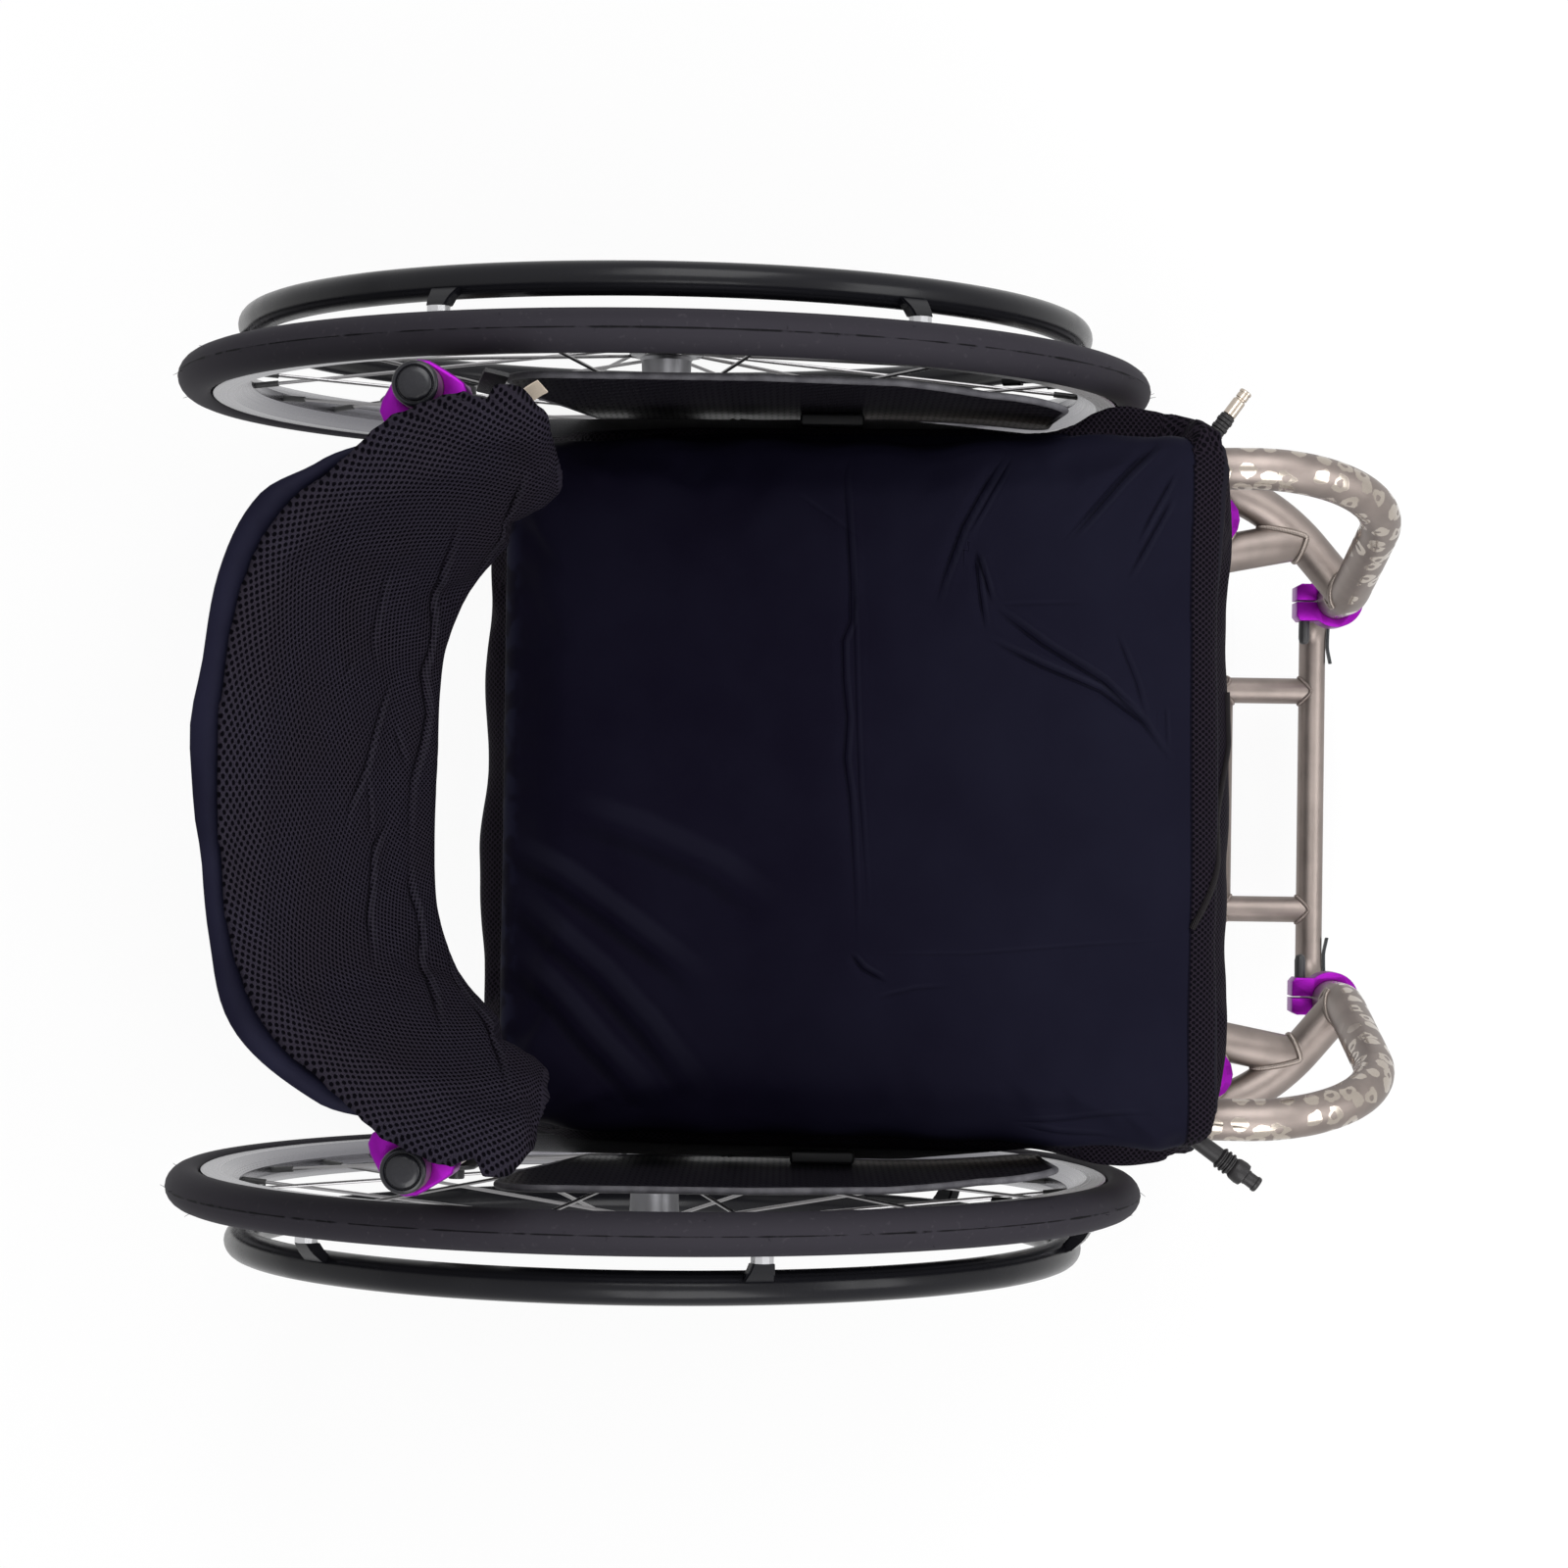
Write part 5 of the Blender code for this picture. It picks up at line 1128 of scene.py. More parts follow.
wall = sling.modifiers.new("cloth thickness", "SOLIDIFY")
wall.thickness, wall.offset = SLING_T, 0.0
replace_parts(sling, "seat_sling")
hems = []
for y in (SLING_FRONT_Y + 0.0010, SLING_REAR_Y - 0.0010):
    hems.append(pipe([sling_point(math.sin(math.pi / 2 * (k / 24 - 1)), y, 0.0014) for k in range(49)],
                     0.0020, 12))
fitted("sling_hems", together(hems), sling_cloth, "frame", 60)
sleeves = []
for side, word in SIDES:
    route = []
    for k in range(41):
        y = SLING_REAR_Y + (SLING_FRONT_Y - SLING_REAR_Y) * k / 40
        route.append((sling_point(side, y).x - 0.0018 * side, y, seat_height(y)))
    sleeves.append(pipe(route, TUBE_R + 0.0012, 32))
fitted("sling_sleeves", together(sleeves), sling_cloth, "frame", 60)

# The line where the smooth top of the cover is sewn to the mesh: it stands back from the front edge, and
# most of all from the front corners, where the cover is gathered.
seam_corners = [(0.0, 0.0905), (-0.2070, 0.0905), (-0.2060, -0.1300), (-0.2090, -0.2200),
                (-0.2120, -0.3165), (-0.1300, -0.3155), (-0.0500, -0.3165), (0.0420, -0.3150),
                (0.1400, -0.3138), (0.2135, -0.3160), (0.2125, -0.2500), (0.2115, -0.1500),
                (0.2110, 0.0905), (0.0, 0.0905)]
seam_corners = [(x, y, 0.0) for x, y in seam_corners]
seam_radii = (0.032, 1.0, 1.0, 0.009, 1.0, 1.0, 1.0, 1.0, 0.014, 0.8, 1.2, 0.032)


def even(points, step):
    """The same line with its points that far apart."""
    found, carried = [points[0]], 0.0
    for near, far in zip(points, points[1:]):
        length = (far - near).length
        while carried + length >= step:
            near = near.lerp(far, (step - carried) / length)
            length = (far - near).length
            carried = 0.0
            found.append(near)
        carried += length
    return found


SEAM_STEP = 0.001
seam = even(rounded(seam_corners, seam_radii, 4.0), SEAM_STEP)
seam_tree = KDTree(len(seam))
for index, spot in enumerate(seam):
    seam_tree.insert(spot, index)
seam_tree.balance()


def from_seam(x, y):
    """Run along the seam and distance outside it, both in metres."""
    spot, index, distance = seam_tree.find((x, y, 0))
    after = seam[(index + 1) % len(seam)]
    before = seam[index - 1]
    way = (after - before).normalized()
    off = Vector((x, y, 0)) - spot
    outside = way.x * off.y - way.y * off.x
    return index * SEAM_STEP + off.dot(way), math.copysign(distance, -outside)


def plain(thing, name):
    """The mesh that an object shows, as a mesh of its own."""
    graph = bpy.context.evaluated_depsgraph_get()
    graph.update()
    mesh = bpy.data.meshes.new_from_object(thing.evaluated_get(graph))
    mesh.name = name
    return mesh


def blown(mesh, held, cap, voxel, pressure=4.0):
    """Fills a closed cover with air: an even mesh, a cloth that swells to the cap, one subdivision."""
    cover = linked("cover", mesh)
    even_mesh = cover.modifiers.new("even mesh", "REMESH")
    even_mesh.mode, even_mesh.voxel_size, even_mesh.adaptivity = "VOXEL", voxel, 0.0
    cover.data = plain(cover, "even cover")
    cover.modifiers.clear()
    start = [vert.co.copy() for vert in cover.data.vertices]
    pins = cover.vertex_groups.new(name="held")
    for index, spot in enumerate(start):
        pins.add([index], held(spot), "REPLACE")
    cloth = cover.modifiers.new("air", "CLOTH")
    cloth.settings.use_pressure = True
    cloth.settings.uniform_pressure_force = pressure
    cloth.settings.vertex_group_mass = "held"
    cloth.settings.effector_weights.gravity = 0.0
    cloth.point_cache.frame_start, cloth.point_cache.frame_end = 1, 20
    for number in range(1, 21):
        scene.frame_set(number)
    swollen = plain(cover, "swollen cover")
    scene.frame_set(1)
    cover.modifiers.clear()
    for vert, before, after in zip(cover.data.vertices, start, swollen.vertices):
        step = after.co - before
        vert.co = before + step * min(1.0, cap / max(step.length, 0.00001))
    finer = cover.modifiers.new("finer", "SUBSURF")
    finer.levels = finer.render_levels = 1
    mesh = plain(cover, "blown cover")
    bpy.data.objects.remove(cover)
    return mesh


shape = solid_of("seat_cushion")
bmesh.ops.remove_doubles(shape, verts=shape.verts, dist=0.00002)
bmesh.ops.recalc_face_normals(shape, faces=shape.faces)
slim = AIR_SWELL
for vert in shape.verts:
    x, y, z = vert.co
    rest = sling_point(x / SEAT_X, y).z
    high = limited((z - rest) / 0.030)
    beside_guard = 1.0 if y > -0.2450 else max(0.35, 1 - (-0.2450 - y) / 0.030)
    vert.co.x -= math.copysign(slim * high * beside_guard * min(1.0, (abs(x) / CUSHION_HALF) ** 6), x)
    if z > rest + 0.045:
        vert.co.z -= 0.0030


def cushion_held(spot):
    return 1.0 if spot.z < sling_under(spot.x, spot.y) + 0.010 else 0.0


cover = blown(mesh_of(shape, "cushion cover"), cushion_held, AIR_SWELL, VOXEL)
# Folds of the cover: each has its lane, width, depth and the points it runs through. Folds side by side lie in
# different lanes. Their points were picked in the photo and laid on the cover through the camera's view. The
# broad folds at the back lie where the top is slack.
FOLDS = (
    (0, 0.0030, 0.0017, ((0.1969, -0.1137), (0.1838, -0.1101), (0.1607, -0.1119), (0.1202, -0.1147),
                         (0.0971, -0.1151), (0.0854, -0.1103), (0.0623, -0.1112), (0.0392, -0.1138),
                         (0.0161, -0.1124), (-0.0070, -0.1159), (-0.0560, -0.1192), (-0.0906, -0.1206))),
    (1, 0.0024, 0.0010, ((0.1404, -0.1168), (0.0900, -0.1172), (0.0277, -0.1198), (-0.0011, -0.1213),
                         (-0.0329, -0.1241), (-0.0761, -0.1276))),
    (0, 0.0032, 0.0026, ((0.1973, -0.2042), (0.1792, -0.1934), (0.1530, -0.1793), (0.1210, -0.1682),
                         (0.1064, -0.1641))),
    (1, 0.0024, 0.0014, ((0.1960, -0.2085), (0.1750, -0.1975), (0.1480, -0.1830))),
    (0, 0.0026, 0.0022, ((0.1380, -0.1876), (0.1242, -0.1919), (0.1075, -0.1973))),
    (1, 0.0026, 0.0022, ((0.1380, -0.1876), (0.1155, -0.1897), (0.0924, -0.1932))),
    (0, 0.0034, 0.0032, ((0.1055, -0.1973), (0.0842, -0.2265), (0.0630, -0.2615), (0.0345, -0.2922))),
    (1, 0.0030, 0.0026, ((0.0866, -0.1947), (0.0712, -0.2267), (0.0572, -0.2615), (0.0402, -0.2849),
                         (0.0159, -0.3040))),
    (2, 0.0020, 0.0006, ((0.1064, -0.2002), (0.1083, -0.2522))),
    (0, 0.0030, 0.0026, ((0.2052, -0.2943), (0.1803, -0.2715), (0.1452, -0.2416))),
    (1, 0.0024, 0.0014, ((0.2020, -0.2895), (0.1770, -0.2660), (0.1440, -0.2375))),
    (0, 0.0028, 0.0018, ((0.1721, -0.3020), (0.1487, -0.2893), (0.1225, -0.2752))),
    (1, 0.0026, 0.0018, ((0.1865, -0.3032), (0.1603, -0.2891), (0.1428, -0.2807))),
    (2, 0.0026, 0.0012, ((0.0906, -0.2698), (0.0618, -0.2817), (0.0417, -0.2878))),
    (2, 0.0020, 0.0008, ((0.0500, -0.2990), (0.0250, -0.3005))),
    (0, 0.0028, 0.0022, ((-0.0979, -0.1178), (-0.1065, -0.1251), (-0.1135, -0.1382))),
    (2, 0.0018, 0.0006, ((-0.0980, -0.1279), (-0.0969, -0.1856), (-0.0911, -0.2490), (-0.0865, -0.3096))),
    (1, 0.0022, 0.0008, ((-0.1237, -0.1326), (-0.1175, -0.1570), (-0.1158, -0.1772))),
    (0, 0.0026, 0.0010, ((-0.1955, -0.2129), (-0.1916, -0.2533), (-0.1877, -0.2965))),
    (1, 0.0026, 0.0010, ((-0.1973, -0.2187), (-0.2042, -0.2765))),
    (2, 0.0020, 0.0006, ((0.1718, -0.0822), (0.1435, -0.1216))),
    (2, 0.0150, 0.0012, ((-0.0238, 0.0522), (-0.0376, 0.0087), (-0.0572, -0.0349), (-0.0827, -0.0699))),
    (0, 0.0130, 0.0022, ((-0.0450, 0.0880), (-0.0620, 0.0560), (-0.0840, 0.0250), (-0.1120, -0.0130),
                         (-0.1250, -0.0280))),
    (1, 0.0130, 0.0026, ((-0.0720, 0.0890), (-0.0950, 0.0620), (-0.1188, 0.0335), (-0.1480, 0.0060),
                         (-0.1760, -0.0160), (-0.1929, -0.0282))),
    (2, 0.0130, 0.0024, ((-0.1080, 0.0860), (-0.1340, 0.0580), (-0.1592, 0.0358), (-0.1800, 0.0150),
                         (-0.1962, 0.0035))))
# Soft pits at the front corners: x, y, width and depth.
POCKETS = ((0.2125, -0.3120, 0.0070, 0.0045), (0.2060, -0.3170, 0.0060, 0.0040),
           (-0.2065, -0.3080, 0.0070, 0.0055), (-0.2040, -0.3130, 0.0060, 0.0030))
# The rim of the cover, which bulges over its seam and furthest at the front corners. It was worked out
# from the outline in the photo and corrected beside renders.
FRONT_RIM = ((0.2130, -0.2050), (0.2150, -0.2250), (0.2185, -0.2400), (0.2290, -0.2600), (0.2336, -0.2728),
             (0.2322, -0.2860), (0.2300, -0.2960), (0.2275, -0.3068), (0.2248, -0.3180), (0.2205, -0.3275),
             (0.2143, -0.3350), (0.2063, -0.3400), (0.1954, -0.3424), (0.1161, -0.3412), (0.0812, -0.3412),
             (0.0462, -0.3428), (0.0113, -0.3433), (-0.0062, -0.3441), (-0.0412, -0.3428),
             (-0.0935, -0.3428), (-0.1284, -0.3450),
             (-0.1650, -0.3443), (-0.1882, -0.3411), (-0.2115, -0.3298), (-0.2252, -0.3011),
             (-0.2256, -0.2721), (-0.2172, -0.2427), (-0.2120, -0.2150))
REAR_RIM = ((-0.1900, 0.0970), (-0.1650, 0.1020), (-0.1230, 0.1036), (-0.1056, 0.1033), (-0.0882, 0.1053),
            (-0.0533, 0.1064), (-0.0358, 0.1073), (-0.0183, 0.1052), (-0.0008, 0.1020), (0.0167, 0.1017),
            (0.0341, 0.1031), (0.0516, 0.1051), (0.0691, 0.1054), (0.0866, 0.1039), (0.1041, 0.1018),
            (0.1157, 0.1026), (0.1650, 0.1020), (0.1900, 0.0970))
# How far the mesh hangs out at the left front corner, by the distance from the axle.
LEFT_LOBE = ((-0.2350, 0.0), (-0.2500, 0.0050), (-0.2600, 0.0110), (-0.2700, 0.0145), (-0.2800, 0.0150),
             (-0.2900, 0.0135), (-0.3050, 0.0110), (-0.3200, 0.0075), (-0.3320, 0.0035), (-0.3420, 0.0))


def fold_runs(folds):
    """Each fold's straight runs: lane, width, depth, start, way, length, run before it, whole run."""
    runs = []
    for lane, width, depth, points in folds:
        points = [Vector((*point, 0.0)[:3]) for point in points]
        lengths = [(far - near).length for near, far in zip(points, points[1:])]
        before = 0.0
        for near, far, length in zip(points, points[1:], lengths):
            runs.append((lane, width, depth, near, (far - near) / length, length, before, sum(lengths)))
            before += length
    return runs


FAR_OFF = (6.0, 0.0, 0.0)                      # widths away, strength and depth where no fold is near
RIM_PULL_IN, RIM_PULL_OUT = 0.004, 0.022       # the most that an edge is drawn in or out


def at_folds(spot, up, runs):
    """For each lane: how many widths beside its nearest fold a point is, how strong and how deep."""
    found = [FAR_OFF] * 3
    for lane, width, depth, start, way, length, before, whole in runs:
        off = spot - start
        run = off.dot(way)
        if -6 * width < run < length + 6 * width:
            inside = min(length, max(0.0, run))
            off -= way * inside
            wide = off.length / width
            if wide < abs(found[lane][0]):
                share = (before + inside) / whole
                ends = min(1.0, share / 0.20, (1 - share) / 0.30) * min(1.0, max(0.0, 3.0 - wide) / 1.2)
                found[lane] = (math.copysign(wide, up.cross(way).dot(off)), ends, depth)
    return found


def fold_drop(found):
    """How far the cloth lies below its smooth surface: a valley with a lip on one side."""
    return sum(depth * share * (math.exp(-wide * wide) - 0.5 * math.exp(-((wide - 1.6) / 0.8) ** 2))
               for wide, share, depth in found)


def keep_folds(mesh, places):
    """Keeps each vertex's place on the folds with the mesh, for its finish."""
    for name in ("fold_off", "fold_share"):
        mesh.attributes.new(name, "FLOAT_VECTOR", "POINT")
    offs, shares = mesh.attributes["fold_off"].data, mesh.attributes["fold_share"].data
    for index, found in enumerate(places):
        offs[index].vector = [wide for wide, _, _ in found]
        shares[index].vector = [share * min(1.0, depth / 0.0022) for _, share, depth in found]


def painted_fold_light(finish):
    """Masks of the folds kept with the mesh, for their bumps and for the shade painted in their bottoms and the
    highlight painted on their lips.
    """
    offs = finish.parts(finish.add("ShaderNodeAttribute", {"attribute_name": "fold_off"}, output="Vector"))
    shares = finish.parts(finish.add("ShaderNodeAttribute", {"attribute_name": "fold_share"},
                                     output="Vector"))
    fold_bottom_painted_shade = sum(abs(off).rise(0.45, 0.05) * share for off, share in zip(offs, shares))
    fold_lip_painted_highlight = sum(abs(off - 1.10).rise(0.60, 0.15) * share for off, share in zip(offs, shares))
    return fold_bottom_painted_shade, fold_lip_painted_highlight


def folded(spot, found):
    x, y, z = spot
    rest = sling_under(x, y)
    high = limited((z - rest - 0.020) / 0.030)
    if high <= 0:
        return spot
    run, out = from_seam(x, y)
    drop = fold_drop(found)
    drop += sum(deep * math.exp(-((x - px) ** 2 + (y - py) ** 2) / wide ** 2)
                for px, py, wide, deep in POCKETS)
    if -0.004 < out < 0.004:
        drop += 0.0010 * math.cos(out / 0.004 * math.pi / 2) ** 2
    if y > 0.068 and out < 0:
        near_rear = min(1.0, (y - 0.068) / 0.012) * min(1.0, -out / 0.002)
        drop += 0.0026 * near_rear * (0.5 + 0.5 * math.cos(x * 210 + 1.5 * math.sin(x * 33)))
    broad = noise.noise(Vector((x * 14, y * 14, 3.1))) * 0.0016
    fine = noise.noise(Vector((x * 45, y * 45, 7.7))) * 0.0007
    spot = Vector((x, y, z - (drop - broad - fine) * high))
    side = 1 if x > 0 else -1
    flank = limited((abs(x) - 0.172) / 0.030)
    sunk = math.exp(-((y + 0.155) / 0.060) ** 2) * (0.0045 if side > 0 else 0.0010)
    spot.x += side * high * flank * (0.0012 * math.sin(y * 95 + side) - sunk)
    return spot


def drawn_out(mesh, middle, rims):
    """Draws the edge of the cover out from its seam until it stands on the rims."""
    farthest, widest, places = [0.0] * 360, [0.003] * 360, []
    for vert in mesh.vertices:
        out = from_seam(vert.co.x, vert.co.y)[1]
        way = vert.co.xy - middle
        turn = math.degrees(math.atan2(way.x, way.y)) % 360
        places.append((turn, out))
        farthest[int(turn)] = max(farthest[int(turn)], way.length)
        widest[int(turn)] = max(widest[int(turn)], out)
    push = [0.0] * 360
    for rim in rims:
        polar = sorted((math.degrees(math.atan2(x - middle.x, y - middle.y)) % 360,
                        math.hypot(x - middle.x, y - middle.y)) for x, y in rim)
        if polar[-1][0] - polar[0][0] > 300:
            polar = sorted(((turn + 180) % 360 - 180, reach) for turn, reach in polar)
        for (near, low), (far, high) in zip(polar, polar[1:]):
            for turn in range(math.ceil(near), math.floor(far) + 1):
                reach = low + (high - low) * (turn - near) / max(0.01, far - near)
                now = sum(max(farthest[(turn + k + j) % 360] for j in (-1, 0)) for k in (-1, 0, 1)) / 3
                push[turn % 360] = max(-RIM_PULL_IN, min(RIM_PULL_OUT, reach - now))
    push = [sum(push[(turn + k) % 360] for k in range(-2, 3)) / 5 for turn in range(360)]
    widest = [sum(widest[(turn + k) % 360] for k in range(-3, 4)) / 7 for turn in range(360)]
    for vert, (turn, out) in zip(mesh.vertices, places):
        if out > 0:
            low = int(turn)
            much = push[low] + (push[(low + 1) % 360] - push[low]) * (turn - low)
            share = min(1.0, out / widest[low])
            way = (vert.co.xy - middle).normalized() * much * share * share * (3 - 2 * share)
            vert.co.x += way.x
            vert.co.y += way.y


fold_lines = fold_runs(FOLDS)
places = []
for vert in cover.vertices:
    places.append(at_folds(Vector((vert.co.x, vert.co.y, 0)), Vector((0, 0, 1)), fold_lines)
                  if vert.co.z > 0.440 else [FAR_OFF] * 3)
    vert.co = folded(vert.co, places[-1])
keep_folds(cover, places)
for vert in cover.vertices:
    x, y, z = vert.co
    for (rear, wide), (fore, wider) in zip(LEFT_LOBE, LEFT_LOBE[1:]):
        if x > 0.200 and fore < y <= rear:
            lobe = wide + (wider - wide) * (rear - y) / (rear - fore)
            lobe *= min(1.0, max(0.0, from_seam(x, y)[1]) / 0.0025)
            vert.co.x += lobe * limited((z - 0.380) / 0.040)
drawn_out(cover, Vector((0, -0.1200)), (FRONT_RIM, REAR_RIM))
shape = bmesh.new()
shape.from_mesh(cover)
chart = shape.loops.layers.uv.new("map")
whole = len(seam) * SEAM_STEP
top_tree = BVHTree.FromBMesh(shape)
seam_z = []
for spot in seam[::10]:
    hit = top_tree.ray_cast(Vector((spot.x, spot.y, 0.60)), Vector((0, 0, -1)))[0]
    seam_z.append(hit.z if hit else seam_z[-1])
lay = {}
for vert in shape.verts:
    run, out = from_seam(vert.co.x, vert.co.y)
    drop = max(0.0, seam_z[int(run * 100) % len(seam_z)] - vert.co.z)
    lay[vert] = (run, math.hypot(out, drop) if out > 0 else out)
    if vert.co.z < sling_under(vert.co.x, vert.co.y) + 0.030 and out <= 0:
        lay[vert] = (run, drop - out)
for face in shape.faces:
    runs = [lay[vert][0] for vert in face.verts]
    wraps = max(runs) - min(runs) > whole / 2
    for loop in face.loops:
        run, out = lay[loop.vert]
        loop[chart].uv = (run + (whole if wraps and run < whole / 2 else 0), out)
cover_finish = Finish("navy cover with spacer mesh", NAVY, 0.74, Specular_IOR_Level=0.03)
run, out, _ = cover_finish.parts(cover_finish.cloth())
x, y, z = cover_finish.parts(cover_finish.place())


def holes(finish, along, across, pitch, row, radius):
    """1 in the holes of a spacer mesh whose rows are set off by half a pitch."""
    line = (across / row).floor()
    shift = (line % 2.0) * 0.5
    px = ((along / pitch + shift) % 1.0 - 0.5) * pitch
    py = ((across / row) % 1.0 - 0.5) * row
    return ((px * px + py * py * 0.75) ** 0.5).rise(radius, radius * 0.55)


fold_bottom_painted_shade, fold_lip_painted_highlight = painted_fold_light(cover_finish)
border = out.rise(-0.0001, 0.0003)
pierced = holes(cover_finish, run, out, 0.0034, 0.0021, 0.00115) * border
binding = out.rise(0.0185, 0.0190) * out.rise(0.0240, 0.0235)
pierced = pierced * (1 - binding)
seam_line = abs(out).rise(0.0010, 0.0002)
stitch = abs(out - 0.0016).rise(0.0005, 0.0002) * ((run / 0.0026) % 1.0).rise(0.25, 0.30)
# The smooth top is lighter towards the front, and in random clouds.
fade = cover_finish.noise(0.070, 3.0).rise(0.30, 0.75)
front = y.rise(-0.0400 + AXLE_Y, -0.3000 + AXLE_Y)
smooth = cover_finish.mix(fade * 0.30 + front * 0.75, (0.0021, 0.0015, 0.0058), (0.0058, 0.0056, 0.0128))
# Painted shade darkens the bottoms of the folds, and a painted highlight lightens their lips.
smooth = cover_finish.mix(fold_bottom_painted_shade.least(1.0) * 0.70, smooth, (0.0010, 0.0009, 0.0028))
smooth = cover_finish.mix(fold_lip_painted_highlight.least(1.0) * 0.25, smooth, (0.0180, 0.0180, 0.0310))
# Painted highlights lighten the puckers just inside the rear seam, in patches.
pucker_painted_highlight = out.rise(-0.0140, -0.0020) * y.rise(0.0650 + AXLE_Y, 0.0750 + AXLE_Y)
pucker_painted_highlight = pucker_painted_highlight * cover_finish.noise(0.013, 1.0).rise(0.44, 0.62)
smooth = cover_finish.mix(pucker_painted_highlight * 0.55, smooth, (0.0120, 0.0125, 0.0290))
fibre = cover_finish.noise(0.0006, 2.0)
smooth = cover_finish.mix(fibre.rise(0.55, 0.85) * 0.30, smooth, (0.0095, 0.0095, 0.0180))
knit = cover_finish.mix(cover_finish.noise(0.0010, 2.0), (0.0065, 0.0048, 0.0090), (0.0175, 0.0135, 0.0200))
# The spacer mesh's holes are real openings; their near-black colour is painted shade from the depth inside
# them.
colour = cover_finish.mix(border, smooth, cover_finish.mix(pierced, knit, (0.0011, 0.0008, 0.0020)))
colour = cover_finish.mix(binding, colour, (0.0085, 0.0076, 0.0120))
colour = cover_finish.mix(seam_line, colour, (0.0028, 0.0024, 0.0060))
cover_finish.put("Base Color", colour)
cover_finish.put("Roughness", 0.62 + 0.16 * fibre)
height = (fibre * 0.08 - fold_bottom_painted_shade * 1.2 + fold_lip_painted_highlight * 0.3 - pierced * 1.0 - seam_line * 1.0 + stitch * 0.3
          + border * 0.2)
cover_finish.bump(height, 0.0006)
cushion = fitted("cushion_cover", shape, cover_finish, "frame", 180)
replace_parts(cushion, "seat_cushion")

tape_cloth = Finish("ribbed edge tape", (0.0120, 0.0100, 0.0110), 0.60, Specular_IOR_Level=0.10)
u, v, _ = tape_cloth.parts(tape_cloth.cloth())
rib = abs(((u + v * 0.7) / 0.0013) % 1.0 - 0.5) * 2.0
tape_cloth.put("Base Color", tape_cloth.mix(rib.rise(0.2, 0.8), (0.0020, 0.0018, 0.0030),
                                            (0.0170, 0.0140, 0.0150)))
tape_cloth.bump(rib, 0.0004)
cover_tree = BVHTree.FromPolygons([vert.co for vert in cushion.data.vertices],
                                  [face.vertices for face in cushion.data.polygons])
tape_line = []
for k in range(41):
    share = k / 40
    x = 0.0600 + (-0.0800 - 0.0600) * share
    climb = math.radians(8 + 54 * max(0.0, share - 0.22) / 0.78)
    start = Vector((x, -0.2900 + AXLE_Y, 0.4300)) + Vector((0, -math.cos(climb), math.sin(climb))) * 0.12
    hit, normal, _, _ = cover_tree.ray_cast(start, Vector((0, math.cos(climb), -math.sin(climb))))
    tape_line.append(hit - Vector((0, AXLE_Y, 0)) + normal * 0.0006)
tape = pipe(tape_line, 0.0019, 16)
fitted("cover_edge_tape", tape, tape_cloth, "frame", 60)

# The air fittings at the front corners: a black ribbed neck with a nickel valve that turns in it, and
# a quick disconnect for the pump on the other side.
neck_rubber = Finish("ribbed neck rubber", (0.012, 0.011, 0.012), 0.42, Specular_IOR_Level=0.30)
neck_rubber.put("Roughness", 0.36 + 0.16 * neck_rubber.noise(0.0030, 3.0))
neck_rubber.bump(neck_rubber.noise(0.0007, 2.0), 0.00006)
nickel = Finish("nickel plated brass", (0.470, 0.410, 0.350), 0.22, 1.0)
nickel.put("Roughness", 0.20 + 0.12 * nickel.noise(0.004, 3.0))


def ribs(start, radius, length, count, low=0.80):
    """A ribbed profile: (radius, distance) from the start over a length."""
    pitch = length / (2 * count)
    line = []
    for index in range(2 * count):
        r = radius if index % 2 == 0 else radius * low
        edge = 0.0004
        line += [(r - edge, start + pitch * index), (r, start + pitch * index + edge),
                 (r, start + pitch * (index + 1) - edge), (r - edge, start + pitch * (index + 1))]
    return line


valve_base, valve_way = Vector((0.2060, -0.3255, VALVE_Z)), Vector((0.810, -0.586, 0)).normalized()
quick_base, quick_way = Vector((-0.2060, -0.3255, VALVE_Z)), Vector((-0.586, -0.810, 0)).normalized()
neck = [(0, -0.0060), (0.0044, -0.0060)] + ribs(0.0012, 0.0050, 0.0200, 4, 0.92) + [(0, 0.0212)]
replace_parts(fitted("ribbed_valve_neck", spun(neck, valve_base, valve_way, 40, closed=False), neck_rubber,
                   "frame"), "valve_neck")
tip = 0.0215
metal = [(0, tip), (0.0036, tip), (0.0040, tip + 0.0004), (0.0040, tip + 0.0104), (0.0036, tip + 0.0110),
         (0.0032, tip + 0.0112), (0.0032, tip + 0.0120), (0.0037, tip + 0.0124), (0.0037, tip + 0.0150),
         (0.0034, tip + 0.0152), (0.0034, tip + 0.0158), (0.0039, tip + 0.0160), (0.0039, tip + 0.0172),
         (0.0034, tip + 0.0177), (0.0020, tip + 0.0177), (0.0018, tip + 0.0160), (0, tip + 0.0160)]
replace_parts(fitted("nickel_valve", spun(metal, valve_base, valve_way, 48, closed=False), nickel,
                   "cushion_valve", 30), "cushion_valve")
line = [(0, -0.0060), (0.0050, -0.0060), (0.0052, 0.0150)] + ribs(0.0160, 0.0068, 0.0090, 3, 0.84)
line += [(0.0060, 0.0254), (0.0068, 0.0270), (0.0072, 0.0310), (0.0068, 0.0338), (0.0046, 0.0348),
         (0.0046, 0.0360), (0.0043, 0.0366), (0.0043, 0.0412), (0.0048, 0.0416), (0.0048, 0.0432),
         (0.0042, 0.0440), (0, 0.0440)]
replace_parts(fitted("pump_quick_disconnect", spun(line, quick_base, quick_way, 40, closed=False),
                   neck_rubber, "frame"), "quick_disconnect")


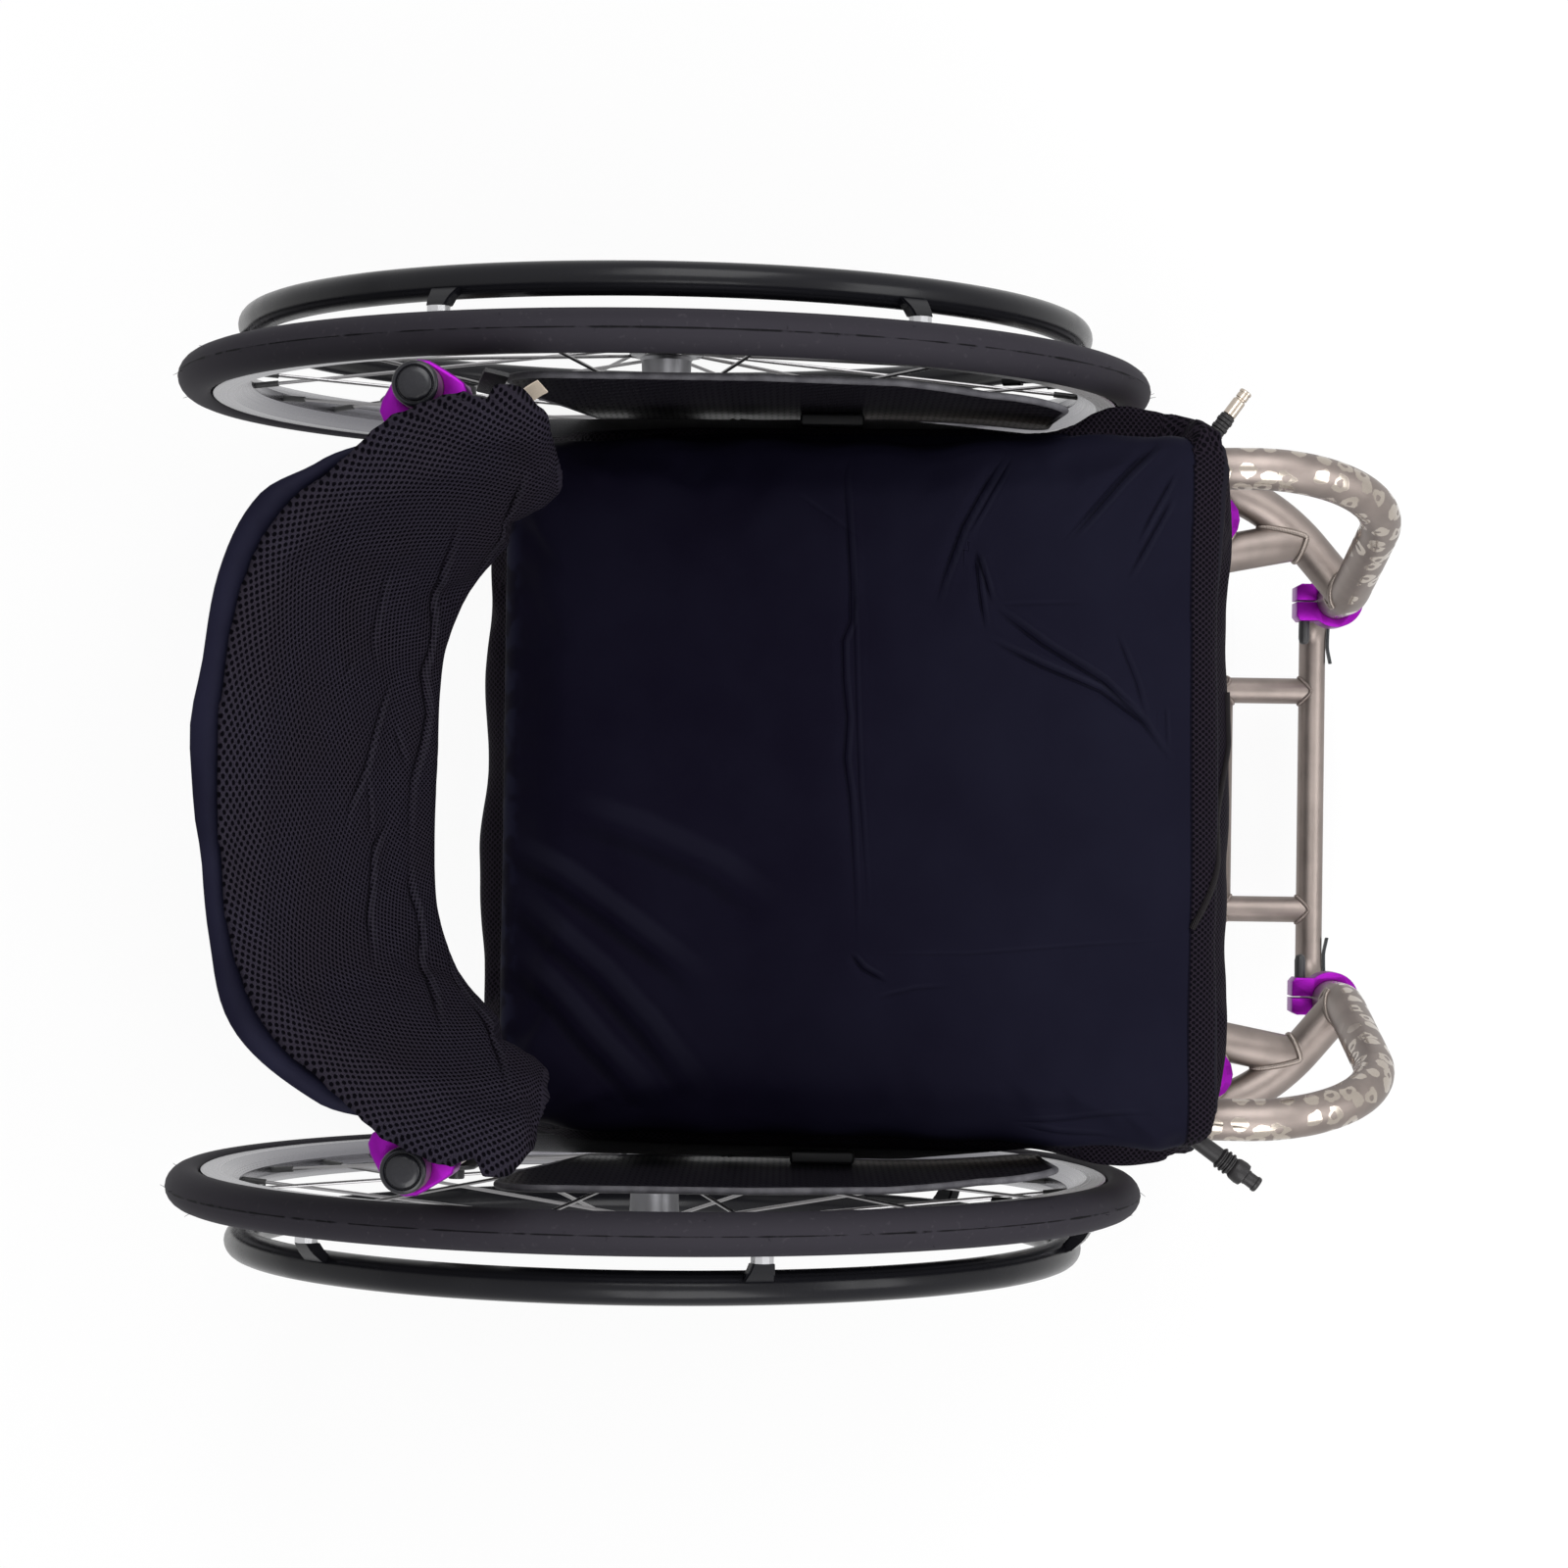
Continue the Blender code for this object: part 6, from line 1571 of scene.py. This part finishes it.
# The back: two titanium canes closed by black plugs, split purple clamps that carry a bowl-shaped carbon
# shell in a navy stretch cover, and on its face a pad of thick spacer mesh with folds across it.
CANE_X, CANE_BELOW = 0.2120, 0.0130
CANE_TOP = Vector((0, 0.1240, 0.6500))
CLAMP_Z = 0.6200
MESH_PITCH, MESH_ROW = 0.0041, 0.0023
PAD_MIDDLE_Y = 0.0600
WING_FROM, WING_TO = 54, 100                   # degrees round the back from straight behind

cane_foot = Vector((0, PIVOT_Y, PIVOT_Z))
cane_way = (CANE_TOP - cane_foot).normalized()
plug_plastic = Finish("glossy black plug", (0.010, 0.010, 0.013), 0.24, Specular_IOR_Level=0.30)
handled = plug_plastic.noise(0.004, 4.0)
plug_plastic.put("Roughness", 0.16 + 0.22 * handled)
plug_plastic.bump(plug_plastic.noise(0.0012, 2.0), 0.00004)
for side, word in SIDES:
    shift = Vector((CANE_X * side, 0, 0))
    cane = pipe([cane_foot - cane_way * CANE_BELOW + shift, CANE_TOP + shift], TUBE_R, 48)
    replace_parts(fitted(word + "_cane_tube", cane, titanium, "backrest"), word + "_back_cane")
    head = [(0.0100, 0.0), (0.0126, 0.0003), (0.0128, 0.0010), (0.0126, 0.0022), (0.0118, 0.0032),
            (0.0106, 0.0034), (0.0101, 0.0026), (0.0099, 0.0016), (0.0096, 0.0016), (0.0094, 0.0028),
            (0.0088, 0.0035), (0.0060, 0.0038), (0, 0.0038)]
    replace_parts(fitted(word + "_turned_cane_plug", spun(head, CANE_TOP + shift, cane_way, 56, closed=False),
                       plug_plastic, "backrest", 50), word + "_cane_plug")
    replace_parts(fitted(word + "_split_back_clamp", softened(word + "_back_clamp", 0.0008), purple,
                       "backrest", 50), word + "_back_clamp")
    for node in ("_back_bracket", "_camber_clamp"):
        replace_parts(fitted(word + "_milled" + node, softened(word + node, 0.0005), black_alloy, "frame",
                           50), word + node)
places = []
for side, word in SIDES:
    at_clamp = cane_foot + cane_way * (CLAMP_Z - PIVOT_Z) / cane_way.z + Vector((CANE_X * side, 0, 0))
    for inboard, rearward, reach in ((0.0120, 0.0125, 0.0100), (0.0020, -0.0170, 0.0085)):
        for height in (-0.0065, 0.0065):
            lobe = Vector((-inboard * side, rearward, 0))
            facing = Vector((lobe.y, -lobe.x, 0)).normalized() * (side if rearward > 0 else -side)
            if facing.y < 0:
                facing = -facing
            places.append((at_clamp + lobe * 1.08 + cane_way * height + facing * (reach - 0.0020),
                           facing, 0.0026))
repeated("back_clamp_bolts", bolt, places, bolt_black, "backrest")


def cover_shape(node, levels):
    """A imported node's solid as quads, rounded by subdivision."""
    shape = solid_of(node)
    bmesh.ops.remove_doubles(shape, verts=shape.verts, dist=0.00002)
    bmesh.ops.join_triangles(shape, faces=shape.faces, angle_face_threshold=0.7,
                             angle_shape_threshold=0.9)
    bmesh.ops.recalc_face_normals(shape, faces=shape.faces)
    thing = linked(node + " cover", mesh_of(shape, node))
    round_off = thing.modifiers.new("round off", "SUBSURF")
    round_off.levels = round_off.render_levels = levels
    mesh = plain(thing, node + " rounded")
    bpy.data.objects.remove(thing)
    return mesh


mesh = cover_shape("back_pad", 2)
shell_shape = solid_of("back_shell")
shell_tree = BVHTree.FromBMesh(shell_shape)
shell_shape.free()

# Folds of the pad's face, found and laid as the cushion's are: the long ones sweep up into the wings,
# and the short ones cross between them.
PAD_FOLDS = (
    (0, 0.0034, 0.0026, ((0.1700, 0.0767, 0.6096), (0.1528, 0.0846, 0.5785), (0.1230, 0.1022, 0.5314),
                         (0.1117, 0.1092, 0.5181))),
    (0, 0.0034, 0.0026, ((0.1488, 0.1137, 0.6075), (0.1310, 0.1205, 0.5810), (0.1045, 0.1300, 0.5513),
                         (0.0837, 0.1346, 0.5381), (0.0645, 0.1373, 0.5363), (0.0385, 0.1352, 0.5253),
                         (0.0215, 0.1369, 0.5293), (-0.0003, 0.1404, 0.5387), (-0.0171, 0.1412, 0.5407),
                         (-0.0500, 0.1400, 0.5400))),
    (1, 0.0034, 0.0026, ((-0.0420, 0.1400, 0.5400), (-0.0672, 0.1391, 0.5420), (-0.0863, 0.1351, 0.5422),
                         (-0.1072, 0.1299, 0.5557), (-0.1230, 0.1245, 0.5727), (-0.1446, 0.1176, 0.6047))),
    (1, 0.0030, 0.0012, ((0.1167, 0.1499, 0.6111), (0.0989, 0.1534, 0.5977), (0.0715, 0.1556, 0.5848),
                         (0.0578, 0.1539, 0.5767))),
    (1, 0.0030, 0.0020, ((0.0586, 0.1474, 0.5607), (0.0345, 0.1530, 0.5707), (0.0059, 0.1583, 0.5827),
                         (-0.0154, 0.1645, 0.5974), (-0.0317, 0.1670, 0.6036))),
    (2, 0.0026, 0.0012, ((0.0303, 0.1464, 0.5543), (0.0068, 0.1424, 0.5438))),
    (2, 0.0030, 0.0022, ((-0.0220, 0.1477, 0.5572), (-0.0386, 0.1540, 0.5735), (-0.0621, 0.1548, 0.5795),
                         (-0.0853, 0.1549, 0.5898), (-0.1058, 0.1531, 0.6035))),
    (2, 0.0026, 0.0010, ((0.0149, 0.1292, 0.5075), (-0.0070, 0.1291, 0.5057))),
    (0, 0.0034, 0.0028, ((-0.0942, 0.1201, 0.5094), (-0.1219, 0.1074, 0.5385), (-0.1375, 0.0961, 0.5573),
                         (-0.1547, 0.0854, 0.5838), (-0.1732, 0.0789, 0.6189))),
    (0, 0.0026, 0.0012, ((0.0035, 0.1583, 0.5825), (-0.0175, 0.1562, 0.5777), (-0.0340, 0.1559, 0.5776))),
    (2, 0.0026, 0.0010, ((0.0659, 0.1640, 0.6023), (0.0563, 0.1677, 0.6091))))
# The wings' outer edge from above, where the pad leans out over the clamps: angle round the back from
# straight behind, and distance from the middle of the bowl. It was worked out from the outline in the
# photo and corrected beside renders.
WINGS = {1: ((54, 0.2010), (58, 0.2030), (63, 0.2045), (68.5, 0.2065), (74, 0.2096), (79, 0.2128),
             (82.7, 0.2142), (90, 0.2142), (100, 0.2142)),
         -1: ((54, 0.2000), (58, 0.2020), (64.5, 0.2035), (68.1, 0.2060), (71.6, 0.2089), (75.4, 0.2111),
              (78, 0.2136), (81.1, 0.2150), (84.9, 0.2163), (90, 0.2163), (100, 0.2163))}


def pad_held(spot):
    return 1.0 if shell_tree.find_nearest(spot)[3] < 0.0060 else 0.0


pad = blown(mesh, pad_held, PAD_SWELL, VOXEL, 3.0)
pad_middle = Vector((0, PAD_MIDDLE_Y, 0))
shape = bmesh.new()
shape.from_mesh(pad)
shape.normal_update()
pad_tree = BVHTree.FromBMesh(shape)
fold_lines = fold_runs([(lane, width, depth, [pad_tree.find_nearest(Vector(point))[0] for point in points])
                        for lane, width, depth, points in PAD_FOLDS])
places = []
for vert in shape.verts:
    spot, normal = vert.co.copy(), vert.normal.copy()
    side = 1 if spot.x > 0 else -1
    ahead = (spot - pad_middle).xy.normalized().dot(normal.xy)
    places.append(at_folds(spot, normal, fold_lines) if ahead < 0.4 else [FAR_OFF] * 3)
    soft = noise.noise(spot * 20) * 0.0012
    vert.co = spot + normal * (soft - 0.75 * fold_drop(places[-1]))
    if ahead < 0.1:
        low = limited((0.5600 + 1.6 * max(0.0, abs(spot.x) - 0.06) - spot.z) / 0.040)
        uneven = 0.85 + 0.25 * limited((spot.x + 0.050) / 0.070)
        vert.co.y -= 0.0072 * low * uneven * min(1.0, (0.1 - ahead) / 0.4)
    tip = limited((0.0900 - spot.y) / 0.038)
    if tip > 0 and abs(spot.x) > 0.12:
        blunt = min(1.0, (abs(abs(vert.co.x) - 0.1800) / 0.0360) ** 2.4
                    + (abs(spot.z - 0.6050) / 0.1080) ** 3.0)
        vert.co.y += 0.0300 * tip * (1 - (1 - blunt) ** (1 / 2.4))

for side, outline in WINGS.items():
    swung = {}
    for vert in shape.verts:
        way = vert.co.xy - pad_middle.xy
        swing = math.degrees(math.atan2(way.x * side, way.y))
        if WING_FROM < swing < WING_TO:
            swung[vert] = (swing, way.length)
    reach = [0.0] * 23
    for vert, (swing, far_out) in swung.items():
        if vert.co.z > 0.630:
            step = min(22, int((swing - 52) / 2))
            reach[step] = max(reach[step], far_out)
    reach[0] = reach[1]
    for step in range(17, 23):
        reach[step] = reach[16]
    reach = [sum(reach[min(22, max(0, k + j))] for j in (-1, 0, 1)) / 3 for k in range(23)]
    for vert, (swing, far_out) in swung.items():
        step = min(21.0, max(0.0, (swing - 53) / 2))
        low = int(step)
        now = reach[low] + (reach[low + 1] - reach[low]) * (step - low)
        for (near, short), (far, long) in zip(outline, outline[1:]):
            if near <= swing < far:
                push = short + (long - short) * (swing - near) / (far - near) - now
                fade = min(1.0, (swing - WING_FROM) / 16, (WING_TO - swing) / 14)
                push = max(0.0, min(RIM_PULL_OUT, push)) * fade * fade * (3 - 2 * fade)
                skin = limited((far_out - now + 0.0200) / 0.0160)
                ahead = limited((0.090 - vert.co.y) / 0.010)
                ahead *= limited((vert.co.z - 0.500) / 0.040)
                over = limited((vert.co.z - 0.639) / 0.020)
                push *= skin * skin * (3 - 2 * skin) * max(ahead, over * over * (3 - 2 * over))
                way = (vert.co.xy - pad_middle.xy).normalized() * push
                vert.co.x += way.x
                vert.co.y += way.y
pad_tree = BVHTree.FromBMesh(shape)
swings = [math.radians(-125 + k) for k in range(251)]
runs, run, before = [], 0.0, None
for swing in swings:
    way = Vector((math.sin(swing), math.cos(swing), 0))
    hit = pad_tree.ray_cast(pad_middle + Vector((0, 0, 0.600)), way)[0]
    if hit and before:
        run += (hit - before).length
    before = hit or before
    runs.append(run)
shape.to_mesh(pad)
shape.free()
keep_folds(pad, places)
shape = bmesh.new()
shape.from_mesh(pad)
chart = shape.loops.layers.uv.new("map")


def pad_map(spot):
    """The pad's mesh runs round the bowl and up its face, and so does its map."""
    swing = (math.degrees(math.atan2(spot.x, spot.y - PAD_MIDDLE_Y)) + 125) % 360
    low = min(249, int(swing))
    run = runs[low] + (runs[low + 1] - runs[low]) * min(1.0, swing - low)
    return run, (spot - pad_middle).xy.length + 0.66 * spot.z


for face in shape.faces:
    for loop in face.loops:
        loop[chart].uv = pad_map(loop.vert.co)
pad_cloth = Finish("thick spacer mesh", (0.0230, 0.0215, 0.0290), 0.78, Specular_IOR_Level=0.02)
u, v, _ = pad_cloth.parts(pad_cloth.cloth())
drift = pad_cloth.noise(0.020, 2.0, pad_cloth.cloth(), output="Color")
du, dv, _ = pad_cloth.parts(drift)
pierced = holes(pad_cloth, u + du * 0.0016, v + dv * 0.0016, MESH_PITCH, MESH_ROW, 0.00115)
fold_bottom_painted_shade, fold_lip_painted_highlight = painted_fold_light(pad_cloth)
strand = pad_cloth.noise(0.0007, 3.0)
knit = pad_cloth.mix(strand.rise(0.25, 0.75), (0.0100, 0.0085, 0.0140), (0.0235, 0.0205, 0.0305))
knit = pad_cloth.mix(pad_cloth.noise(0.045, 3.0).rise(0.35, 0.7) * 0.5, knit, (0.0165, 0.0135, 0.0185))
# The spacer mesh's holes are real openings; their near-black colour is painted shade from the depth inside
# them.
colour = pad_cloth.mix(pierced, knit, (0.0008, 0.0006, 0.0016))
# A painted highlight lightens the lips of the folds, and painted shade darkens their bottoms.
colour = pad_cloth.mix(fold_lip_painted_highlight.least(1.0) * 0.25, colour, (0.0300, 0.0280, 0.0370))
colour = pad_cloth.mix(fold_bottom_painted_shade.least(1.0) * 0.85, colour, (0.0018, 0.0014, 0.0026))
pad_cloth.put("Base Color", colour)
pad_cloth.put("Roughness", 0.70 + 0.14 * strand)
pad_cloth.bump(strand * 0.12 - pierced - fold_bottom_painted_shade * 1.5, 0.0008)
pad_piece = fitted("back_spacer_pad", shape, pad_cloth, "backrest", 180)
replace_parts(pad_piece, "back_pad")

# The shell's stretch cover: smooth, drawn round the shell's edge over a soft rim, and loose behind the
# wings, where it stands further off.
LOOSE = ((-70, 0.0000), (-58, 0.0075), (-40, 0.0110), (-28, 0.0075), (-16, 0.0070), (-5, 0.0100),
         (8, 0.0120), (20, 0.0090), (33, 0.0100), (46, 0.0110), (56, 0.0040), (66, 0.0000))


def loose_cover(swing):
    """How far the cover stands off the shell, by the angle round the back."""
    swing = min(65.9, max(-70.0, swing))
    for (near, low), (far, high) in zip(LOOSE, LOOSE[1:]):
        if near <= swing < far:
            share = (swing - near) / (far - near)
            share = share * share * (3 - 2 * share)
            return low + (high - low) * share


mesh = cover_shape("back_shell", 2)
shape = bmesh.new()
shape.from_mesh(mesh)
shape.normal_update()
for vert in shape.verts:
    spot, normal = vert.co, vert.normal
    outward = (spot - pad_middle).xy.normalized().dot(normal.xy)
    if outward > 0.0:
        swing = math.degrees(math.atan2(spot.x, spot.y - PAD_MIDDLE_Y))
        wave = noise.noise(Vector((spot.x * 16, spot.y * 16, spot.z * 9 + 2.0)))
        loose = loose_cover(swing) * min(1.0, outward / 0.3)
        out_way = Vector((spot.x, spot.y - PAD_MIDDLE_Y, 0)).normalized()
        vert.co = spot + normal * 0.0012 * wave + out_way * loose
navy_stretch = Finish("navy stretch cover", (0.0075, 0.0070, 0.0160), 0.52, Specular_IOR_Level=0.04,
                      Sheen_Weight=0.03, Sheen_Roughness=0.4)
knit = navy_stretch.noise(0.0005, 2.0)
cloud = navy_stretch.noise(0.060, 3.0).rise(0.3, 0.7)
navy_stretch.put("Base Color", navy_stretch.mix(cloud, (0.0055, 0.0052, 0.0130), (0.0100, 0.0098, 0.0220)))
navy_stretch.put("Roughness", 0.46 + 0.14 * knit)
navy_stretch.bump(knit, 0.00010)
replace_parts(fitted("shell_stretch_cover", shape, navy_stretch, "backrest", 180), "back_shell")

# Small sewn-in ends at the left wing: a plain beige cotton tag and the folded end of a black strap.
cotton = Finish("undyed cotton tag", (0.560, 0.480, 0.390), 0.85)
tag_weave = cotton.noise(0.0008, 2.0)
cotton.put("Base Color", cotton.mix(tag_weave, (0.480, 0.410, 0.330), (0.620, 0.530, 0.430)))
cotton.bump(tag_weave, 0.0002)
strap_cloth = Finish("black strap webbing", (0.020, 0.020, 0.021), 0.60, Specular_IOR_Level=0.4)
x, y, z = strap_cloth.parts(strap_cloth.place())
ridge = abs(((x + y + z) / 0.0014) % 1.0 - 0.5) * 2.0
strap_cloth.put("Base Color", strap_cloth.mix(ridge, (0.012, 0.012, 0.013), (0.034, 0.034, 0.036)))
strap_cloth.bump(ridge, 0.0002)


def ribbon(start, way, across, length, width, thickness, curl):
    """A short flat end of ribbon that leaves a seam and curls over."""
    start, way, across = Vector(start), Vector(way).normalized(), Vector(across).normalized()
    over = way.cross(across)
    shape = bmesh.new()
    rows = []
    spot, angle = start.copy(), 0.0
    for step in range(9):
        heading = way * math.cos(angle) + over * math.sin(angle)
        lift = way * -math.sin(angle) + over * math.cos(angle)
        rows.append([shape.verts.new(spot + across * a + lift * b)
                     for a, b in ((-width / 2, 0), (width / 2, 0), (width / 2, thickness),
                                  (-width / 2, thickness))])
        spot += heading * length / 8
        angle += math.radians(curl) / 8
    closed_bar(shape, rows)
    return shape


tag = ribbon((0.2085, 0.0700, 0.6080), (0.55, -0.60, 0.05), (0.45, 0.45, 0.75), 0.0150, 0.0110, 0.0010, 25)
fitted("cotton_tag", tag, cotton, "backrest", 60)
strap = ribbon((0.2130, 0.0885, 0.6000), (0.80, -0.20, 0.25), (0.15, 0.80, 0.30), 0.0180, 0.0140, 0.0024, 60)
fitted("strap_end", strap, strap_cloth, "backrest", 60)
